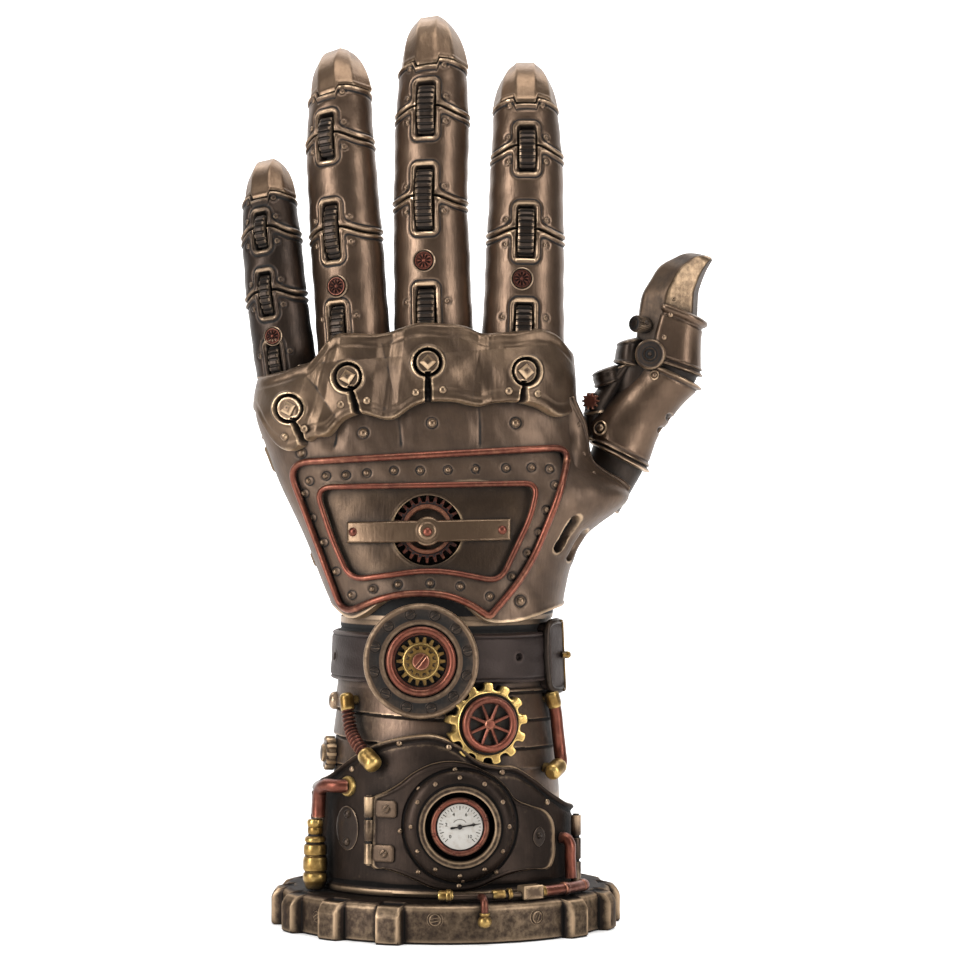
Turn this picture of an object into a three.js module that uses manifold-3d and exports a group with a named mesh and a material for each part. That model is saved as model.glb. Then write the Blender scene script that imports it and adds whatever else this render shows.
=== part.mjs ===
// An armoured clockwork gauntlet that stands upright on a toothed foot.
// Millimetres, +Z up. The origin is the middle of the foot's underside, the back of the hand faces -Y,
// the thumb points to +X, and the fingers point up. Every mesh is one separate piece.
import * as THREE from "three";
import { mergeVertices } from "three/addons/utils/BufferGeometryUtils.js";
import Module from "manifold-3d";

const wasm = await Module();
wasm.setup();

// Clearance between pieces that seat on each other
const seatGap = 0.3;

// Toothed foot
const footRadius = 42.5;
const footHeight = 10;
const footBevel = 1.4;
const footToothReach = 2.8;
const footToothWidth = 6.4;
const footToothPlaces = 16;
const footToothTurnDeg = 4;
const footToothRoot = 6;
const footSides = 32;
const footBarePlaces = 2;

// Cuff: a tapered drum inside a riveted apron
const drumFootRadius = 30.5;
const drumTopRadius = 27.3;
const drumDepthRatio = 0.93;
const drumTop = 79.3;
const apronWall = 2.8;
const apronHeight = 40.6;

// Porthole door on the apron
const doorWall = 1.5;
const portholeRadius = 10.4;
const portholeBore = 8.7;
const portholeAcross = 3.8;
const portholeHeight = 28.3;
const portholeProud = 3.2;
const portholeFlare = 3.2;
const hingeHeight = 17.6;
const hingeBarrelRadius = 1.3;
const hingeDrop = 1.6;
const bezelRadius = 7.5;
const bezelDepth = 2.2;
const dialRadius = 5.7;
const dialThickness = 0.8;
const needleLength = 4.9;
const needleThickness = 0.3;
const needleTurn = 9;

// Wrist strap, buckle and instrument disc
const strapBottom = 63.4;
const strapWidth = 12.6;
const strapThickness = 1.6;
const buckleHeight = 17.4;
const buckleWidth = 8;
const buckleThickness = 1.8;
const buckleBar = 1.5;
const buckleTurn = 68;
const discAcross = -6;
const discRadius = 14.5;
const discThickness = 2.4;
const discDrop = 0.3;
const discRecess = 0.9;
const discBevel = 0.7;
const discRingRadius = 8.8;
const discRingBar = 1.0;
const discGearRadius = 6.1;
const discGearThickness = 1.3;
const discGearTeeth = 16;

// Side gear and its spoked wheel
const sideGearAcross = 10.5;
const sideGearHeight = 53.5;
const sideGearRadius = 10.3;
const sideGearThickness = 1.6;
const sideGearTeeth = 14;
const sideGearTurnDeg = 17;
const spokeWheelRadius = 7.2;
const spokeWheelBar = 1.1;
const spokeCount = 8;

// Pipes
const hoseRadius = 1.8;
const sidePipeRadius = 1.6;
const elbowPipeRadius = 1.7;
const elbowRise = 8.4;
const valveRadius = 3.1;
const valveHeight = 18.2;
const riserRadius = 1.5;
const riserHeight = 12.6;
const footPipeRadius = 1.3;
const footPipeInset = 3.1;
const tapRadius = 1.7;
const tapLength = 2.7;

// Hand: a core inside a back plate and a palm plate
const handBase = 79.6;
const handHeight = 67.6;
const handWidth = 83;
const handDepth = 46;
const handPower = 2.5;
const plateWall = 2;
const deckTilt = 0.08;
const thumbSlotLength = 10;
const thumbSlotWidth = 1.8;
const thumbSlotLean = 32;

// Copper borders, panel, gear and bar on the back plate
const trimRadius = 0.95;
const panelDrop = 1.1;
const panelGearRadius = 8.7;
const panelGearTeeth = 18;
const panelWindow = 9.2;
const panelPocket = 2;
const barHeight = 4.9;
const barThickness = 1.2;

// Knuckle guard
const guardWall = 1.7;
const guardBulge = 3.4;
const keyholeRadius = 3.4;
const keyslotWidth = 1.7;
const studSize = 2.5;
const studPoint = 1.1;
const studSink = 2;

// Fingers and thumb
const fingerLength = 86.1;
const fingerWidth = 20.4;
const fingerDepthRatio = 0.92;
const wheelRadius = 6;
const wheelWidth = 3.5;
const wheelTeeth = 8;
const wheelProud = 0.35;
const wheelPlay = 0.5;
const thumbHalfWidth = 8.5;
const thumbDepthRatio = 0.95;
const thumbFlare = 1.07;
const thumbLowerLength = 28;
const thumbUpperLength = 16.6;
const thumbTipLength = 16.5;
const socketHalfWidth = 7.2;

// How finely round forms are cut
const handSides = 24;
const drumSides = 32;
const fingerSides = 10;
const roundSides = 16;
const pipeSides = 6;

const bronze = { color: 0x6b5444, roughness: 0.42, metalness: 0.85 };
const lightBronze = { color: 0x8c7358, roughness: 0.36, metalness: 0.85 };
const darkBronze = { color: 0x463a33, roughness: 0.5, metalness: 0.8 };
const copper = { color: 0x9c4a3a, roughness: 0.38, metalness: 0.85 };
const brass = { color: 0xb0873a, roughness: 0.36, metalness: 0.9 };
const leather = { color: 0x2f2826, roughness: 0.6, metalness: 0.1 };
const enamel = { color: 0xe4e2da, roughness: 0.4, metalness: 0 };
const blackSteel = { color: 0x1d1a18, roughness: 0.5, metalness: 0.6 };

const radians = (degrees) => (degrees * Math.PI) / 180;
const lerp = (a, b, t) => a + (b - a) * t;
const vec = (x, y, z) => new THREE.Vector3(x, y, z);
const signedPower = (v, p) => Math.sign(v) * Math.abs(v) ** p;

const gauntlet = new THREE.Group();

// Adds a piece to the model as its own named mesh.
function addPiece(name, solid, look) {
  const made = solid.getMesh();
  const geometry = new THREE.BufferGeometry();
  const position = new Float32Array(made.numVert * 3);
  for (let i = 0; i < made.numVert; i++) {
    for (let k = 0; k < 3; k++) {
      position[3 * i + k] = made.vertProperties[made.numProp * i + k];
    }
  }
  geometry.setAttribute("position", new THREE.BufferAttribute(position, 3));
  geometry.setIndex(new THREE.BufferAttribute(new Uint32Array(made.triVerts), 1));
  geometry.computeVertexNormals();
  const mesh = new THREE.Mesh(geometry, new THREE.MeshStandardMaterial(look));
  mesh.name = name;
  gauntlet.add(mesh);
}

// A solid from a closed three.js geometry; faces that point inwards are turned round.
function solidOf(geometry) {
  const bare = geometry.index ? geometry.toNonIndexed() : geometry.clone();
  for (const key of Object.keys(bare.attributes)) {
    if (key !== "position") bare.deleteAttribute(key);
  }
  const merged = mergeVertices(bare, 1e-4);
  const index = merged.index.array;
  const kept = [];
  for (let i = 0; i < index.length; i += 3) {
    const [a, b, c] = [index[i], index[i + 1], index[i + 2]];
    if (a !== b && b !== c && c !== a) kept.push(a, b, c);
  }
  const build = (triangles) =>
    new wasm.Manifold(
      new wasm.Mesh({
        numProp: 3,
        vertProperties: merged.attributes.position.array,
        triVerts: Uint32Array.from(triangles),
      }),
    );
  const solid = build(kept);
  return solid.volume() > 0 ? solid : build(kept.reverse());
}

// Triangles from a list of corner points, three at a time.
function geometryOf(corners) {
  return new THREE.BufferGeometry().setFromPoints(corners);
}

function quad(corners, a, b, c, d) {
  corners.push(a, b, c, a, c, d);
}

// A solid through closed rings of points, capped flat at both ends.
function loft(rings) {
  const corners = [];
  const count = rings[0].length;
  for (let r = 0; r + 1 < rings.length; r++) {
    for (let i = 0; i < count; i++) {
      const j = (i + 1) % count;
      quad(corners, rings[r][i], rings[r][j], rings[r + 1][j], rings[r + 1][i]);
    }
  }
  for (const [ring, flip] of [[rings[0], true], [rings.at(-1), false]]) {
    const middle = ring.reduce((sum, p) => sum.add(p), vec(0, 0, 0)).divideScalar(count);
    for (let i = 0; i < count; i++) {
      const j = (i + 1) % count;
      if (flip) corners.push(middle, ring[j], ring[i]);
      else corners.push(middle, ring[i], ring[j]);
    }
  }
  return solidOf(geometryOf(corners));
}

// A solid between an outer and an inner open sheet, each a grid of points.
function thickSheet(outer, inner) {
  const corners = [];
  const columns = outer.length;
  const rows = outer[0].length;
  for (let i = 0; i + 1 < columns; i++) {
    for (let j = 0; j + 1 < rows; j++) {
      quad(corners, outer[i][j], outer[i + 1][j], outer[i + 1][j + 1], outer[i][j + 1]);
      quad(corners, inner[i][j], inner[i][j + 1], inner[i + 1][j + 1], inner[i + 1][j]);
    }
    quad(corners, outer[i][0], inner[i][0], inner[i + 1][0], outer[i + 1][0]);
    quad(corners, outer[i][rows - 1], outer[i + 1][rows - 1], inner[i + 1][rows - 1], inner[i][rows - 1]);
  }
  for (let j = 0; j + 1 < rows; j++) {
    quad(corners, outer[0][j], outer[0][j + 1], inner[0][j + 1], inner[0][j]);
    const last = columns - 1;
    quad(corners, outer[last][j], inner[last][j], inner[last][j + 1], outer[last][j + 1]);
  }
  return solidOf(geometryOf(corners));
}

// An outline in the front view, pushed through the piece from depth yFrom back to depth yTo.
function prism(shape, yFrom, yTo, segments = 6) {
  const geometry = new THREE.ExtrudeGeometry(shape, {
    depth: yTo - yFrom,
    bevelEnabled: false,
    curveSegments: segments,
  });
  geometry.rotateX(Math.PI / 2);
  geometry.translate(0, yTo, 0);
  return solidOf(geometry);
}

function shapeOf(points) {
  return new THREE.Shape(points.map(([x, z]) => new THREE.Vector2(x, z)));
}

// A closed front-view outline with rounded corners, as evenly spaced points.
function roundedOutline(corners, count) {
  const path = new THREE.Path();
  const at = (i) => corners[(i + corners.length) % corners.length];
  corners.forEach((corner, i) => {
    const here = new THREE.Vector2(corner.x, corner.z);
    const before = new THREE.Vector2(at(i - 1).x, at(i - 1).z).sub(here);
    const after = new THREE.Vector2(at(i + 1).x, at(i + 1).z).sub(here);
    const start = here.clone().add(before.setLength(corner.round));
    const end = here.clone().add(after.setLength(corner.round));
    if (i === 0) path.moveTo(start.x, start.y);
    else path.lineTo(start.x, start.y);
    path.quadraticCurveTo(here.x, here.y, end.x, end.y);
  });
  path.closePath();
  return path.getSpacedPoints(count).slice(0, count).map((p) => [p.x, p.y]);
}

// Turns a solid made along +Z so that it points along a direction, then moves it to a place.
function aimed(solid, place, direction) {
  const turn = new THREE.Quaternion().setFromUnitVectors(vec(0, 0, 1), direction.clone().normalize());
  const matrix = new THREE.Matrix4().compose(place, turn, vec(1, 1, 1));
  return solid.transform(matrix.elements);
}

// The largest body of a solid that a cut has divided.
function mainBody(solid) {
  return solid.decompose().reduce((a, b) => (b.volume() > a.volume() ? b : a));
}

const towardsViewer = vec(0, -1, 0);

// A disc, ring or turned form about +Z from a closed profile of [radius, height] points.
function turned(profile, sides = roundSides) {
  const points = [...profile, profile[0]].map(([r, h]) => new THREE.Vector2(r, h));
  return solidOf(new THREE.LatheGeometry(points, sides).rotateX(Math.PI / 2));
}

function disc(radius, height, sides = roundSides) {
  return turned([[0, 0], [radius, 0], [radius, height], [0, height]], sides);
}

// A toothed wheel about +Z; share is the tooth's width at its tip as a part of the pitch.
function toothed(radius, root, teeth, thickness, bore = 0, share = 0.3) {
  const shape = new THREE.Shape();
  for (let i = 0; i < teeth; i++) {
    const middle = (2 * Math.PI * i) / teeth;
    const half = (Math.PI / teeth) * share;
    const foot = (Math.PI / teeth) * 0.62;
    [[root, -foot], [radius, -half], [radius, half], [root, foot]].forEach(([r, a], k) => {
      const [x, y] = [r * Math.cos(middle + a), r * Math.sin(middle + a)];
      if (i === 0 && k === 0) shape.moveTo(x, y);
      else shape.lineTo(x, y);
    });
  }
  shape.closePath();
  if (bore > 0) shape.holes.push(new THREE.Path().absarc(0, 0, bore, 0, 2 * Math.PI, true));
  return solidOf(
    new THREE.ExtrudeGeometry(shape, { depth: thickness, bevelEnabled: false, curveSegments: 12 }),
  );
}

// A round bar along a smooth open path.
function pipe(points, radius, steps, sides = pipeSides) {
  const section = new THREE.Shape();
  for (let i = 0; i < sides; i++) {
    const a = (2 * Math.PI * i) / sides;
    if (i === 0) section.moveTo(radius * Math.cos(a), radius * Math.sin(a));
    else section.lineTo(radius * Math.cos(a), radius * Math.sin(a));
  }
  section.closePath();
  const path = new THREE.CatmullRomCurve3(points, false, "catmullrom", 0.5);
  return solidOf(
    new THREE.ExtrudeGeometry(section, { steps, bevelEnabled: false, extrudePath: path }),
  );
}

// The drum's radius across at a height, and a point on it; turn is the angle from the front towards +X.
const drumFoot = footHeight + seatGap;

function drumRadius(z) {
  return lerp(drumFootRadius, drumTopRadius, (z - drumFoot) / (drumTop - drumFoot));
}

function drumPoint(turn, z, out) {
  const radius = drumRadius(z);
  return vec(
    (radius + out) * Math.sin(turn),
    -(radius * drumDepthRatio + out) * Math.cos(turn),
    z,
  );
}

function drumLoft(out, bottom, top) {
  const ring = (z) =>
    Array.from({ length: drumSides }, (_, i) => drumPoint((2 * Math.PI * i) / drumSides, z, out));
  return loft([ring(bottom), ring(top)]);
}

// How far the drum's front face reaches at x across and z up, as a negative y.
function drumFront(x, z, out) {
  const radius = drumRadius(z);
  const share = Math.min(0.999, Math.abs(x) / (radius + out));
  return -(radius * drumDepthRatio + out) * Math.sqrt(1 - share * share);
}

// Sections of the hand from the wrist up: height as a share of handHeight, sides as shares of
// handWidth, front and back as shares of handDepth, and the section's share of deckTilt.
const handRows = [
  { up: 0.0, left: -0.34, right: 0.362, front: -0.6, back: 0.5, tilt: 0 },
  { up: 0.15, left: -0.392, right: 0.381, front: -0.575, back: 0.48, tilt: 0 },
  { up: 0.3, left: -0.44, right: 0.434, front: -0.545, back: 0.46, tilt: 0 },
  { up: 0.48, left: -0.51, right: 0.57, front: -0.51, back: 0.43, tilt: 0 },
  { up: 0.59, left: -0.545, right: 0.446, front: -0.49, back: 0.38, tilt: 0 },
  { up: 0.78, left: -0.593, right: 0.41, front: -0.445, back: 0.33, tilt: 0.3 },
  { up: 0.91, left: -0.59, right: 0.4, front: -0.39, back: 0.31, tilt: 0.7 },
  { up: 1.0, left: -0.575, right: 0.393, front: -0.35, back: 0.3, tilt: 1 },
];

function handSection(up) {
  const last = handRows.length - 1;
  let i = handRows.findIndex((row) => row.up >= up);
  if (i < 0) i = last;
  if (i === 0) i = 1;
  const [a, b] = [handRows[i - 1], handRows[i]];
  const t = (up - a.up) / (b.up - a.up);
  const at = (key) => lerp(a[key], b[key], t);
  return {
    middle: ((at("left") + at("right")) / 2) * handWidth,
    half: ((at("right") - at("left")) / 2) * handWidth,
    front: -at("front") * handDepth,
    back: at("back") * handDepth,
    tilt: at("tilt") * deckTilt,
  };
}

// A point of the hand at an angle from the front towards +X, out being the distance off the plates' face.
function handPoint(turn, up, out) {
  const s = handSection(up);
  const across = signedPower(Math.sin(turn), 2 / handPower);
  const deep = signedPower(Math.cos(turn), 2 / handPower);
  const x = s.middle + (s.half + out) * across;
  const y = -((deep > 0 ? s.front : s.back) + out) * deep;
  return vec(x, y, handBase + up * handHeight + s.tilt * x);
}

function handLoft(out, sink = 0, lift = 0) {
  const rings = handRows.map((row) =>
    Array.from({ length: handSides }, (_, i) => handPoint((2 * Math.PI * i) / handSides, row.up, out)),
  );
  rings[0].forEach((p) => (p.z -= sink));
  rings.at(-1).forEach((p) => (p.z += lift));
  return loft(rings);
}

// The front face of the faceted hand at x across and z up, as a negative y.
function handFront(x, z, out) {
  const up = (z - handBase) / handHeight;
  for (let i = -handSides / 4; i < handSides / 4; i++) {
    const a = handPoint((2 * Math.PI * i) / handSides, up, out);
    const b = handPoint((2 * Math.PI * (i + 1)) / handSides, up, out);
    if (x >= a.x && x <= b.x) return lerp(a.y, b.y, (x - a.x) / (b.x - a.x));
  }
  return 0;
}

// A place in the front view of the hand from shares of its width and height.
const handX = (share) => share * handWidth;
const handZ = (share) => handBase + share * handHeight;
const reach = 3 * handWidth;

// A layer of the hand between two distances off its face.
function handLayer(low, high) {
  return handLoft(high).subtract(handLoft(low, seatGap, seatGap));
}

// Foot: a round plate with square teeth, two places at the front left bare for the pipes.
function makeFoot() {
  const rim = footRadius + footToothReach;
  const shoulder = footHeight - 0.4 * footBevel;
  const toothOutline = shapeOf([
    [footRadius - footToothRoot, 0],
    [rim, 0],
    [rim, shoulder - 1.2 * footBevel],
    [rim - footBevel, shoulder],
    [footRadius - footToothRoot, shoulder],
  ]);
  const tooth = solidOf(
    new THREE.ExtrudeGeometry(toothOutline, { depth: footToothWidth, bevelEnabled: false })
      .translate(0, 0, -footToothWidth / 2)
      .rotateX(Math.PI / 2),
  );
  let foot = turned(footProfile(0), footSides);
  for (let i = footBarePlaces; i < footToothPlaces; i++) {
    const angle = (i * 360) / footToothPlaces - 90 + footToothTurnDeg;
    foot = foot.add(tooth.rotate([0, 0, angle]));
  }
  return foot;
}

// The foot's turned profile, grown by a clearance where a neighbour is cut to it.
function footProfile(extra) {
  return [
    [0, 0],
    [footRadius + extra, 0],
    [footRadius + extra, footHeight - footBevel],
    [footRadius - footBevel + extra, footHeight + extra],
    [0, footHeight + extra],
  ];
}

// Drum: the plain tapered core of the cuff.
const drum = drumLoft(0, drumFoot, drumTop);

// Apron's wavy upper edge: turn in degrees from the front, height as a share of apronHeight.
const apronEdge = [
  { turn: -90, up: 0.66 },
  { turn: -62, up: 0.74 },
  { turn: -44, up: 0.87 },
  { turn: -30, up: 0.95 },
  { turn: -16, up: 0.995 },
  { turn: -4, up: 1 },
  { turn: 6, up: 0.94 },
  { turn: 14, up: 0.85 },
  { turn: 24, up: 0.81 },
  { turn: 32, up: 0.8 },
  { turn: 42, up: 0.73 },
  { turn: 54, up: 0.63 },
  { turn: 68, up: 0.55 },
  { turn: 90, up: 0.5 },
];
const apronBackUp = 0.62;

function apronTop(turnDeg) {
  const wrapped = ((turnDeg + 540) % 360) - 180;
  if (wrapped < -90) return lerp(apronBackUp, apronEdge[0].up, (wrapped + 180) / 90);
  if (wrapped > 90) return lerp(apronEdge.at(-1).up, apronBackUp, (wrapped - 90) / 90);
  let i = apronEdge.findIndex((p) => p.turn >= wrapped);
  if (i <= 0) i = 1;
  const [a, b] = [apronEdge[i - 1], apronEdge[i]];
  return lerp(a.up, b.up, (wrapped - a.turn) / (b.turn - a.turn));
}

// A ring around the drum from inner to outer distance, whose top follows the apron's edge.
function apronRing(inner, outer, lift) {
  const corners = [];
  const column = (i) => {
    const turn = (2 * Math.PI * i) / drumSides;
    const top = drumFoot + apronHeight * apronTop((turn * 180) / Math.PI) + lift;
    return [
      drumPoint(turn, drumFoot - lift, inner),
      drumPoint(turn, drumFoot - lift, outer),
      drumPoint(turn, top, outer),
      drumPoint(turn, top, inner),
    ];
  };
  for (let i = 0; i < drumSides; i++) {
    const [a, b] = [column(i), column((i + 1) % drumSides)];
    for (let k = 0; k < 4; k++) {
      const m = (k + 1) % 4;
      quad(corners, a[k], b[k], b[m], a[m]);
    }
  }
  return solidOf(geometryOf(corners));
}

const apronFace = seatGap + apronWall;
const apron = apronRing(seatGap, apronFace, 0);
const apronClear = apronRing(0, apronFace + seatGap, seatGap);

// Porthole door: a pointed leaf on the apron with a flared round collar. Its outline is in shares of
// the porthole's radius from the porthole's middle.
const doorOutline = [
  { across: -2.05, up: 0.66 },
  { across: -1.6, up: 1.05 },
  { across: -1.0, up: 1.42 },
  { across: -0.4, up: 1.6 },
  { across: 0.3, up: 1.58 },
  { across: 1.0, up: 1.2 },
  { across: 1.55, up: 0.72 },
  { across: 2.2, up: 0.5 },
  { across: 2.35, up: -0.8 },
  { across: 1.6, up: -1.0 },
  { across: 0.85, up: -1.35 },
  { across: 0.1, up: -1.52 },
  { across: -0.6, up: -1.42 },
  { across: -1.3, up: -1.1 },
  { across: -2.05, up: -0.98 },
];
const doorFace = apronFace + seatGap + doorWall;
const portholeFront = drumFront(portholeAcross, portholeHeight, doorFace) - portholeProud;

function makeDoor() {
  const outline = doorOutline.map((p) => [
    portholeAcross + p.across * portholeRadius,
    portholeHeight + p.up * portholeRadius,
  ]);
  const band = drumLoft(doorFace, drumFoot, drumTop).subtract(
    drumLoft(apronFace + seatGap, drumFoot - 1, drumTop + 1),
  );
  const leaf = band.intersect(prism(shapeOf(outline), -reach, 0));
  const depth = portholeProud + doorWall + portholeRadius;
  const collar = turned([
    [0, 0],
    [portholeRadius + portholeFlare, 0],
    [portholeRadius + portholeFlare, depth - 1.3 * portholeProud],
    [portholeRadius, depth - 0.35 * portholeProud],
    [portholeRadius, depth],
    [0, depth],
  ]);
  const seated = gaugePart(collar, portholeFront + depth).subtract(
    drumLoft(apronFace + seatGap, drumFoot - 1, drumTop + 1),
  );
  return leaf.add(seated).subtract(gaugePart(disc(portholeBore, 2 * reach), reach));
}

// The gauge sits in the porthole, its can on a flat pocket in the apron's face.
const gaugeSunk = 0.8;
const dialSunk = 0.5;
const gaugeFloor = drumFront(portholeAcross + portholeBore, portholeHeight, apronFace);
const gaugeSeat = gaugeFloor - seatGap;
const gaugeDepth = gaugeSeat - portholeFront - gaugeSunk;

function gaugePart(solid, back) {
  return aimed(solid, vec(portholeAcross, back, portholeHeight), towardsViewer);
}

const gaugePocket = gaugePart(disc(portholeBore - seatGap, reach / 2), gaugeFloor);
const bezel = gaugePart(
  turned([
    [0, 0],
    [bezelRadius, 0],
    [bezelRadius, gaugeDepth - 0.3 * bezelDepth],
    [bezelRadius - 0.25 * bezelDepth, gaugeDepth],
    [dialRadius + 2 * seatGap, gaugeDepth],
    [dialRadius + seatGap, gaugeDepth - dialSunk - dialThickness],
    [0, gaugeDepth - dialSunk - dialThickness],
  ]),
  gaugeSeat,
);
const dialBack = gaugeSeat - (gaugeDepth - dialSunk - dialThickness) - seatGap;
const dial = gaugePart(disc(dialRadius, dialThickness - seatGap), dialBack);

function makeNeedle() {
  const wide = 0.05 * needleLength;
  const shape = shapeOf([
    [-0.45 * needleLength, -wide],
    [0.9 * needleLength, -0.5 * wide],
    [needleLength, 0],
    [0.9 * needleLength, 0.5 * wide],
    [-0.45 * needleLength, wide],
  ]);
  const blade = solidOf(
    new THREE.ExtrudeGeometry(shape, { depth: needleThickness, bevelEnabled: false }),
  );
  const hub = disc(0.12 * needleLength, 1.6 * needleThickness, 8);
  const place = [portholeAcross, dialBack - dialThickness, portholeHeight];
  return blade.add(hub).rotate([90, -needleTurn, 0]).translate(place);
}

// Barrel hinge at the door's left edge and a barrel on the apron's right side.
const barrelGroove = 0.72;

// A hinge barrel about +Z: three knuckles with a groove between each two.
function barrel(height, radius) {
  const joints = [0.31, 0.35, 0.65, 0.69];
  const grooves = joints.map((share, i) => {
    const edge = [radius, share * height];
    const dip = [radius * barrelGroove, share * height];
    return i % 2 === 0 ? [edge, dip] : [dip, edge];
  });
  return turned([[0, 0], [radius, 0], ...grooves.flat(), [radius, height], [0, height]], 8);
}

function hingeAt(x, z, height, radius) {
  const y = drumFront(x, z, apronFace) - radius - seatGap;
  const away = vec(x, y, 0).setLength(seatGap);
  return barrel(height, radius).translate([x + away.x, y + away.y, z - height / 2]);
}

const doorHinge = hingeAt(
  portholeAcross + doorOutline[0].across * portholeRadius - hingeBarrelRadius - seatGap,
  portholeHeight - hingeDrop,
  hingeHeight,
  hingeBarrelRadius,
);

// Leather strap around the wrist, with a bare frame buckle on its right.
const strapTop = strapBottom + strapWidth;
const strapFace = seatGap + strapThickness;
const strap = drumLoft(strapFace, strapBottom, strapTop).subtract(
  drumLoft(seatGap, strapBottom - 1, strapTop + 1),
);

// Instrument disc in front of the strap, with a copper ring and a brass gear.
const discHeight = strapBottom + strapWidth / 2 - discDrop;
const discBack = drumFront(0, strapBottom, strapFace) - seatGap;
const discPart = (solid, back) => aimed(solid, vec(discAcross, back, discHeight), towardsViewer);
const instrumentDisc = discPart(
  turned([
    [0, 0],
    [discRadius, 0],
    [discRadius, discThickness - discBevel],
    [discRadius - discBevel, discThickness],
    [discRingRadius + seatGap, discThickness],
    [discRingRadius + seatGap, discThickness - discRecess],
    [0, discThickness - discRecess],
  ], 24),
  discBack,
);
const discFloor = discBack - (discThickness - discRecess) - seatGap;
const discRing = discPart(
  turned([
    [discRingRadius - 2 * discRingBar, 0],
    [discRingRadius, 0],
    [discRingRadius, discRingBar],
    [discRingRadius - 0.5 * discRingBar, 1.7 * discRingBar],
    [discRingRadius - 1.5 * discRingBar, 1.7 * discRingBar],
    [discRingRadius - 2 * discRingBar, discRingBar],
  ]),
  discFloor,
);
const discGearClear = Math.min(discGearRadius, discRingRadius - 2 * discRingBar - seatGap);
const discGear = discPart(
  toothed(discGearClear, discGearClear * 0.8, discGearTeeth, discGearThickness * 0.6)
    .add(disc(discGearClear * 0.58, discGearThickness, 10))
    .add(disc(discGearClear * 0.34, discGearThickness * 1.4, 8)),
  discFloor,
);

// Side gear, cut back where the disc and the apron pass in front of it, and its spoked wheel.
const sideGearWay = vec(Math.sin(radians(sideGearTurnDeg)), -Math.cos(radians(sideGearTurnDeg)), 0);
const sideGearFoot = vec(
  sideGearAcross,
  drumFront(sideGearAcross - sideGearRadius, sideGearHeight, 0),
  sideGearHeight,
);
const discClear = discPart(disc(discRadius + seatGap, reach / 4, 24), discBack + seatGap);
const strapClear = drumLoft(strapFace + seatGap, strapBottom - seatGap, strapTop + seatGap);
const drumClear = drumLoft(seatGap, drumFoot - 1, drumTop + 1);
const sideGear = mainBody(
  aimed(
    toothed(sideGearRadius, sideGearRadius * 0.84, sideGearTeeth, sideGearThickness)
      .add(disc(sideGearRadius * 0.5, drumTopRadius / 4, 12).translate([0, 0, -drumTopRadius / 4])),
    sideGearFoot,
    sideGearWay,
  )
    .subtract(discClear)
    .subtract(apronClear)
    .subtract(strapClear)
    .subtract(drumClear),
);

function makeSpokeWheel() {
  const rim = turned([
    [spokeWheelRadius - 2 * spokeWheelBar, 0],
    [spokeWheelRadius, 0],
    [spokeWheelRadius, spokeWheelBar],
    [spokeWheelRadius - spokeWheelBar, 1.8 * spokeWheelBar],
    [spokeWheelRadius - 2 * spokeWheelBar, spokeWheelBar],
  ], 16);
  let wheel = rim.add(disc(0.2 * spokeWheelRadius, 1.3 * spokeWheelBar, 8));
  for (let i = 0; i < spokeCount / 2; i++) {
    const length = 2 * (spokeWheelRadius - spokeWheelBar);
    const bar = solidOf(new THREE.BoxGeometry(length, 0.55 * spokeWheelBar, 0.7 * spokeWheelBar));
    const raised = bar.translate([0, 0, 0.35 * spokeWheelBar]);
    wheel = wheel.add(raised.rotate([0, 0, (360 * i) / spokeCount]));
  }
  const seat = sideGearFoot.clone().addScaledVector(sideGearWay, sideGearThickness + seatGap);
  return aimed(wheel, seat, sideGearWay).subtract(discClear).subtract(apronClear).subtract(drumClear);
}

// Pipes. Each path is worked out from the face that it stands off.
function offDrum(turnDeg, z, out) {
  return drumPoint(radians(turnDeg), z, out);
}

// A square frame buckle with its tongue across the middle, standing off the strap.
function makeBuckle() {
  const [w, h] = [buckleWidth / 2, buckleHeight / 2];
  const [iw, ih] = [w - buckleBar, h - buckleBar];
  const corner = 0.65 * buckleBar;
  const shape = shapeOf([
    [-w, -h + corner],
    [-w + corner, -h],
    [w - corner, -h],
    [w, -h + corner],
    [w, h - corner],
    [w - corner, h],
    [-w + corner, h],
    [-w, h - corner],
  ]);
  shape.holes.push(
    new THREE.Path([[-iw, -ih], [-iw, ih], [iw, ih], [iw, -ih]].map(([x, y]) => new THREE.Vector2(x, y))),
  );
  const frame = solidOf(
    new THREE.ExtrudeGeometry(shape, { depth: buckleThickness, bevelEnabled: false }),
  );
  const tongue = solidOf(new THREE.BoxGeometry(buckleWidth, 0.8 * buckleBar, 0.6 * buckleThickness));
  const knob = disc(0.7 * buckleBar, 0.7 * buckleThickness, 8);
  const middle = (strapTop + strapBottom) / 2;
  const seat = offDrum(buckleTurn, middle, strapFace + 3 * seatGap);
  return frame
    .add(tongue.translate([0, 0, 0.7 * buckleThickness]))
    .add(knob.translate([0, 0, 0.7 * buckleThickness]))
    .rotate([90, 0, buckleTurn])
    .translate([seat.x, seat.y, seat.z]);
}

// A cap at the end of a pipe: a short barrel from its seat on the wall out over the pipe's end.
function capAt(place, pipeEnd, radius) {
  const way = pipeEnd.clone().sub(place);
  return aimed(disc(radius, way.length() + 0.8 * radius, 8), place, way);
}

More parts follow.
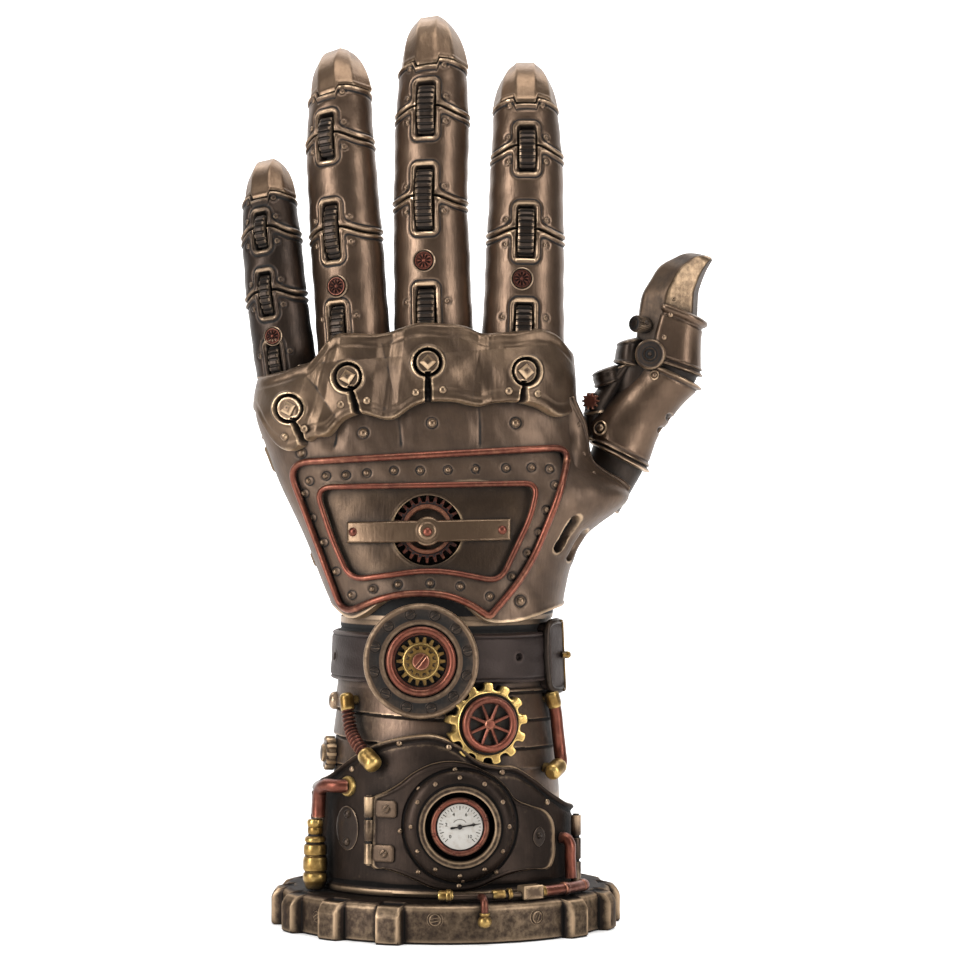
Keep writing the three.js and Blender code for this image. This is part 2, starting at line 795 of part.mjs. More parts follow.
const hoseTopZ = drumFoot + 1.2 * apronHeight;
const hoseFootZ = drumFoot + 0.83 * apronHeight;
const hoseFaceOut = apronFace + hoseRadius + 2 * seatGap;
const hoseTop = offDrum(-53, hoseTopZ, hoseRadius + 4 * seatGap);
const hoseFoot = offDrum(-32, hoseFootZ, hoseFaceOut);
const coilHose = pipe(
  [
    hoseTop,
    offDrum(-50, lerp(hoseTopZ, hoseFootZ, 0.34), hoseRadius + 4 * seatGap),
    offDrum(-40, lerp(hoseTopZ, hoseFootZ, 0.72), hoseFaceOut - 2 * seatGap),
    hoseFoot,
  ],
  hoseRadius,
  12,
)
  .add(capAt(offDrum(-54, hoseTopZ + 1, seatGap), hoseTop, hoseRadius * 1.3))
  .add(capAt(offDrum(-31, hoseFootZ - 1, apronFace + seatGap), hoseFoot, hoseRadius * 1.35))
  .subtract(drumClear)
  .subtract(apronClear)
  .subtract(strapClear);

const sidePipeTopZ = strapBottom - 5;
const sidePipeFootZ = drumFoot + 0.73 * apronHeight;
const sidePipeOut = sidePipeRadius + 2 * seatGap;
const sidePipeTop = offDrum(66, sidePipeTopZ, sidePipeOut);
const sidePipeFoot = offDrum(66, sidePipeFootZ + 2 * sidePipeRadius, sidePipeOut + 2 * seatGap);
const sidePipe = pipe(
  [
    sidePipeTop,
    offDrum(67, lerp(sidePipeTopZ, sidePipeFootZ, 0.45), sidePipeOut + seatGap),
    sidePipeFoot,
  ],
  sidePipeRadius,
  4,
)
  .add(capAt(offDrum(65, sidePipeTopZ + 1, seatGap), sidePipeTop, sidePipeRadius * 1.3))
  .add(capAt(offDrum(56, sidePipeFootZ, seatGap), sidePipeFoot, sidePipeRadius * 1.35))
  .subtract(drumClear)
  .subtract(apronClear);

// Elbow pipe out of the apron's left and the ribbed brass valve that it drops into.
const valveTurn = -67;
const valveOut = apronFace + valveRadius + seatGap;
const valvePlace = offDrum(valveTurn, drumFoot, valveOut);
const valveTopZ = footHeight + seatGap + valveHeight;
const elbowZ = valveTopZ + elbowRise;
const elbowMouth = offDrum(-50, elbowZ, apronFace + seatGap);
const elbowPipe = pipe(
  [
    elbowMouth,
    offDrum(-53, elbowZ, apronFace + 1.7 * elbowPipeRadius),
    offDrum(-62, elbowZ, valveOut),
    vec(valvePlace.x, valvePlace.y, elbowZ - 1.5 * elbowPipeRadius),
    vec(valvePlace.x, valvePlace.y, valveTopZ + seatGap),
  ],
  elbowPipeRadius,
  12,
)
  .add(capAt(elbowMouth, offDrum(-50.5, elbowZ, apronFace + 3 * seatGap), elbowPipeRadius * 1.3))
  .subtract(apronClear);

// Ribs of the valve: height and radius as shares of valveHeight and valveRadius.
const valveProfile = [
  { up: 0, wide: 0 },
  { up: 0, wide: 0.86 },
  { up: 0.12, wide: 0.98 },
  { up: 0.25, wide: 1 },
  { up: 0.28, wide: 0.86 },
  { up: 0.32, wide: 1 },
  { up: 0.5, wide: 0.96 },
  { up: 0.53, wide: 0.84 },
  { up: 0.57, wide: 0.96 },
  { up: 0.74, wide: 0.9 },
  { up: 0.77, wide: 0.6 },
  { up: 1, wide: 0.56 },
  { up: 1, wide: 0 },
];
const valve = turned(valveProfile.map((p) => [p.wide * valveRadius, p.up * valveHeight]), 14)
  .translate([valvePlace.x, valvePlace.y, footHeight + seatGap]);

// Copper riser out of the apron's lower right, down to the foot, and the run of pipe round the foot.
const riserTurn = 62;
const riserZ = drumFoot + riserHeight;
const riserOut = apronFace + riserRadius + 4 * seatGap;
const riserPlace = offDrum(riserTurn, drumFoot, riserOut);
const footPipeZ = footHeight + footPipeRadius + seatGap;
const riserPipe = pipe(
  [
    offDrum(riserTurn, riserZ, apronFace + seatGap),
    offDrum(riserTurn, riserZ, riserOut - 2 * seatGap),
    vec(riserPlace.x, riserPlace.y, riserZ - 1.6 * riserRadius),
    vec(riserPlace.x, riserPlace.y, footPipeZ + footPipeRadius + seatGap),
  ],
  riserRadius,
  8,
).subtract(apronClear);

// Round the foot, a fitting or sleeve at each turn: degrees from the front, length and girth in shares
// of the pipe's radius.
const footFittings = [
  { turn: 2, length: 3, girth: 1.25 },
  { turn: 19, length: 3.4, girth: 1.2 },
  { turn: 27, length: 4.6, girth: 1.45 },
  { turn: 42, length: 1.6, girth: 1.35 },
];
const footPipeRun = footRadius - footPipeInset;
const footPipePoint = (turnDeg) =>
  vec(footPipeRun * Math.sin(radians(turnDeg)), -footPipeRun * Math.cos(radians(turnDeg)), footPipeZ);
const footPipeSpan = [0, 9, 18, 27, 36, 45, 54, 63];
const footPipe = footFittings.reduce(
  (sum, f) =>
    sum.add(
      aimed(
        disc(footPipeRadius * f.girth, footPipeRadius * f.length, pipeSides),
        footPipePoint(f.turn),
        footPipePoint(f.turn + 3).sub(footPipePoint(f.turn - 3)),
      ),
    ),
  pipe(footPipeSpan.map(footPipePoint), footPipeRadius, 16),
)
  .subtract(disc(2 * footRadius, footHeight + seatGap))
  .subtract(apronClear);

const tapTurn = 13;
const tapOut = footRadius + tapRadius + seatGap;
const tapPoint = (out, z) =>
  vec(out * Math.sin(radians(tapTurn)), -out * Math.cos(radians(tapTurn)), z);
const tap = pipe(
  [
    tapPoint(footPipeRun + footPipeRadius + 2 * seatGap, footPipeZ + seatGap),
    tapPoint(footRadius + 2 * seatGap, footPipeZ),
    tapPoint(tapOut, footHeight - tapRadius),
    tapPoint(tapOut, footHeight - 2 * tapRadius),
  ],
  tapRadius * 0.6,
  6,
)
  .add(disc(tapRadius, tapLength, 8).translate(tapPoint(tapOut, footHeight - 2 * tapLength).toArray()))
  .subtract(turned(footProfile(seatGap), footSides));

// Upright barrel on the apron's right side, as on a second hinge.
const sideBarrelTurn = 72;
const sideBarrelHeight = 17.8;
const sideBarrelRadius = 1.3;
const sideBarrelPlace = offDrum(sideBarrelTurn, drumFoot, apronFace + seatGap + sideBarrelRadius);
const sideBarrel = barrel(sideBarrelHeight, sideBarrelRadius).translate([
  sideBarrelPlace.x,
  sideBarrelPlace.y,
  drumFoot + 1,
]);

// Copper borders: corners in shares of the hand's width and height, rounding in shares of its width.
const outerBorder = [
  { across: -0.527, up: 0.595, round: 0.075 },
  { across: 0.382, up: 0.65, round: 0.05 },
  { across: 0.362, up: 0.5, round: 0.08 },
  { across: 0.255, up: 0.18, round: 0.1 },
  { across: 0.135, up: 0.02, round: 0.012 },
  { across: 0.03, up: 0.115, round: 0.09 },
  { across: -0.165, up: 0.115, round: 0.09 },
  { across: -0.325, up: 0.025, round: 0.06 },
];
const innerBorder = [
  { across: -0.44, up: 0.49, round: 0.07 },
  { across: 0.29, up: 0.528, round: 0.055 },
  { across: 0.272, up: 0.41, round: 0.05 },
  { across: 0.205, up: 0.19, round: 0.045 },
  { across: -0.02, up: 0.225, round: 0.05 },
  { across: -0.272, up: 0.19, round: 0.05 },
  { across: -0.33, up: 0.3, round: 0.03 },
];

function borderOutline(corners, count) {
  return roundedOutline(
    corners.map((c) => ({ x: handX(c.across), z: handZ(c.up), round: c.round * handWidth })),
    count,
  );
}

// A copper bead that follows a border on the plate's face.
function borderBead(corners, count) {
  const out = trimRadius + 1.4 * seatGap;
  const points = borderOutline(corners, count).map(([x, z]) => vec(x, handFront(x, z, out), z));
  const curve = new THREE.CatmullRomCurve3(points, true, "catmullrom", 0.5);
  return solidOf(new THREE.TubeGeometry(curve, count, trimRadius, 4, true));
}

// Shrinks an outline towards its middle by a distance.
function shrunk(outline, distance) {
  const points = outline.map(([x, z]) => new THREE.Vector2(x, z));
  const side = Math.sign(THREE.ShapeUtils.area(points));
  return points.map((p, i) => {
    const before = points.at(i - 1);
    const after = points[(i + 1) % points.length];
    const along = after.clone().sub(before).setLength(distance);
    return [p.x - side * along.y, p.y + side * along.x];
  });
}

// Back plate: the front half of the hand's outer layer, with a window for the panel, thumb slots and
// a lower edge that arches over the instrument disc.
const plateFoot = [
  { across: -0.62, up: 0.06 },
  { across: -0.345, up: 0.035 },
  { across: -0.31, up: 0.015 },
  { across: -0.165, up: 0.095 },
  { across: 0.03, up: 0.095 },
  { across: 0.135, up: 0.0 },
  { across: 0.2, up: -0.01 },
  { across: 0.36, up: 0.035 },
  { across: 0.62, up: 0.06 },
];
const plateHead = 0.925;
const palmHead = 0.94;
const sideSeam = 1.2;

const gearAcross = handX(-0.054);
const gearZ = handZ(0.333);
const panelFace = -panelDrop;
const gearFloor = handFront(gearAcross, gearZ, -plateWall - seatGap) + panelPocket;
const gearPocket = aimed(
  disc(panelWindow, reach),
  vec(gearAcross, gearFloor, gearZ),
  towardsViewer,
);
const windowOutline = borderOutline(innerBorder, 26);

function makeHandCore() {
  const bare = handLoft(-plateWall - seatGap).subtract(gearPocket);
  return studs(0).reduce((sum, stud) => sum.add(stud), bare);
}

function makeBackPlate() {
  const outline = [
    ...plateFoot.map((p) => [handX(p.across), handZ(p.up)]),
    [handX(0.62), handZ(plateHead)],
    [handX(-0.62), handZ(plateHead)],
  ];
  const slots = [
    { across: 0.385, up: 0.3 },
    { across: 0.452, up: 0.262 },
  ].map(({ across, up }) =>
    prism(
      shapeOf([
        [-thumbSlotWidth / 2, -thumbSlotLength / 2],
        [thumbSlotWidth / 2, -thumbSlotLength / 2],
        [thumbSlotWidth / 2, thumbSlotLength / 2],
        [-thumbSlotWidth / 2, thumbSlotLength / 2],
      ]),
      -reach,
      reach,
    ).rotate([0, thumbSlotLean, 0]).translate([handX(across), 0, handZ(up)]),
  );
  const whole = handLayer(-plateWall, 0)
    .intersect(prism(shapeOf(outline), -reach, -sideSeam / 2))
    .subtract(prism(shapeOf(windowOutline), -reach, 0));
  return [...slots, ...studs(1.5 * seatGap)].reduce((sum, cut) => sum.subtract(cut), whole);
}

function makePalmPlate() {
  const outline = [
    [handX(-0.7), handZ(0.06)],
    [handX(-0.1), handZ(0.03)],
    [handX(0.1), handZ(0.03)],
    [handX(0.7), handZ(0.06)],
    [handX(0.7), handZ(palmHead)],
    [handX(-0.7), handZ(palmHead)],
  ];
  return handLayer(-plateWall, 0).intersect(prism(shapeOf(outline), sideSeam / 2, reach));
}

// The bar's ends as shares of the hand's width.
const barLeft = -0.3;
const barRight = 0.205;

function makePanel() {
  return handLoft(panelFace)
    .subtract(handLoft(-plateWall, seatGap, seatGap))
    .intersect(prism(shapeOf(shrunk(windowOutline, seatGap)), -reach, 0))
    .subtract(gearPocket);
}

const [panelGearRoot, panelGearBore] = [0.84 * panelGearRadius, 0.62 * panelGearRadius];
const panelGear = aimed(
  toothed(panelGearRadius, panelGearRoot, panelGearTeeth, barThickness, panelGearBore, 0.42),
  vec(gearAcross, gearFloor - seatGap, gearZ),
  towardsViewer,
);

function makeBar() {
  const half = barHeight / 2;
  const [left, right] = [barLeft * handWidth, barRight * handWidth];
  const corner = 0.2 * half;
  const outline = shapeOf([
    [left, -half + corner],
    [left + corner, -half],
    [right - corner, -half],
    [right, -half + corner],
    [right, half - corner],
    [right - corner, half],
    [left + corner, half],
    [left, half - corner],
  ]);
  const strip = prism(outline, -reach, 0).translate([0, 0, gearZ]);
  const boss = aimed(disc(0.66 * barHeight, reach), vec(gearAcross, 0, gearZ), towardsViewer);
  return handLoft(panelFace + seatGap + barThickness)
    .subtract(handLoft(panelFace + seatGap, seatGap, seatGap))
    .intersect(strip.add(boss));
}

// Knuckles, little finger to index: places in shares of the hand's width and height, and the lean of
// the slot under each keyhole in degrees.
const knuckles = [
  { across: -0.481, up: 0.79, slotLean: 14 },
  { across: -0.299, up: 0.908, slotLean: 6 },
  { across: -0.053, up: 0.963, slotLean: 0 },
  { across: 0.248, up: 0.929, slotLean: -3 },
];

// Guard's lower and upper edges in the front view, in shares of the hand's width and height.
const guardLow = [
  { across: -0.62, up: 0.82 },
  { across: -0.575, up: 0.745 },
  { across: -0.534, up: 0.664 },
  { across: -0.49, up: 0.63 },
  { across: -0.412, up: 0.68 },
  { across: -0.364, up: 0.69 },
  { across: -0.331, up: 0.734 },
  { across: -0.282, up: 0.765 },
  { across: -0.152, up: 0.753 },
  { across: -0.102, up: 0.794 },
  { across: 0.028, up: 0.814 },
  { across: 0.11, up: 0.797 },
  { across: 0.158, up: 0.809 },
  { across: 0.298, up: 0.794 },
  { across: 0.354, up: 0.759 },
  { across: 0.42, up: 0.79 },
];
const guardHigh = [
  { across: 0.42, up: 0.97 },
  { across: 0.36, up: 1.06 },
  { across: 0.19, up: 1.078 },
  { across: 0.11, up: 1.078 },
  { across: 0.069, up: 1.1 },
  { across: -0.005, up: 1.11 },
  { across: -0.095, up: 1.11 },
  { across: -0.135, up: 1.095 },
  { across: -0.192, up: 1.074 },
  { across: -0.3, up: 1.074 },
  { across: -0.347, up: 1.069 },
  { across: -0.388, up: 1.024 },
  { across: -0.408, up: 0.985 },
  { across: -0.461, up: 0.954 },
  { across: -0.575, up: 0.915 },
  { across: -0.62, up: 0.905 },
];

// How far the guard stands off the hand at a place: a broad swell over each knuckle.
function guardSwell(x, z) {
  return knuckles.reduce((sum, k) => {
    const dx = (x - handX(k.across)) / (0.115 * handWidth);
    const dz = (z - handZ(k.up)) / (0.12 * handHeight);
    return Math.max(sum, guardBulge * Math.exp(-(dx * dx + dz * dz) * 0.7));
  }, 0);
}

// A sheet over the knuckles between two distances off the hand, from flank to flank.
function guardSheet(inner, outer) {
  const [columns, rows] = [18, 5];
  const [flank, foot, head] = [98, 0.6, 1.13];
  const point = (i, j, extra) => {
    const turn = radians(lerp(-flank, flank, i / columns));
    const up = lerp(foot, head, j / rows);
    const bare = handPoint(turn, Math.min(up, 1), 0);
    const z = bare.z + Math.max(0, up - 1) * handHeight;
    const swell = guardSwell(bare.x, z) * Math.sqrt(Math.max(0, Math.cos(turn)));
    return handPoint(turn, Math.min(up, 1), seatGap + extra + swell).setZ(z);
  };
  const grid = (extra) =>
    Array.from({ length: columns + 1 }, (_, i) =>
      Array.from({ length: rows + 1 }, (_, j) => point(i, j, extra)),
    );
  return thickSheet(grid(outer), grid(inner));
}

const guardOutline = [...guardLow, ...guardHigh].map((p) => [handX(p.across), handZ(p.up)]);

function makeGuard() {
  const hole = aimed(disc(keyholeRadius, reach, 10), vec(0, 0, 0), towardsViewer);
  const slot = prism(
    shapeOf([
      [-keyslotWidth / 2, -handHeight / 4],
      [keyslotWidth / 2, -handHeight / 4],
      [keyslotWidth / 2, 0],
      [-keyslotWidth / 2, 0],
    ]),
    -reach,
    0,
  );
  return knuckles.reduce(
    (sum, k) =>
      sum.subtract(hole.add(slot.rotate([0, k.slotLean, 0])).translate([handX(k.across), 0, handZ(k.up)])),
    guardSheet(0, guardWall).intersect(prism(shapeOf(guardOutline), -reach, reach)),
  );
}

// Square pointed studs that stand on the core and show in the guard's keyholes.
function studs(extra) {
  return knuckles.map((k) => {
    const [x, z] = [handX(k.across), handZ(k.up)];
    const base = handFront(x, z, -plateWall - seatGap) + studSink;
    const height = studSink + plateWall + 2 * seatGap + guardSwell(x, z) + guardWall * 0.8;
    const stud = turned([
      [0, 0],
      [studSize + extra, 0],
      [studSize + extra, height - studPoint],
      [0, height],
    ], 4);
    return aimed(stud, vec(x, base, z), towardsViewer);
  });
}

// Fingers, little finger to index. Places are shares of the hand's width, height and depth, lengths are
// shares of fingerLength, half widths and the root's sink are shares of fingerWidth; lean is the angle
// in the front view, flex the bend towards the palm and roll the turn of the finger's back, in degrees.
const fingers = [
  {
    name: "little", across: -0.496, up: 0.933, back: -0.065, roll: 20, sink: 0.03,
    lengths: [0.229, 0.186, 0.116, 0.132], half: [0.392, 0.392, 0.382, 0.338],
    lean: [-8.1, -5.3, -4.2, -3.4], flex: [2, 9, 16, 20],
  },
  {
    name: "ring", across: -0.286, up: 1.036, back: -0.098, roll: 25, sink: 0.3,
    lengths: [0.332, 0.282, 0.151, 0.153], half: [0.471, 0.466, 0.441, 0.402],
    lean: [-4.2, -4.1, -0.6, -6.9], flex: [2, 9, 15, 19],
  },
  {
    name: "middle", across: -0.037, up: 1.055, back: -0.109, roll: 11, sink: 0.3,
    lengths: [0.41, 0.265, 0.153, 0.172], half: [0.5, 0.471, 0.471, 0.426],
    lean: [-1.5, 1.2, 0.4, -3.4], flex: [2, 8, 14, 18],
  },
  {
    name: "index", across: 0.24, up: 1.036, back: -0.098, roll: 0, sink: 0.3,
    lengths: [0.325, 0.246, 0.157, 0.145], half: [0.52, 0.49, 0.456, 0.402],
    lean: [1.4, 1.2, -1.5, -0.3], flex: [2, 8, 14, 18],
  },
];
const segmentNames = ["proximal", "middle", "distal", "tip"];

function directionOf(leanDeg, flexDeg) {
  const [a, b] = [radians(leanDeg), radians(flexDeg)];
  return vec(Math.sin(a) * Math.cos(b), Math.sin(b), Math.cos(a) * Math.cos(b));
}

// The frame at a joint: its middle, the way along, the way across and the way out of the back.
function jointFrame(place, along, rollDeg) {
  const back = vec(-Math.sin(radians(rollDeg)), -Math.cos(radians(rollDeg)), 0);
  const across = back.clone().cross(along).normalize();
  return { place, along, across, back: along.clone().cross(across).normalize() };
}

function ovalRing(frame, half, depth, sides, shift = 0) {
  return Array.from({ length: sides }, (_, i) => {
    const a = (2 * Math.PI * i) / sides;
    return offJoint(frame, half * Math.sin(a), depth * Math.cos(a), shift);
  });
}

function fingerFrames(finger) {
  const ways = finger.lean.map((lean, i) => directionOf(lean, finger.flex[i]));
  const frames = [];
  let place = vec(handX(finger.across), finger.back * handDepth, handZ(finger.up));
  ways.forEach((way, i) => {
    const before = ways[Math.max(0, i - 1)];
    frames.push(jointFrame(place.clone(), before.clone().add(way).normalize(), finger.roll));
    place = place.clone().addScaledVector(way, finger.lengths[i] * fingerLength);
  });
  frames.push(jointFrame(place, ways.at(-1), finger.roll));
  return { frames, ways };
}

// A point off a joint's middle by distances across, out of the back and along.
function offJoint(frame, across, back, along) {
  return frame.place
    .clone()
    .addScaledVector(frame.across, across)
    .addScaledVector(frame.back, back)
    .addScaledVector(frame.along, along);
}

// The toothed wheel between two segments, and the pocket that it sits in.
function wheelAt(frame, depth) {
  const axle = depth + wheelProud - wheelRadius;
  const wheel = aimed(
    toothed(wheelRadius, wheelRadius * 0.92, wheelTeeth, wheelWidth, 0, 0.4),
    offJoint(frame, -wheelWidth / 2, axle, 0),
    frame.across,
  );
  const wide = wheelWidth / 2 + wheelPlay;
  const long = wheelRadius + wheelPlay;
  const corners = [[-wide, -long], [wide, -long], [wide, 3 * long], [-wide, 3 * long]];
  const box = loft(
    [-long, long].map((along) => corners.map(([a, b]) => offJoint(frame, a, axle + b, along))),
  );
  return { wheel, box };
}

const plateClear = handLoft(seatGap, 1, seatGap);
const guardClear = guardSheet(-seatGap, guardWall + seatGap).intersect(
  prism(shapeOf(shrunk(guardOutline, -2 * seatGap)), -reach, reach),
);

// Tips are faceted: shares of the tip's length, half width and depth, and how far the section moves
// towards the palm as a share of the depth. A fingertip is a blunt dome, the thumb's hooks over.
const fingertipRows = [
  { along: 0, wide: 1, deep: 1, palm: 0 },
  { along: 0.45, wide: 0.93, deep: 0.88, palm: 0.04 },
  { along: 0.8, wide: 0.72, deep: 0.6, palm: 0.1 },
  { along: 1, wide: 0.42, deep: 0.3, palm: 0.16 },
];
const thumbTipRows = [
  { along: 0, wide: 0.95, deep: 0.95, palm: 0 },
  { along: 0.45, wide: 0.85, deep: 0.8, palm: 0.12 },
  { along: 0.8, wide: 0.62, deep: 0.52, palm: 0.48 },
  { along: 1, wide: 0.4, deep: 0.27, palm: 0.9 },
];
const tipSides = 10;

function tipLoft(frame, rows, length, half, depth) {
  return loft(
    rows.map((row, r) =>
      Array.from({ length: tipSides }, (_, i) => {
        const a = (2 * Math.PI * (i + 0.5)) / tipSides;
        const back = depth * (row.deep * Math.cos(a) - row.palm);
        const along = r === 0 ? seatGap / 2 : row.along * length;
        return offJoint(frame, half * row.wide * Math.sin(a), back, along);
      }),
    ),
  );
}

function addFinger(finger) {
  const { frames, ways } = fingerFrames(finger);
  const half = finger.half.map((share) => share * fingerWidth);
  const depth = half.map((h) => h * fingerDepthRatio);
  const wheels = [1, 2].map((i) => wheelAt(frames[i], depth[i]));
  for (let i = 0; i < 3; i++) {
    const start = i === 0 ? -finger.sink * fingerWidth : seatGap / 2;
    let segment = loft([
      ovalRing(frames[i], half[i], depth[i], fingerSides, start),
      ovalRing(frames[i + 1], half[i + 1], depth[i + 1], fingerSides, -seatGap / 2),
    ]);
    if (i === 0) segment = segment.subtract(plateClear).subtract(guardClear);
    for (const { box } of wheels) segment = segment.subtract(box);
    addPiece(`${finger.name}_${segmentNames[i]}`, mainBody(segment), bronze);
  }
  const tipFrame = { ...frames[3], along: ways[3] };
  const tip = tipLoft(tipFrame, fingertipRows, finger.lengths[3] * fingerLength, half[3], depth[3]);
  addPiece(`${finger.name}_tip`, tip, lightBronze);
  addPiece(`${finger.name}_wheel_lower`, wheels[0].wheel, darkBronze);
  addPiece(`${finger.name}_wheel_upper`, wheels[1].wheel, darkBronze);
}

// Thumb: a socket on the hand's shoulder, a flared lower segment, a short upper one and a hooked tip.
const thumbPlace = { across: 0.512, back: 0.087, up: 0.578 };
const thumbRoll = 75;
const thumbLowerLean = 34.6;
const thumbUpperLean = 2;

function addThumb() {
  const lowerWay = directionOf(thumbLowerLean, 0);
  const upperWay = directionOf(thumbUpperLean, 0);
  const root = vec(handX(thumbPlace.across), thumbPlace.back * handDepth, handZ(thumbPlace.up));
  const elbow = root.clone().addScaledVector(lowerWay, thumbLowerLength);
  const neck = elbow.clone().addScaledVector(upperWay, thumbUpperLength);
  const [half, depth] = [thumbHalfWidth, thumbHalfWidth * thumbDepthRatio];
  const rootFrame = jointFrame(root, lowerWay, thumbRoll);
  const elbowFrame = jointFrame(elbow, lowerWay.clone().add(upperWay).normalize(), thumbRoll);
  const neckFrame = jointFrame(neck, upperWay, thumbRoll);
  const socket = loft([
    ovalRing(rootFrame, socketHalfWidth, socketHalfWidth, fingerSides, -2 * socketHalfWidth),
    ovalRing(rootFrame, socketHalfWidth, socketHalfWidth, fingerSides, -seatGap / 2),
  ]);
  addPiece("thumb_socket", mainBody(socket.subtract(plateClear)), darkBronze);
  const lower = loft([
    ovalRing(rootFrame, half, depth, fingerSides, seatGap / 2),
    ovalRing(elbowFrame, thumbFlare * half, thumbFlare * depth, fingerSides, -seatGap / 2),
  ]);
  addPiece("thumb_lower", mainBody(lower.subtract(plateClear)), bronze);
  const upper = loft([
    ovalRing(elbowFrame, half, depth, fingerSides, seatGap / 2),
    ovalRing(neckFrame, half, depth, fingerSides, -seatGap / 2),
  ]);
  addPiece("thumb_upper", upper, bronze);
  addPiece("thumb_tip", tipLoft(neckFrame, thumbTipRows, thumbTipLength, half, depth), lightBronze);
}

addPiece("foot_gear", makeFoot(), bronze);
addPiece("cuff_drum", drum, darkBronze);
addPiece("cuff_apron", apron.subtract(gaugePocket), bronze);
addPiece("porthole_door", makeDoor(), bronze);
addPiece("gauge_bezel", bezel, copper);
addPiece("gauge_dial", dial, enamel);
addPiece("gauge_needle", makeNeedle(), blackSteel);
addPiece("door_hinge", doorHinge, lightBronze);
addPiece("wrist_strap", strap, leather);
addPiece("strap_buckle", makeBuckle(), darkBronze);
addPiece("instrument_disc", instrumentDisc, lightBronze);
addPiece("instrument_ring", discRing, copper);
addPiece("instrument_gear", discGear, brass);
addPiece("side_gear", sideGear, brass);
addPiece("spoked_wheel", makeSpokeWheel(), copper);
addPiece("coil_hose", coilHose, copper);
addPiece("side_pipe", sidePipe, copper);
addPiece("elbow_pipe", elbowPipe, copper);
addPiece("ribbed_valve", valve, brass);
addPiece("riser_pipe", riserPipe, copper);
addPiece("foot_pipe", footPipe, copper);
addPiece("foot_tap", tap, brass);
addPiece("side_barrel", sideBarrel, bronze);
addPiece("hand_core", makeHandCore(), darkBronze);
addPiece("back_plate", makeBackPlate(), bronze);
addPiece("palm_plate", makePalmPlate(), bronze);
addPiece("border_outer", borderBead(outerBorder, 38), copper);
addPiece("border_inner", borderBead(innerBorder, 28), copper);
addPiece("gear_panel", makePanel(), lightBronze);
addPiece("panel_gear", panelGear, copper);
addPiece("panel_bar", makeBar(), lightBronze);
addPiece("knuckle_guard", makeGuard(), lightBronze);
for (const finger of fingers) addFinger(finger);
addThumb();

export default gauntlet;
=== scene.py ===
import math

import bpy
import numpy as np
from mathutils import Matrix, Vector


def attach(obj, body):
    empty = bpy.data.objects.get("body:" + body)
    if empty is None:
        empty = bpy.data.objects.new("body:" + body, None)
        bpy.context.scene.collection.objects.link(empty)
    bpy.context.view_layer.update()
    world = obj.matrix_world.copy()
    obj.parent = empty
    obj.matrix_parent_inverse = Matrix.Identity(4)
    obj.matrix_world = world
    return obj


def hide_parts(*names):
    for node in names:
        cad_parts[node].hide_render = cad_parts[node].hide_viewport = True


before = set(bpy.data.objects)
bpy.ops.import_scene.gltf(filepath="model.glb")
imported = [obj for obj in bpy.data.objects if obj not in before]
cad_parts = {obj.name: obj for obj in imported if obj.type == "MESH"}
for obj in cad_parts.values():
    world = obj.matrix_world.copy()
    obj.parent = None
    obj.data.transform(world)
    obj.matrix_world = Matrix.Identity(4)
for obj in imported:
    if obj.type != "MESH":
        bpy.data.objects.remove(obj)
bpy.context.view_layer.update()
toMetres = 0.001

# Camera, light and floor

camera = {
    "place": (8.06, -853.0, 119.9),
    "lens": 123.8,
    "sensor": 36.0,
    "shiftUp": -0.0178,
    "frameWidth": 954,
    "axisPixel": (477.0, 460.0),
}

studio = {
    "floorColour": (0.9, 0.89, 0.88),
    "leftBox": {"place": (-820, -620, 330), "size": (260, 900), "power": 12.0},
    "rightBox": {"place": (780, -640, 300), "size": (220, 900), "power": 7.0},
    "topBox": {"place": (60, -260, 900), "size": (600, 400), "power": 4.0},
    "backWash": {"place": (0, 420, 900), "size": (1600, 400), "power": 9.0},
    "skyStrength": 0.12, "floorGlow": 0.18, "wallGlow": 1.05,
}


def makeCamera():
    data = bpy.data.cameras.new("photoCamera")
    data.sensor_width = camera["sensor"]
    data.lens = camera["lens"]
    data.shift_y = camera["shiftUp"]
    data.clip_start = 0.05
    data.clip_end = 20
    eye = bpy.data.objects.new("photoCamera", data)
    eye.location = [v * toMetres for v in camera["place"]]
    eye.rotation_euler = (math.radians(90), 0, 0)
    bpy.context.scene.collection.objects.link(eye)
    bpy.context.scene.camera = eye


def makeSoftBox(name, box):
    data = bpy.data.lights.new(name, "AREA")
    data.shape = "RECTANGLE"
    data.size, data.size_y = [s * toMetres for s in box["size"]]
    data.energy = box["power"]
    lamp = bpy.data.objects.new(name, data)
    lamp.location = [v * toMetres for v in box["place"]]
    towards = np.array((0, 0, 110.0)) - np.array(box["place"], float)
    lamp.rotation_euler = Vector(towards).to_track_quat("-Z", "Y").to_euler()
    bpy.context.scene.collection.objects.link(lamp)


makeCamera()
for boxName in ("leftBox", "rightBox", "topBox", "backWash"):
    makeSoftBox(boxName, studio[boxName])
print("camera and lights placed")

# Shader building


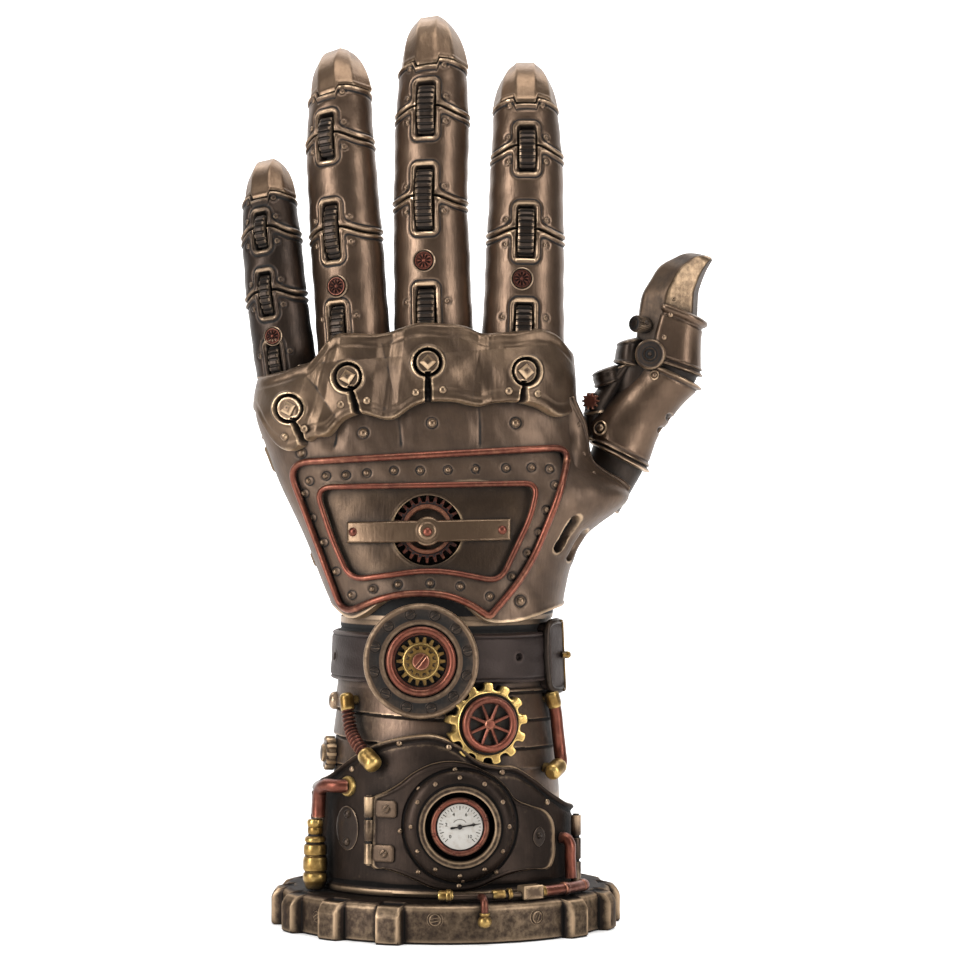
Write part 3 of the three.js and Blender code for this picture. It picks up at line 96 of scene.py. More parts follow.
class Wire:
    # One socket of a node tree. Arithmetic on it adds Math nodes.
    def __init__(self, tree, socket=None):
        self.tree = tree
        self.socket = socket

    def node(self, kind, settings=None, inputs=None, output=0):
        made = self.tree.nodes.new(kind)
        for key, value in (settings or {}).items():
            if key == "stops":
                ramp = made.color_ramp
                while len(ramp.elements) < len(value):
                    ramp.elements.new(0.5)
                for element, (place, colour) in zip(ramp.elements, value):
                    element.position = place
                    element.color = (*colour, 1)
            else:
                setattr(made, key, value)
        for key, value in (inputs or {}).items():
            if isinstance(value, Wire):
                self.tree.links.new(value.socket, made.inputs[key])
            else:
                made.inputs[key].default_value = value
        return Wire(self.tree, made.outputs[output])

    def maths(self, operation, first, second=0.0, clamp=False):
        settings = {"operation": operation, "use_clamp": clamp}
        return self.node("ShaderNodeMath", settings, {0: first, 1: second})

    def __add__(self, other):
        return self.maths("ADD", self, other)

    def __sub__(self, other):
        return self.maths("SUBTRACT", self, other)

    def __rsub__(self, other):
        return self.maths("SUBTRACT", other, self)

    def __mul__(self, other):
        return self.maths("MULTIPLY", self, other)

    __radd__ = __add__
    __rmul__ = __mul__

    def most(self, other):
        return self.maths("MAXIMUM", self, other)

    def held(self):
        return self.maths("ADD", self, 0.0, clamp=True)

    def rise(self, low, high):
        # 0 below low, 1 above high, smooth between
        settings = {"interpolation_type": "SMOOTHSTEP"}
        return self.node("ShaderNodeMapRange", settings, {"Value": self, "From Min": low, "From Max": high})

    def blend(self, first, second):
        # colour first where this wire is 0, second where it is 1
        settings = {"data_type": "RGBA", "clamp_factor": True}
        return self.node("ShaderNodeMix", settings, {0: self, 6: first, 7: second}, output=2)

    def noise(self, place, scale, detail=3.0, rough=0.55):
        inputs = {"Vector": place, "Scale": scale, "Detail": detail, "Roughness": rough}
        return self.node("ShaderNodeTexNoise", {"noise_dimensions": "3D"}, inputs)

    def stretched(self, place, scale):
        return self.node("ShaderNodeMapping", {"vector_type": "POINT"}, {"Vector": place, "Scale": scale})


def linearColour(red, green, blue):
    # 0..255 display values to linear light
    shares = np.array((red, green, blue)) / 255
    lin = np.where(shares <= 0.04045, shares / 12.92, ((shares + 0.055) / 1.055) ** 2.4)
    return (float(lin[0]), float(lin[1]), float(lin[2]), 1.0)


def startMaterial(name):
    material = bpy.data.materials.new(name)
    material.use_nodes = True
    tree = material.node_tree
    tree.nodes.clear()
    end = tree.nodes.new("ShaderNodeOutputMaterial")
    surface = tree.nodes.new("ShaderNodeBsdfPrincipled")
    tree.links.new(surface.outputs[0], end.inputs[0])
    return material, Wire(tree), surface


def plug(wire, surface, socket):
    wire.tree.links.new(wire.socket, surface.inputs[socket])


# Metals: patina in the hollows, a worn shine on what stands proud, and painted shade where an ambient occlusion node
# finds surfaces close by, in creases and between parts. A point attribute holds each point's height in mm above the
# smoothed surface, plus any extra its piece adds, which on a few pieces is painted shade or highlight. A finish gives
# what differs from everyMetal.
everyMetal = {
    "metallic": 0.88, "rough": 0.4, "wear": 1.0, "grimeAndShade": 1.0, "brush": 0.5, "mottle": 0.9, "edge": 1.0,
}
metals = {
    "bronze": {
        "deep": (20, 15, 12), "body": (104, 85, 70), "tint": (82, 66, 54), "bright": (190, 162, 132),
        "metallic": 0.9, "rough": 0.36, "mottle": 0.8,
    },
    "plateBronze": {
        "deep": (20, 16, 13), "body": (100, 82, 68), "tint": (76, 62, 52), "bright": (178, 152, 124),
        "metallic": 0.86, "rough": 0.45, "wear": 0.9, "brush": 0.6, "mottle": 0.8,
    },
    # a darker copy of bronze
    "darkerBronze": {
        "deep": (15, 12, 10), "body": (64, 52, 44), "tint": (46, 38, 33), "bright": (158, 134, 110),
    },
    "cuffBronze": {
        "deep": (14, 11, 9), "body": (54, 44, 38), "tint": (38, 31, 27), "bright": (158, 134, 108),
        "metallic": 0.85, "rough": 0.47, "wear": 0.8, "grimeAndShade": 1.1, "edge": 0.35,
    },
    "lightBronze": {
        "deep": (24, 18, 13), "body": (122, 100, 80), "tint": (96, 77, 61), "bright": (206, 178, 146),
        "metallic": 0.9, "rough": 0.36, "brush": 0.6, "mottle": 0.8,
    },
    "guardBronze": {
        "deep": (20, 15, 12), "body": (106, 87, 70), "tint": (80, 65, 53), "bright": (196, 168, 136),
        "metallic": 0.9, "grimeAndShade": 1.1, "brush": 0.6,
    },
    "discBronze": {
        "deep": (18, 14, 11), "body": (96, 77, 61), "tint": (71, 57, 46), "bright": (186, 158, 128),
        "metallic": 0.86, "rough": 0.52, "wear": 0.9,
    },
    # a darker copy of light bronze
    "darkerLightBronze": {
        "deep": (17, 13, 10), "body": (84, 68, 54), "tint": (62, 50, 41), "bright": (184, 156, 124),
        "metallic": 0.9, "wear": 1.1,
    },
    "drumBronze": {
        "deep": (13, 10, 8), "body": (92, 74, 62), "tint": (66, 54, 45), "bright": (150, 126, 102), "brush": 0.4,
    },
    "darkBronze": {
        "deep": (12, 10, 8), "body": (58, 48, 41), "tint": (43, 36, 31), "bright": (146, 124, 102),
        "metallic": 0.86, "brush": 0.35, "mottle": 0.7,
    },
    "copper": {
        "deep": (28, 12, 9), "body": (116, 66, 52), "tint": (82, 46, 37), "bright": (196, 138, 108),
        "metallic": 0.86, "rough": 0.38, "wear": 0.65, "grimeAndShade": 1.1, "brush": 0.3,
    },
    "brass": {
        "deep": (26, 17, 8), "body": (126, 97, 50), "tint": (84, 61, 31), "bright": (214, 180, 110),
        "rough": 0.37, "wear": 0.6, "grimeAndShade": 1.5, "brush": 0.2,
    },
    "blackSteel": {
        "deep": (6, 5, 5), "body": (24, 21, 20), "tint": (20, 18, 17), "bright": (60, 55, 50),
        "metallic": 0.5, "rough": 0.45, "wear": 0.5, "grimeAndShade": 0.4, "brush": 0.2, "mottle": 0.3,
    },
}


def makeMetal(name, look):
    material, start, surface = startMaterial(name)
    place = start.node("ShaderNodeTexCoord", output="Object")
    relief = start.node("ShaderNodeAttribute", {"attribute_name": "relief"}, output="Fac")
    near = start.node(
        "ShaderNodeAmbientOcclusion", {"samples": 6}, {"Distance": 0.0035}, output="AO"
    )
    blotch = start.noise(place, 70.0, 4.0, 0.6)
    fine = start.noise(place, 620.0, 4.0, 0.65)
    brushed = start.noise(start.stretched(place, (1500.0, 1500.0, 130.0)), 1.0, 3.0, 0.6)
    # worn and the hollow mask read that attribute: real wear and patina, and on a few pieces painted highlight and
    # shade
    worn = (relief * (2.9 * look["wear"]) + (fine - 0.5) * 0.7 + (blotch - 0.5) * 0.4).rise(0.12, 0.95)
    hollowAndShade = (relief * -6.5 + (fine - 0.5) * 0.35).rise(0.1, 0.7)
    # painted shade: darker where the ambient occlusion node finds surfaces within 3.5 mm, mixed below with the patina
    # in the hollows
    shade = (1.0 - near.rise(0.25, 1.0)) * 0.9
    grimeAndShade = (hollowAndShade.most(shade) * look["grimeAndShade"]).held()
    mottle = (blotch.rise(0.36, 0.64) * look["mottle"] + (brushed - 0.5) * look["brush"]).held()
    colour = mottle.blend(linearColour(*look["body"]), linearColour(*look["tint"]))
    colour = worn.blend(colour, linearColour(*look["bright"]))
    colour = grimeAndShade.blend(colour, linearColour(*look["deep"]))
    plug(colour, surface, "Base Color")
    plug((look["metallic"] - grimeAndShade * 0.45).held(), surface, "Metallic")
    rough = look["rough"] + (blotch - 0.5) * 0.14 + (brushed - 0.5) * 0.14 + grimeAndShade * 0.3 - worn * 0.06
    plug(rough.held(), surface, "Roughness")
    height = fine * 0.6 + brushed * 0.4
    bump = start.node("ShaderNodeBump", None, {"Height": height, "Strength": 0.26, "Distance": 0.0004})
    plug(bump, surface, "Normal")
    surface.inputs["Specular Tint"].default_value = (*[look["edge"]] * 3, 1)
    return material


leatherLook = {
    "deep": (11, 9, 9), "body": (33, 27, 26), "worn": (60, 50, 46), "rough": 0.48,
}


def makeLeather(name, look):
    material, start, surface = startMaterial(name)
    place = start.node("ShaderNodeTexCoord", output="Object")
    relief = start.node("ShaderNodeAttribute", {"attribute_name": "relief"}, output="Fac")
    near = start.node("ShaderNodeAmbientOcclusion", {"samples": 6}, {"Distance": 0.004}, output="AO")
    pores = start.node(
        "ShaderNodeTexVoronoi", {"feature": "DISTANCE_TO_EDGE"}, {"Vector": place, "Scale": 900.0}
    )
    soft = start.noise(place, 160.0, 4.0, 0.6)
    worn = (relief * 3.0 + (soft - 0.5) * 0.6).rise(0.08, 0.8)
    # dirt in the hollows mixed with painted shade where the ambient occlusion node finds surfaces close by
    grimeAndShade = (relief * -6.0).rise(0.1, 0.8).most(1.0 - near.rise(0.25, 0.9))
    colour = (worn * 0.7).blend(linearColour(*look["body"]), linearColour(*look["worn"]))
    colour = (grimeAndShade * 0.85).held().blend(colour, linearColour(*look["deep"]))
    plug(colour, surface, "Base Color")
    plug((look["rough"] + (soft - 0.5) * 0.2 + grimeAndShade * 0.2).held(), surface, "Roughness")
    surface.inputs["Metallic"].default_value = 0.15
    surface.inputs["Specular IOR Level"].default_value = 0.4
    surface.inputs["Specular Tint"].default_value = (0.85, 0.66, 0.58, 1)
    height = pores.rise(0.0, 0.25) * 0.5 + soft * 0.5
    bump = start.node("ShaderNodeBump", None, {"Height": height, "Strength": 0.12, "Distance": 0.0003})
    plug(bump, surface, "Normal")
    return material


enamelLook = {"face": (165, 161, 154), "stainAndShade": (132, 122, 108), "rough": 0.35}


def makeEnamel(name, look):
    material, start, surface = startMaterial(name)
    place = start.node("ShaderNodeTexCoord", output="Object")
    near = start.node("ShaderNodeAmbientOcclusion", {"samples": 6}, {"Distance": 0.002}, output="AO")
    cloud = start.noise(place, 500.0, 4.0, 0.6)
    # painted shade where the ambient occlusion node finds the bezel close by, mixed with real staining from the noise
    stainAndShade = (1.0 - near.rise(0.3, 0.95)).most(cloud.rise(0.45, 0.75) * 0.5)
    plug(stainAndShade.blend(linearColour(*look["face"]), linearColour(*look["stainAndShade"])), surface, "Base Color")
    plug(look["rough"] + (cloud - 0.5) * 0.1, surface, "Roughness")
    surface.inputs["Coat Weight"].default_value = 0.5
    return material


def makeFloorFinish():
    material, start, surface = startMaterial("paleFloor")
    place = start.node("ShaderNodeTexCoord", output="Object")
    cloud = start.noise(place, 3.0, 2.0, 0.5)
    colour = cloud.blend((*studio["floorColour"], 1), (0.92, 0.915, 0.91, 1))
    plug(colour, surface, "Base Color")
    surface.inputs["Roughness"].default_value = 0.75
    # the wall far behind glows more than the floor near the piece
    depth = start.node("ShaderNodeSeparateXYZ", None, {"Vector": place}, output=1)
    low, high = [(glow, 0.995 * glow, 0.99 * glow, 1) for glow in (studio["floorGlow"], studio["wallGlow"])]
    plug(depth.rise(0.7, 1.5).blend(low, high), surface, "Emission Color")
    surface.inputs["Emission Strength"].default_value = 1.0
    return material


finishes = {name: makeMetal(name, {**everyMetal, **look}) for name, look in metals.items()}
finishes["leather"] = makeLeather("leather", leatherLook)
finishes["enamel"] = makeEnamel("enamel", enamelLook)
print("finishes made:", ", ".join(finishes))

# Floor: a plane that curves up behind, swept across.
sweep = {"front": -1500.0, "back": 1300.0, "bend": 400.0, "height": 2000.0, "halfWidth": 3000.0}


def makeSweep():
    # straight floor, a quarter circle, a straight wall
    quarter = np.linspace(0, np.pi / 2, 24)
    y = np.concatenate(([sweep["front"]], sweep["back"] + sweep["bend"] * np.sin(quarter)))
    z = np.concatenate(([0.0], sweep["bend"] * (1 - np.cos(quarter))))
    y = np.append(y, sweep["back"] + sweep["bend"])
    z = np.append(z, sweep["bend"] + sweep["height"])
    rows = [np.stack((np.full(len(y), side * sweep["halfWidth"]), y, z - 0.02), 1) for side in (-1, 1)]
    points = np.concatenate(rows) * toMetres
    n = len(y)
    faces = [(i, i + n, i + n + 1, i + 1) for i in range(n - 1)]
    mesh = bpy.data.meshes.new("floorSweep")
    mesh.from_pydata(points.tolist(), [], faces)
    mesh.shade_smooth()
    mesh.materials.append(makeFloorFinish())
    floor = bpy.data.objects.new("floorSweep", mesh)
    bpy.context.scene.collection.objects.link(floor)


makeSweep()


def setWorld():
    world = bpy.data.worlds.new("studioSky")
    world.use_nodes = True
    sky = world.node_tree.nodes["Background"]
    sky.inputs["Color"].default_value = (1.0, 0.99, 0.98, 1)
    sky.inputs["Strength"].default_value = studio["skyStrength"]
    bpy.context.scene.world = world
    bpy.context.scene.view_settings.view_transform = "Standard"


setWorld()

# Surface building
# A shell is (points, faces): points an (n, 3) array in mm, faces an (m, 4) array of corner numbers,
# the last one -1 in a triangle.


def gridFaces(rows, columns, closeRows=False, closeColumns=False):
    # quads of a rows x columns grid of points, row by row
    r = np.arange(rows if closeRows else rows - 1)[:, None]
    c = np.arange(columns if closeColumns else columns - 1)[None, :]
    r2, c2 = (r + 1) % rows, (c + 1) % columns
    corners = (r * columns + c, r * columns + c2, r2 * columns + c2, r2 * columns + c)
    return np.stack([np.broadcast_to(k, (r.shape[0], c.shape[1])).ravel() for k in corners], 1)


def ringShell(grid):
    # a grid closed both ways, as a torus is
    rows, columns = grid.shape[:2]
    return grid.reshape(-1, 3), gridFaces(rows, columns, True, True)


def sleeveShell(grid):
    # a grid of closed rows with a fan over its first and last row
    rows, columns = grid.shape[:2]
    middles = np.stack((grid[0].mean(0), grid[-1].mean(0)))
    points = np.concatenate((grid.reshape(-1, 3), middles))
    here = np.arange(columns)
    after = (here + 1) % columns
    none = np.full(columns, -1)
    first = np.full(columns, rows * columns)
    foot = np.stack((first, after, here, none), 1)
    base = (rows - 1) * columns
    head = np.stack((first + 1, base + here, base + after, none), 1)
    return points, np.concatenate((gridFaces(rows, columns, False, True), foot, head))


def rimOrder(rows, columns):
    # rows and columns round the edge of a grid, and a place along it that is whole at each corner
    down, along = np.arange(rows - 1), np.arange(columns - 1)
    r = np.concatenate((0 * along, down, 0 * along + rows - 1, rows - 1 - down))
    c = np.concatenate((along, 0 * down + columns - 1, columns - 1 - along, 0 * down))
    across, over = along / (columns - 1), down / (rows - 1)
    return r, c, np.concatenate((across, 1 + over, 2 + across, 3 + over))


def slabShell(outer, inner, skip=1):
    # two open grids of one size joined round their rims; inside its rim the inner one keeps every
    # skip-th row and column, with a strip of triangles between
    rows, columns = outer.shape[:2]
    r, c, place = rimOrder(rows, columns)
    keptRows = np.unique(np.append(np.arange(skip, rows - 1, skip), rows - 2))
    keptColumns = np.unique(np.append(np.arange(skip, columns - 1, skip), columns - 2))
    sparse = inner[np.ix_(keptRows, keptColumns)]
    sparseRows, sparseColumns, sparsePlace = rimOrder(*sparse.shape[:2])
    n, m, k = rows * columns, len(r), len(sparseRows)
    rim, step = r * columns + c, np.arange(m)
    side = np.stack((rim, n + step, n + np.roll(step, -1), np.roll(rim, -1)), 1)
    far = n + m + sparseRows * sparse.shape[1] + sparseColumns
    placeAfter, sparseAfter = np.append(place[1:], 4.0), np.append(sparsePlace[1:], 4.0)
    strip = []
    i = j = 0
    while i < m or j < k:
        if j == k or (i < m and placeAfter[i] <= sparseAfter[j]):
            strip.append((n + (i + 1) % m, n + i, far[j % k], -1))
            i += 1
        else:
            strip.append((n + i % m, far[j], far[(j + 1) % k], -1))
            j += 1
    points = np.concatenate((outer.reshape(-1, 3), inner[r, c], sparse.reshape(-1, 3)))
    back = gridFaces(*sparse.shape[:2])[:, ::-1] + n + m
    return points, np.concatenate((gridFaces(rows, columns), back, side, strip))


def joined(shells):
    points, faces, count = [], [], 0
    for shellPoints, shellFaces in shells:
        points.append(shellPoints)
        faces.append(np.where(shellFaces < 0, -1, shellFaces + count))
        count += len(shellPoints)
    return np.concatenate(points), np.concatenate(faces)


def outwards(shell):
    # turns a closed shell right side out by the sign of its volume
    points, faces = shell
    a, b, c = points[faces[:, 0]], points[faces[:, 1]], points[faces[:, 2]]
    d = np.where(faces[:, 3:] < 0, c, points[np.maximum(faces[:, 3], 0)])
    middle = points.mean(0)
    volume = (np.einsum("ij,ij->i", a - middle, np.cross(b - middle, c - middle))
              + np.einsum("ij,ij->i", a - middle, np.cross(c - middle, d - middle))).sum()
    if volume >= 0:
        return shell
    quads = faces[:, 3] >= 0
    turned = faces[:, [2, 1, 0, 3]].copy()
    turned[quads] = faces[quads][:, ::-1]
    return points, turned


def reliefOf(points, faces, rounds):
    # height of each point above the surface after rounds of averaging with its neighbours
    quads = faces[faces[:, 3] >= 0]
    triangles = faces[faces[:, 3] < 0][:, :3]
    edges = np.concatenate([quads[:, [i, (i + 1) % 4]] for i in range(4)]
                           + [triangles[:, [i, (i + 1) % 3]] for i in range(3)])
    n = len(points)
    degree = np.maximum(np.bincount(edges[:, 0], minlength=n) + np.bincount(edges[:, 1], minlength=n), 1)

    def averaged(values):
        total = np.bincount(edges[:, 0], values[edges[:, 1]], n) + np.bincount(edges[:, 1], values[edges[:, 0]], n)
        return 0.5 * values + 0.5 * total / degree

    a, b, c = points[faces[:, 0]], points[faces[:, 1]], points[faces[:, 2]]
    faceNormal = np.cross(b - a, c - a)
    normal = np.zeros((n, 3))
    for corner in range(3):
        for axis in range(3):
            normal[:, axis] += np.bincount(faces[:, corner], faceNormal[:, axis], n)
    normal /= np.maximum(np.linalg.norm(normal, axis=1, keepdims=True), 1e-9)
    smooth = points.T.copy()
    for _ in range(rounds):
        smooth = np.stack([averaged(values) for values in smooth])
    return np.einsum("ij,ij->i", points - smooth.T, normal)


def addPiece(name, finish, shells, replaced=(), rounds=8, sharp=38, extra=0.0):
    # one object from closed shells, with its relief plus any extra kept as a point attribute; on some pieces extra is
    # painted shade or highlight
    points, faces = joined([outwards(shell) for shell in shells])
    height = reliefOf(points, faces, rounds) + extra
    mesh = bpy.data.meshes.new(name)
    triangle = faces[:, 3] < 0
    sizes = np.where(triangle, 3, 4)
    starts = np.concatenate(([0], np.cumsum(sizes)[:-1]))
    corners = faces.ravel()[faces.ravel() >= 0]
    mesh.vertices.add(len(points))
    mesh.vertices.foreach_set("co", (points * toMetres).astype(np.float32).ravel())
    mesh.loops.add(len(corners))
    mesh.loops.foreach_set("vertex_index", corners.astype(np.int32))
    mesh.polygons.add(len(faces))
    mesh.polygons.foreach_set("loop_start", starts.astype(np.int32))
    mesh.update(calc_edges=True)
    mesh.validate()
    layer = mesh.attributes.new("relief", "FLOAT", "POINT")
    layer.data.foreach_set("value", height.astype(np.float32))
    mesh.shade_smooth()
    mesh.set_sharp_from_angle(angle=math.radians(sharp))
    mesh.materials.append(finishes[finish])
    piece = bpy.data.objects.new(name, mesh)
    bpy.context.scene.collection.objects.link(piece)
    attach(piece, "root")
    if replaced:
        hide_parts(*replaced)
    return piece


def unit(vectors):
    vectors = np.asarray(vectors, float)
    return vectors / np.maximum(np.linalg.norm(vectors, axis=-1, keepdims=True), 1e-12)


def smoothStep(x, low, high):
    t = np.clip((np.asarray(x, float) - low) / (high - low), 0, 1)
    return t * t * (3 - 2 * t)


def fallStep(x, low, high):
    return 1 - smoothStep(x, low, high)


def bump(x, width):
    # a rounded ridge, 1 at x = 0 and nothing past width
    return np.clip(1 - (np.asarray(x, float) / width) ** 2, 0, 1) ** 1.5


def edgeFall(edge, width):
    # 1 at an edge, nothing past width from it
    return np.clip(1 - edge / width, 0, 1) ** 2


def lengthAlong(path):
    # length walked up to each point of a path
    return np.concatenate(([0], np.cumsum(np.linalg.norm(np.diff(path, axis=0), axis=1))))


def curveThrough(x, knots, values):
    # a cubic through the knots with slopes from their neighbours, held level past both ends
    knots, values = np.asarray(knots, float), np.asarray(values, float)
    slope = np.gradient(values, knots)
    x = np.clip(x, knots[0], knots[-1])
    i = np.clip(np.searchsorted(knots, x) - 1, 0, len(knots) - 2)
    h = knots[i + 1] - knots[i]
    t = (x - knots[i]) / h
    return ((2 * t**3 - 3 * t**2 + 1) * values[i] + (t**3 - 2 * t**2 + t) * h * slope[i]
            + (3 * t**2 - 2 * t**3) * values[i + 1] + (t**3 - t**2) * h * slope[i + 1])


def smoothPath(corners, count, closed=False):
    # points at even lengths along a smooth curve through the corners
    corners = np.asarray(corners, float)
    if closed:
        corners = np.concatenate((corners[-3:], corners, corners[:4]))
    length = lengthAlong(corners)
    low, high = (length[3], length[-4]) if closed else (0, length[-1])
    fine = np.linspace(low, high, 12 * count + 1)
    path = np.stack([curveThrough(fine, length, column) for column in corners.T], 1)
    walked = lengthAlong(path)
    at = np.linspace(0, walked[-1], count + 1)[:-1] if closed else np.linspace(0, walked[-1], count)
    return np.stack([np.interp(at, walked, column) for column in path.T], 1)


def roundTurns(count, start=0.0):
    return start + np.linspace(0, 2 * np.pi, count, endpoint=False)


def axesOn(normal, up=(0, 0, 1)):
    # across, up and outward axes on faces that look along normal
    normal = unit(normal)
    across = np.cross(np.broadcast_to(up, normal.shape), normal)
    weak = np.linalg.norm(across, axis=-1, keepdims=True) < 1e-3
    across = unit(np.where(weak, np.cross(np.broadcast_to((0, 1, 0), normal.shape), normal), across))
    return across, np.cross(normal, across), normal


def placed(points, place, normal, turn=0.0, up=(0, 0, 1)):
    # a form made about +Z, set on a place with +Z along normal and turned about it
    across, over, out = axesOn(np.asarray(normal, float), up)
    c, s = math.cos(turn), math.sin(turn)
    x = points[..., 0] * c - points[..., 1] * s
    y = points[..., 0] * s + points[..., 1] * c
    return np.asarray(place) + x[..., None] * across + y[..., None] * over + points[..., 2][..., None] * out


def turnedShell(profile, sides=32):
    # a profile of (radius, height) carried round +Z, fans over both ends
    radius, height = np.asarray(profile, float).T
    turn = roundTurns(sides)
    grid = np.stack((radius[:, None] * np.cos(turn), radius[:, None] * np.sin(turn),
                     np.broadcast_to(height[:, None], (len(radius), sides))), 2)
    return sleeveShell(grid)


def outlineShell(outline, levels):
    # an outline stacked at levels of (height, inset): inset moves it in along its corners' bisectors
    outline = np.asarray(outline, float)
    ahead, behind = unit(np.roll(outline, -1, 0) - outline), unit(outline - np.roll(outline, 1, 0))
    inward = unit(np.stack((-(ahead + behind)[:, 1], (ahead + behind)[:, 0]), 1))
    area = np.cross(outline, np.roll(outline, -1, 0)).sum()
    inward = inward * np.sign(area)
    grid = np.stack([np.column_stack((outline + inward * inset, np.full(len(outline), height)))
                     for height, inset in levels])
    return sleeveShell(grid)


def stamped(shell, place, normal, turn=0.0, up=(0, 0, 1)):
    return placed(shell[0], place, normal, turn, up), shell[1]


def stampedAll(shell, places, normals, turns=None):
    turns = np.zeros(len(places)) if turns is None else turns
    return [stamped(shell, p, n, t) for p, n, t in zip(places, normals, turns)]


def domeForm(radius, height, sides=12):
    # rivet head: a skirt and a quarter of an ellipse
    rise = np.linspace(0, np.pi / 2, 5)[:-1]
    profile = [(radius, -0.5)] + [(radius * math.cos(a), height * math.sin(a)) for a in rise]
    return turnedShell(profile + [(radius * 0.12, height)], sides)


def slottedForm(radius, height, slot=0.24, sides=20):
    # screw head: a low disc and two half discs with a slot between them
    base = turnedShell([(radius, -0.5), (radius, 0.45 * height), (radius * 0.9, 0.5 * height)], sides)
    halves = []
    for side in (0, np.pi):
        gap = math.asin(slot)
        a = np.linspace(gap, np.pi - gap, sides // 2) + side
        outline = np.stack((radius * 0.96 * np.cos(a), radius * 0.96 * np.sin(a)), 1)
        halves.append(outlineShell(outline, [(0.3 * height, 0), (0.85 * height, 0), (height, 0.14 * radius)]))
    return joined([base] + halves)


def tubeShell(path, radius, sides=16, ribs=None):
    # a circle carried along a path on axes that don't twist; ribs adds to the radius by step and turn
    path = np.asarray(path, float)
    along = unit(np.gradient(path, axis=0))
    side = np.zeros_like(path)
    first = np.cross(along[0], (0.3, 0.2, 0.93))
    side[0] = first / np.linalg.norm(first)
    for i in range(1, len(path)):
        moved = side[i - 1] - along[i] * np.dot(side[i - 1], along[i])
        side[i] = moved / np.linalg.norm(moved)
    over = np.cross(along, side)
    turn = roundTurns(sides)
    radius = np.broadcast_to(np.asarray(radius, float), (len(path),))[:, None] * np.ones((1, sides))
    if ribs is not None:
        radius = radius + ribs
    grid = (path[:, None] + radius[..., None] * (np.cos(turn)[None, :, None] * side[:, None]
                                                 + np.sin(turn)[None, :, None] * over[:, None]))
    return sleeveShell(grid)


def toothedOutline(radius, root, teeth, share=0.3, foot=0.62, start=0.0):
    # straight flanks between a root circle and a tip circle
    middle = roundTurns(teeth, start)[:, None]
    half, wide = np.pi / teeth * share, np.pi / teeth * foot
    turn = (middle + np.array([-wide, -half, half, wide])).ravel()
    r = np.tile([root, radius, radius, root], teeth)
    return np.stack((r * np.cos(turn), r * np.sin(turn)), 1)


def viewPoint(pixels, depth):
    # a place in the photograph's frame to (x, z) at a depth y
    pixels = np.asarray(pixels, float)
    focal = camera["lens"] / camera["sensor"] * camera["frameWidth"]
    distance = np.asarray(depth, float) - camera["place"][1]
    x = camera["place"][0] + (pixels[..., 0] - camera["axisPixel"][0]) * distance / focal
    z = camera["place"][2] - (pixels[..., 1] - camera["axisPixel"][1]) * distance / focal
    return x, z


def spotAt(pixel, depth):
    x, z = viewPoint(pixel, depth)
    return np.array((float(x), depth, float(z)))


# Foot
foot = {
    "radius": 42.5, "height": 10.0, "bevel": 1.4, "toothReach": 2.8, "toothWidth": 6.4,
    "places": 16, "barePlaces": 2, "turn": 4.0, "softness": 0.5, "screwRadius": 1.45, "wallRub": 0.13,
    "rowSteps": [2, 3, 2, 4, 5, 5, 3, 2, 2, 2, 3, 3, 6, 3, 3],
    "screwPixels": [(317, 917), (435, 920), (537, 917)],
}


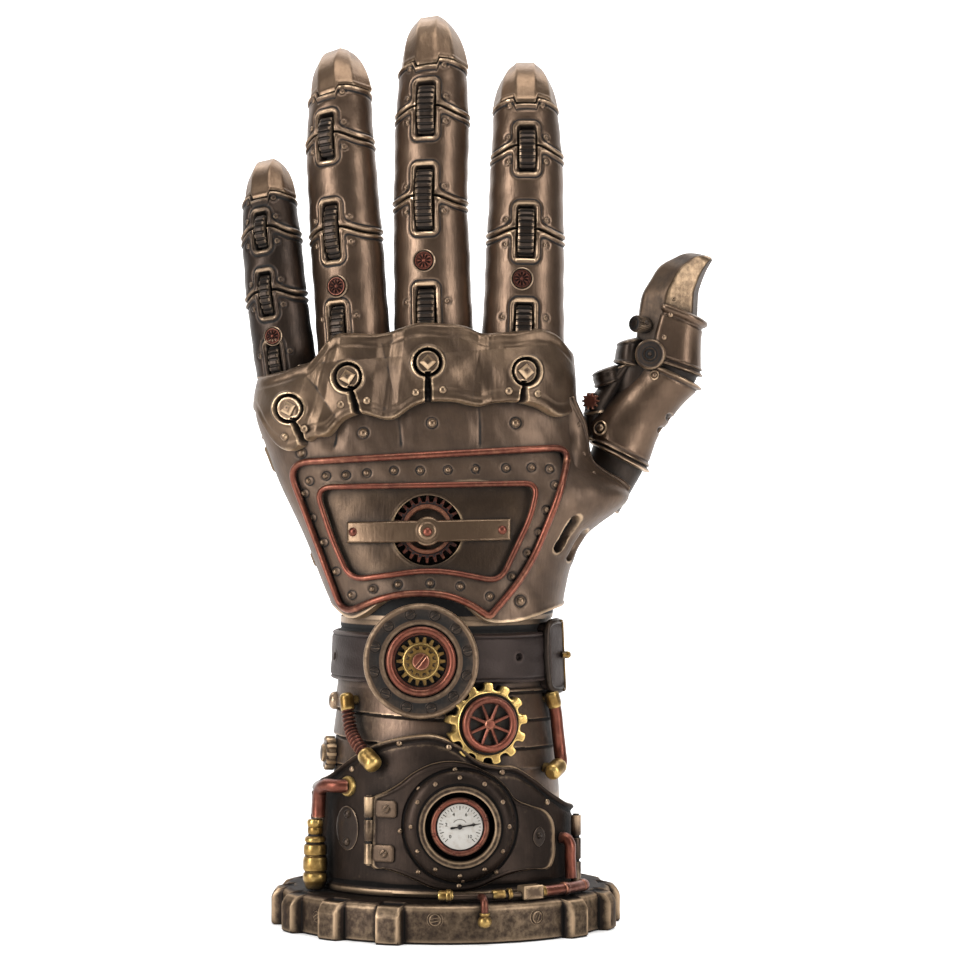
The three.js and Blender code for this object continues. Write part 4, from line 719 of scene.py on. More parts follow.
def makeFoot():
    # radius(turn, s) runs between a bare profile and a toothed one by each tooth's soft-edged mask
    turn = roundTurns(840)
    r, h, b = foot["radius"], foot["height"], foot["bevel"]
    rim = r + foot["toothReach"]
    bare = [(4, 0), (r - 4, 0), (r - 0.6, 0), (r, 0.6), (r, 2.5), (r, 5), (r, h - b - 1.2), (r, h - b),
            (r - 0.25 * b, h - 0.5 * b), (r - b, h - 0.08 * b), (r - 1.3 * b, h), (r - 2.4 * b, h),
            (r - 3 * b, h), (34, h), (20, h), (4, h)]
    tooth = [(4, 0), (r - 4, 0), (rim - 0.5, 0), (rim, 0.5), (rim, 2.5), (rim, 5), (rim, h - 2.3 * b),
             (rim - 0.15, h - 1.9 * b), (rim - 0.5 * b, h - 1.2 * b), (rim - 1.1 * b, h - 0.5 * b),
             (rim - 1.5 * b, h - 0.4 * b), (r - 1.9 * b, h - 0.38 * b), (r - 2.3 * b, h), (34, h), (20, h), (4, h)]
    stops = np.concatenate([np.linspace(i, i + 1, n, endpoint=False) for i, n in enumerate(foot["rowSteps"])] + [[15]])
    bare, tooth = [np.stack([np.interp(stops, range(16), column) for column in np.array(rows, float).T], 1)
                   for rows in (bare, tooth)]
    centres = np.radians([i * 360 / foot["places"] + foot["turn"]
                          for i in range(foot["barePlaces"], foot["places"])])
    away = (turn[:, None] - centres + np.pi) % (2 * np.pi) - np.pi
    arc = np.abs(away).min(1) * r
    mask = 1 - smoothStep(arc, foot["toothWidth"] / 2 - foot["softness"], foot["toothWidth"] / 2 + foot["softness"])
    mix = bare[:, None] + (tooth - bare)[:, None] * mask[None, :, None]
    wave = 0.06 * np.sin(turn * 37) * np.sin(turn * 11)
    radius = mix[..., 0] + wave * (mix[..., 0] > r - 1)
    grid = np.stack((radius * np.sin(turn), -radius * np.cos(turn), mix[..., 1]), 2)
    shells = [sleeveShell(grid)]
    wall = smoothStep(radius, r - 1.4, r - 0.6)
    x, z = viewPoint(foot["screwPixels"], -40.0)
    y = -np.sqrt(foot["radius"] ** 2 - x**2)
    x, z = viewPoint(foot["screwPixels"], y)
    normals = np.stack((x, -np.sqrt(foot["radius"] ** 2 - x**2), 0 * x), 1)
    places = unit(normals) * (foot["radius"] - 0.15) + np.stack((0 * x, 0 * x, z), 1)
    collar = turnedShell([(2.0, -0.3), (2.0, 0.08), (1.85, 0.2), (1.65, 0.08), (1.65, -0.2)], 24)
    shells += stampedAll(collar, places, normals)
    shells += stampedAll(slottedForm(foot["screwRadius"], 0.5), places, normals, [0.5, 0.2, 1.2])
    extra = np.zeros(sum(len(shell[0]) for shell in shells))
    extra[:wall.size] = foot["wallRub"] * wall.ravel()
    addPiece("footPlate", "cuffBronze", shells, ["foot_gear"], rounds=10, extra=extra)


makeFoot()
print("foot made")

# Cuff
cuff = {
    "foot": 10.3, "top": 79.6, "footRadius": 30.5, "topRadius": 27.3, "depthRatio": 0.93,
    "lamePitch": 7.1, "lameFoot": 41.0, "lameHead": 62.2, "lameProud": 0.75,
}


def cuffRadius(z):
    share = (np.asarray(z, float) - cuff["foot"]) / (79.3 - cuff["foot"])
    return cuff["footRadius"] + (cuff["topRadius"] - cuff["footRadius"]) * share


def onCuff(turn, z, out):
    # ellipse about the axis, out mm off the drum's face
    turn, z = np.asarray(turn, float), np.asarray(z, float)
    radius = cuffRadius(z)
    x = (radius + out) * np.sin(turn)
    y = -(radius * cuff["depthRatio"] + out) * np.cos(turn)
    return np.stack(np.broadcast_arrays(x, y, z), -1)


def cuffNormal(turn):
    turn = np.asarray(turn, float)
    return unit(np.stack((np.sin(turn), -np.cos(turn) / cuff["depthRatio"], 0.045 + 0 * turn), -1))


def cuffTurn(x, z, out):
    return np.arcsin(np.clip(x / (cuffRadius(z) + out), -0.9995, 0.9995))


def cuffAt(pixels, out):
    # where the line of sight through a pixel meets the cuff's face
    depth = np.full(len(pixels), -30.0)
    for _ in range(6):
        x, z = viewPoint(pixels, depth)
        turn = cuffTurn(x, z, out)
        depth = onCuff(turn, z, out)[..., 1]
    return turn, z


def cuffFront(x, z, out):
    return onCuff(cuffTurn(x, z, out), z, out)[..., 1]


def onCuffAt(pixels, out):
    turn, z = cuffAt(pixels, out)
    return onCuff(turn, z, out), cuffNormal(turn)


def makeDrum():
    # upright rows; lames stand out at their lower edge and pass under the next one, a groove at each seam
    turn = roundTurns(380)
    z = np.concatenate(([cuff["foot"]], np.linspace(30, cuff["lameFoot"], 8), np.linspace(
        cuff["lameFoot"], cuff["lameHead"], 130)[1:], np.linspace(62.6, cuff["top"], 30)))
    turnGrid, zGrid = np.meshgrid(turn, z)
    lean = 1.3 * np.sin(turnGrid * 1.0 + 0.4)
    share = (zGrid + lean - cuff["lameFoot"]) / cuff["lamePitch"]
    step = share - np.floor(share)
    band = smoothStep(zGrid, cuff["lameFoot"], cuff["lameFoot"] + 1) * fallStep(
        zGrid, cuff["lameHead"] - 0.6, cuff["lameHead"])
    out = band * (cuff["lameProud"] * (1 - step) ** 0.8 - 0.45 * bump(step - 0.97, 0.1) - 0.2)
    out -= 0.3 * bump(zGrid - 76.8, 0.35)
    grid = onCuff(turnGrid, zGrid, out)
    # painted shade: the top of the drum, under the foot edge of the hand plates, is darkened through the point
    # attribute; elsewhere it is raised slightly
    extra = np.append(0.06 - 0.4 * smoothStep(zGrid, 75.6, 76.6).ravel(), (0, 0))
    addPiece("cuffDrum", "drumBronze", [sleeveShell(grid)], ["cuff_drum"], rounds=8, extra=extra)


apron = {
    "face": 3.1, "height": 40.6, "backUp": 0.62,
    "turns": [-90, -62, -44, -30, -16, -4, 6, 14, 24, 32, 42, 54, 68, 90],
    "ups": [0.66, 0.74, 0.87, 0.95, 0.995, 1.0, 0.94, 0.85, 0.81, 0.8, 0.73, 0.63, 0.55, 0.5],
    "rivetPixels": [(399, 743), (449, 747), (502, 772), (547, 802), (352, 769), (350, 780), (378, 760)],
}


def apronTop(turn):
    degrees = (np.degrees(turn) + 180) % 360 - 180
    knots = [-180] + apron["turns"] + [180]
    ups = [apron["backUp"]] + apron["ups"] + [apron["backUp"]]
    return cuff["foot"] + apron["height"] * curveThrough(degrees, knots, ups)


def makeApron():
    # a closed section (bottom, face, bead, back) carried round the drum, its top on the wavy edge
    turn = roundTurns(560)
    top = apronTop(turn)
    face = apron["face"]
    up = np.concatenate((np.linspace(0, 0.93, 46), np.linspace(0.94, 1, 14)))
    z = cuff["foot"] + (top - cuff["foot"])[None] * up[:, None]
    below = top[None] - z
    swell = 0.55 * bump(below - 0.75, 0.8) - 0.3 * bump(below - 2.0, 0.75)
    footBead = 0.5 * bump(z - cuff["foot"] - 1.1, 1.0) - 0.25 * bump(z - cuff["foot"] - 2.7, 0.7)
    dents = 0.1 * np.sin(turn * 9 + z * 0.35) * np.sin(z * 0.23 + turn * 5)
    out = face + swell + footBead + dents
    out[-1] = face - 0.15
    front = onCuff(turn[None] + 0 * z, z, out)
    back = onCuff(np.stack((turn, turn)), np.stack((top - 0.2, np.full(560, cuff["foot"]))), 0.3)
    addPiece("cuffApron", "cuffBronze", [ringShell(np.concatenate((front, back)))], ["cuff_apron"], rounds=10)
    places, normals = onCuffAt(apron["rivetPixels"], face)
    # the rivets take a lighter finish than the apron: partly worn tops, partly a painted highlight
    addPiece("apronRivets", "lightBronze", stampedAll(domeForm(0.8, 0.6), places, normals))


makeDrum()
makeApron()

door = {
    "across": 3.8, "height": 28.3, "bore": 8.7, "lip": 10.4, "flange": 14.2, "face": 4.9, "lipProud": 3.2,
    "outline": [
        (372.5, 798), (384, 792.5), (398, 784.5), (414, 772.5), (434, 763.5), (454, 761.5), (473, 765.5),
        (491, 776.5), (506, 791), (518, 801), (532, 806.5), (545, 811), (552.5, 820), (555, 840), (554.5, 858),
        (551, 867), (532, 870), (514, 873.5), (496, 880.5), (477, 889), (454, 892), (432, 888.5), (415, 881),
        (397, 873.5), (384, 869.5), (372.5, 868.5), (371.5, 850), (371.5, 815)],
    "flareRivets": 12, "flareRing": 12.3, "rivets": [(400, 831), (419, 789), (461, 783), (418, 872), (463, 880),
               (496, 872), (497, 786), (455, 770), (459, 886)],
}


def makeDoor():
    # P(t, s) goes from the bore's wall over the lip, down a flare and along the leaf to its outline
    turn, z = cuffAt(door["outline"], door["face"])
    flat = onCuff(turn, z, door["face"])
    outline = smoothPath(flat[:, [0, 2]], 420, closed=True) - (door["across"], door["height"])
    angle = np.arctan2(outline[:, 1], outline[:, 0])
    way = np.stack((np.cos(angle), np.sin(angle)), 1)
    edge = np.linalg.norm(outline, axis=1)
    lipFront = cuffFront(np.array(door["across"]), np.array(door["height"]), door["face"]) - door["lipProud"]
    radii = np.concatenate((np.full(3, door["bore"]), np.linspace(8.85, 10.25, 6), np.linspace(10.4, 14.6, 22)))
    reach = np.linspace(0, 1, 34)[1:]
    inner = np.broadcast_to(radii[:, None], (len(radii), len(angle)))
    outer = radii[-1] + (np.maximum(edge, 14.9)[None] - radii[-1]) * reach[:, None]
    rho = np.concatenate((inner, outer))
    x = door["across"] + rho * way[:, 0]
    zed = door["height"] + rho * way[:, 1]
    leaf = cuffFront(x, zed, door["face"] + 0 * x)
    toEdge = np.where(np.arange(len(rho))[:, None] < len(radii), 9.0, np.maximum(edge, 14.9)[None] - rho)
    leaf = leaf + 0.9 * smoothStep(-toEdge, -0.55, 0.1) - 0.22 * bump(toEdge - 0.9, 0.7)
    dome = np.clip((rho - door["lip"]) / (door["flange"] - door["lip"]), 0, 1)
    flare = lipFront + 1.3 + (leaf - lipFront - 1.3) * (1 - np.sqrt(np.clip(1 - dome**2.2, 0, 1)))
    flare = flare + 0.35 * bump(rho - door["flange"] - 0.1, 0.5)
    y = np.where(rho < door["lip"] - 0.05, lipFront - 0.25 * bump(rho - 9.55, 1.2), flare)
    y[0] = cuffFront(np.array(12.5), np.array(door["height"]), apron["face"]) - 0.3
    y[1] = lipFront + 1.2
    y[2] = lipFront + 0.25
    y[len(radii) - 22] = lipFront + 0.9
    front = np.stack((x, y, zed), 2)
    backY = cuffFront(x[-1], zed[-1], apron["face"] + 0.3 + 0 * x[-1])
    back = np.stack((x[-1], backY, zed[-1]), 1)
    shells = [ringShell(np.concatenate((front, back[None])))]
    places, normals = onCuffAt(door["rivets"], door["face"])
    away = np.hypot(places[:, 0] - door["across"], places[:, 2] - door["height"])
    near = away < door["flange"]
    places[near] -= np.stack((0 * away, np.interp(away, [11, 12.5, 14.2], [1.6, 0.9, 0]), 0 * away), 1)[near]
    rivets = stampedAll(domeForm(0.66, 0.52), places, normals)
    for a in roundTurns(door["flareRivets"]):
        c, s = math.cos(a), math.sin(a)
        x, zed = door["across"] + door["flareRing"] * c, door["height"] + door["flareRing"] * s
        leafDepth = float(cuffFront(np.array(x), np.array(zed), door["face"]))
        depth = lipFront + 1.3 + (leafDepth - lipFront - 1.3) * 0.13
        rivets.append(stamped(domeForm(0.62, 0.5), np.array((x, depth, zed)), np.array((0.4 * c, -0.9, 0.4 * s))))
    addPiece("portholeDoor", "cuffBronze", shells, ["porthole_door"], rounds=10)
    # the rivets take a lighter finish than the door: partly worn tops, partly a painted highlight
    addPiece("doorRivets", "lightBronze", rivets)
    return lipFront


lipFront = makeDoor()
print("cuff, apron and door made")


def cuffFace(x, z, out):
    return onCuff(cuffTurn(x, z, out), z, out)


def plateShell(face, outline, low, high, inset=0.35, rings=7):
    # a star-shaped outline laid on a face: rings from its middle out, a rounded edge, then down to low
    outline = np.asarray(outline, float)
    middle = outline.mean(0)
    size = np.linalg.norm(outline - middle, axis=1).mean()
    top = np.concatenate((np.linspace(0.03, 1 - 2.2 * inset / size, rings),
                          [1 - inset / size, 1 - 0.3 * inset / size, 1]))
    height = np.concatenate((np.full(rings, high), [high - 0.08 * inset, high - 0.35 * inset, high - inset]))
    share = np.concatenate((top, [1.0, 0.03]))
    out = np.concatenate((height, [low, low]))
    spread = middle + (outline - middle)[None] * share[:, None, None]
    return sleeveShell(face(spread[..., 0], spread[..., 1], out[:, None] + 0 * spread[..., 0]))


def roundedBox(x, z, halfWide, halfHigh, corner, turn=0.0, count=10):
    # corner points of a rounded rectangle, anticlockwise
    parts = []
    for k, (sx, sz) in enumerate(((1, 1), (-1, 1), (-1, -1), (1, -1))):
        a = np.linspace(0, np.pi / 2, count) + k * np.pi / 2
        parts.append(np.stack((sx * (halfWide - corner) + corner * np.cos(a),
                               sz * (halfHigh - corner) + corner * np.sin(a)), 1))
    points = np.concatenate(parts)
    c, s = math.cos(turn), math.sin(turn)
    return points @ np.array(((c, s), (-s, c))) + (x, z)


def hoopShell(path, normals, halfWide, halfHigh, sides=12):
    # an oval section carried round a closed path, standing on the normals given with it
    along = unit(np.roll(path, -1, 0) - np.roll(path, 1, 0))
    across = unit(np.cross(along, normals))
    turn = roundTurns(sides)
    grid = (path[:, None] + halfWide * np.cos(turn)[None, :, None] * across[:, None]
            + halfHigh * np.sin(turn)[None, :, None] * normals[:, None])
    return ringShell(grid)


# Gauge
gauge = {
    "place": (3.8, 28.3), "sunk": 0.8, "dial": 5.7, "dialSunk": 0.55, "studs": 6, "studRing": 6.75,
    "firstMark": 225, "lastMark": -45, "marks": 31, "numbers": ["0", "2", "4", "6", "8", "10"],
    "numberSize": 1.25, "needleTurn": 9, "needleLength": 4.7,
}
towardsViewer = np.array((0.0, -1.0, 0.0))


def gaugeSpot(x, z, front):
    # a place on the dial, front mm before its face
    face = lipFront + gauge["sunk"] + gauge["dialSunk"]
    return np.array((gauge["place"][0] + x, face - front, gauge["place"][1] + z))


def letterShell(text, size):
    # a solid number made flat in +X, +Y and 0.08 thick
    curve = bpy.data.curves.new("dialNumber", "FONT")
    curve.body = text
    curve.size = size
    curve.align_x, curve.align_y = "CENTER", "CENTER"
    curve.extrude = 0.04
    curve.resolution_u = 3
    holder = bpy.data.objects.new("dialNumber", curve)
    bpy.context.scene.collection.objects.link(holder)
    bpy.context.view_layer.update()
    mesh = bpy.data.meshes.new_from_object(holder.evaluated_get(bpy.context.evaluated_depsgraph_get()))
    points = np.array([v.co for v in mesh.vertices], float).reshape(-1, 3)
    faces = np.array([list(p.vertices) + [-1] * (4 - len(p.vertices)) for p in mesh.polygons], int)
    bpy.data.objects.remove(holder)
    bpy.data.meshes.remove(mesh)
    bpy.data.curves.remove(curve)
    return points, faces


def makeGauge():
    depth = 6.0
    can = turnedShell([
        (0.4, 0), (7.4, 0), (7.45, 0.2), (7.45, depth - 0.9), (7.36, depth - 0.45), (7.15, depth - 0.15),
        (6.85, depth), (6.5, depth - 0.02), (6.2, depth - 0.15), (6.02, depth - 0.4), (5.92, depth - 0.75),
        (5.9, depth - 1.25), (0.4, depth - 1.25)], 72)
    base = (gauge["place"][0], lipFront + gauge["sunk"] + depth, gauge["place"][1])
    shells = [stamped(can, base, towardsViewer)]
    for a in roundTurns(gauge["studs"], 0.3):
        spot = gaugeSpot(gauge["studRing"] * math.cos(a), gauge["studRing"] * math.sin(a), 0.5)
        shells.append(stamped(domeForm(0.52, 0.34, 14), spot, towardsViewer))
    addPiece("gaugeBezel", "copper", shells, ["gauge_bezel"], rounds=6)
    dial = turnedShell([(0.3, -0.6), (gauge["dial"], -0.6), (gauge["dial"], -0.05), (gauge["dial"] - 0.1, 0),
                        (0.3, 0)], 72)
    addPiece("gaugeDial", "enamel", [stamped(dial, gaugeSpot(0, 0, 0), towardsViewer)], ["gauge_dial"])
    marks = []
    for i, degrees in enumerate(np.linspace(gauge["firstMark"], gauge["lastMark"], gauge["marks"])):
        a = math.radians(degrees)
        long = i % 3 == 0
        half, wide, middle = (0.5, 0.085, 4.75) if long else (0.27, 0.055, 5.0)
        box = outlineShell([(-half, -wide), (half, -wide), (half, wide), (-half, wide)], [(0, 0), (0.05, 0)])
        spot = gaugeSpot(middle * math.cos(a), middle * math.sin(a), 0.0)
        marks.append(stamped(box, spot, towardsViewer, a))
    for text, degrees in zip(gauge["numbers"], np.linspace(gauge["firstMark"], gauge["lastMark"], 6)):
        a = math.radians(degrees)
        spot = gaugeSpot(3.45 * math.cos(a), 3.45 * math.sin(a), 0.02)
        marks.append(stamped(letterShell(text, gauge["numberSize"]), spot, towardsViewer))
    arc = np.radians(np.linspace(35, 145, 24))
    line = np.stack([gaugeSpot(1.9 * math.cos(a), 1.9 * math.sin(a), 0.03) for a in arc])
    marks.append(tubeShell(line, 0.05, 6))
    addPiece("dialMarks", "blackSteel", marks, rounds=1)
    n = gauge["needleLength"]
    blade = outlineShell([(-0.52 * n, -0.12), (-0.45 * n, -0.3), (-0.3 * n, -0.12), (0, -0.2), (0.55 * n, -0.12),
                          (0.7 * n, -0.26), (n, 0), (0.7 * n, 0.26), (0.55 * n, 0.12), (0, 0.2), (-0.3 * n, 0.12),
                          (-0.45 * n, 0.3), (-0.52 * n, 0.12)], [(0, 0), (0.14, 0), (0.18, 0.03)])
    hub = turnedShell([(0.1, 0), (0.62, 0), (0.62, 0.3), (0.45, 0.42), (0.1, 0.45)], 24)
    turn = math.radians(gauge["needleTurn"])
    addPiece("gaugeNeedle", "blackSteel", [stamped(blade, gaugeSpot(0, 0, 0.16), towardsViewer, turn),
                                           stamped(hub, gaugeSpot(0, 0, 0.1), towardsViewer)], ["gauge_needle"])


makeGauge()
print("gauge made")

# Hinge, side barrel and small plates on the apron
hinge = {
    "radius": 1.3, "height": 17.6, "out": 4.4, "x": -19.1, "z": 26.7, "sideTurn": 72.0, "sideHeight": 17.8,
    "leafPixels": [(387, 809), (384.5, 853.5)], "leafHalf": (2.75, 2.15),
    "ovalPixel": (347.3, 828), "ovalRivets": [(347.7, 814), (346.8, 842)], "lensPixel": (539, 835.5),
}


def barrelShell(height, radius):
    # three knuckles on one pin, with rounded ends and grooves between
    cuts = [0.31, 0.35, 0.65, 0.69]
    rows = [(0.1, 0), (radius * 0.6, 0), (radius * 0.62, 0.35), (radius, 0.4)]
    for i, share in enumerate(cuts):
        z = share * height
        if i % 2 == 0:
            rows += [(radius, z - 0.18), (radius * 0.93, z - 0.03), (radius * 0.7, z)]
        else:
            rows += [(radius * 0.7, z), (radius * 0.93, z + 0.03), (radius, z + 0.18)]
    rows += [(radius, height - 0.4), (radius * 0.62, height - 0.35), (radius * 0.6, height), (0.1, height)]
    return turnedShell(rows, 24)


def makeHinge():
    place = cuffFace(hinge["x"], hinge["z"], hinge["out"] + 0.35)
    points, faces = barrelShell(hinge["height"], hinge["radius"])
    shells = [(points + place - (0, 0, hinge["height"] / 2), faces)]
    turn, z = cuffAt(hinge["leafPixels"], door["face"])
    spots = onCuff(turn, z, door["face"])
    for spot, normal in zip(spots, cuffNormal(turn)):
        leaf = roundedBox(spot[0] - 0.3, spot[2], *hinge["leafHalf"], 0.9)
        shells.append(plateShell(cuffFace, leaf, door["face"] - 1, door["face"] + 0.55, 0.25, 4))
        screw = slottedForm(1.05, 0.55)
        shells.append(stamped(screw, spot + normal * 0.5, normal, 0.7))
    addPiece("doorHinge", "darkerLightBronze", shells, ["door_hinge"], rounds=3, extra=-0.03)
    base = onCuff(math.radians(hinge["sideTurn"]), 10.3, apron["face"] + 0.3 + 1.3)
    points, faces = barrelShell(hinge["sideHeight"], 1.3)
    addPiece("sideBarrel", "darkerBronze", [(points + (base[0], base[1], 11.3), faces)], ["side_barrel"], rounds=3,
             extra=-0.04)


def makeApronFittings():
    turn, z = cuffAt([hinge["ovalPixel"], hinge["lensPixel"]], apron["face"])
    oval, lens = onCuff(turn, z, apron["face"])
    ringTurn = roundTurns(40)
    shape = np.stack((oval[0] + 2.9 * np.cos(ringTurn), oval[2] + 5.6 * np.sin(ringTurn)), 1)
    shells = [plateShell(cuffFace, shape, apron["face"] - 1, apron["face"] + 0.4, 0.3, 5)]
    places, normals = onCuffAt(hinge["ovalRivets"], apron["face"] + 0.35)
    shells += stampedAll(domeForm(1.15, 0.85, 20), places, normals)
    lensWide = 1.55 * np.cos(ringTurn) * np.abs(np.cos(ringTurn)) ** 0.3
    shape = np.stack((lens[0] + lensWide, lens[2] + 2.5 * np.sin(ringTurn)), 1)
    shells.append(plateShell(cuffFace, shape, door["face"] - 1, door["face"] + 0.3, 0.22, 4))
    places, normals = onCuffAt([hinge["lensPixel"]], door["face"] + 0.25)
    shells += stampedAll(domeForm(0.85, 0.8, 18), places, normals)
    # side plate at the cuff's left, its edge rolled, with a column of rivets
    turns = np.radians(np.linspace(-118, -74, 60))
    zed = np.linspace(13.5, 36.5, 60)
    t, h = np.meshgrid(turns, zed)
    edge = np.minimum(np.minimum(np.abs(t - turns[0]), np.abs(t - turns[-1])) * 33, np.minimum(h - 13.5, 36.5 - h))
    out = apron["face"] + 2.3 * np.sqrt(np.clip(1 - edgeFall(edge, 1.4), 0, 1)) - 0.35 * bump(edge - 2.2, 0.6)
    shells.append(slabShell(onCuff(t, h, out), onCuff(t, h, apron["face"] - 1 + 0 * h)))
    for zRivet in (16.5, 22, 28, 34):
        for tRivet in (-80, -111):
            spot = onCuff(math.radians(tRivet), zRivet, apron["face"] + 2.2)
            shells.append(stamped(domeForm(0.7, 0.5), spot, cuffNormal(math.radians(tRivet))))
    knob = onCuff(math.radians(-84), 57.6, 0.2)
    shells.append(stamped(turnedShell([(2.3, -1), (2.3, 0.8), (1.9, 1.5), (1.1, 1.9), (0.2, 2.0)], 24), knob,
                          cuffNormal(math.radians(-84))))
    addPiece("apronFittings", "darkerBronze", shells, rounds=4, extra=-0.02)
    gear = outlineShell(toothedOutline(4.4, 3.5, 12, 0.32), [(-1.2, 0), (1.0, 0), (1.25, 0.2)])
    spot = onCuff(math.radians(-80), 44.2, 1.6)
    hub = turnedShell([(0.2, 0), (2.3, 0), (2.3, 1.9), (1.9, 2.2), (0.2, 2.3)], 24)
    normal = cuffNormal(math.radians(-80))
    addPiece("flankGear", "darkerLightBronze", [stamped(gear, spot, normal), stamped(hub, spot, normal)], rounds=3, extra=-0.08)


makeHinge()
makeApronFittings()
print("hinge and apron fittings made")

# Strap, buckle and instrument disc
strap = {
    "bottom": 63.4, "width": 12.6, "face": 1.9, "edge": 1.1, "holes": [(519, 657), (549.6, 658), (335.5, 656)],
    "buckleTurn": 68.0, "buckleHalf": (4.0, 8.7), "buckleBar": 0.85,
}


def makeStrap():
    # a closed rounded band round the drum, tooled lines near both edges, punched holes
    turn = roundTurns(640)
    share = np.linspace(0, 1, 44)
    z = strap["bottom"] + strap["width"] * share
    edge = np.minimum(share, 1 - share) * strap["width"]
    section = strap["face"] - 0.9 * edgeFall(edge, 0.6)
    section = section - 0.28 * bump(edge - strap["edge"], 0.42) + 0.12 * bump(edge - 3.5, 3.5)
    t, h = np.meshgrid(turn, z)
    out = section[:, None] + 0.07 * np.sin(t * 13 + h * 0.5) * np.sin(h * 0.9 - t * 4)
    holeTurn, holeZ = cuffAt(strap["holes"], strap["face"])
    for tHole, zHole in zip(holeTurn, holeZ):
        apart = np.hypot(((t - tHole + np.pi) % (2 * np.pi) - np.pi) * 28, h - zHole)
        out = out - 1.1 * fallStep(apart, 0.65, 1.05) + 0.12 * bump(apart - 1.3, 0.5)
    back = onCuff(np.stack((turn, turn)), np.stack((np.full(640, z[-1] - 0.2), np.full(640, z[0] + 0.2))), 0.3)
    addPiece("wristStrap", "leather", [ringShell(np.concatenate((onCuff(t, h, out), back)))], ["wrist_strap"],
             rounds=10)


def makeBuckle():
    angle = math.radians(strap["buckleTurn"])
    middle = strap["bottom"] + strap["width"] / 2
    seat = onCuff(angle, middle, strap["face"] + 1.2)
    normal = cuffNormal(angle)
    across, over, out = axesOn(normal)
    outline = smoothPath(roundedBox(0, 0, *strap["buckleHalf"], 2.2, count=6), 120, closed=True)
    bow = -0.055 * outline[:, 0] ** 2
    path = seat + outline[:, :1] * across + outline[:, 1:] * over + bow[:, None] * out
    normals = np.broadcast_to(out, path.shape)
    frameShell = hoopShell(path, normals, strap["buckleBar"], 0.95, 14)
    addPiece("strapBuckle", "darkBronze", [frameShell], ["strap_buckle"], rounds=4, extra=-0.06)
    halfWide, halfHigh = strap["buckleHalf"]
    keeper = outlineShell(roundedBox(0, 0, halfWide + 0.3, halfHigh + 0.2, 2.2),
                          [(-4.2, 0.5), (0.1, 0), (0.5, 0.3), (0.6, 0.8)])
    addPiece("buckleKeeper", "leather", [stamped(keeper, seat - out * 0.5, out)], rounds=2)
    tongueEnds = [seat + across * s + out * h for s, h in ((1.6, 0.7), (2.6, 1.3), (3.6, 1.2), (4.7, 0.3))]
    tongue = tubeShell(smoothPath(tongueEnds, 30), 0.62, 12)
    knob = stamped(turnedShell([(0.9, -0.8), (0.95, 0.6), (0.7, 1.2), (0.2, 1.35)], 18), seat + across * 3.4 + out, out)
    side = [(1.2, 8.9), (3.0, 8.6), (4.4, 7.0), (4.6, 3.0), (4.6, -3.0), (4.4, -7.0), (3.0, -8.6), (1.2, -8.9)]
    sidePath = smoothPath([seat + across * s + over * h + out * (1.05 - 0.055 * s * s) for s, h in side], 90)
    edging = tubeShell(sidePath, 0.4, 10)
    addPiece("buckleTongue", "brass", [tongue, knob, edging], rounds=4)


disc = {
    "x": -6.0, "z": 69.4, "radius": 14.5, "thick": 2.4, "screws": 12, "screwRing": 12.0, "screwRadius": 1.15,
    "ring": 7.9, "innerRing": 6.85, "ringBar": 0.95, "gear": 6.2, "gearTeeth": 18, "pinion": 3.9, "pinionTeeth": 12,
    "hub": 2.1,
}
discBack = -28.25


def discSpot(x, z, front):
    return np.array((disc["x"] + x, discBack - front, disc["z"] + z))


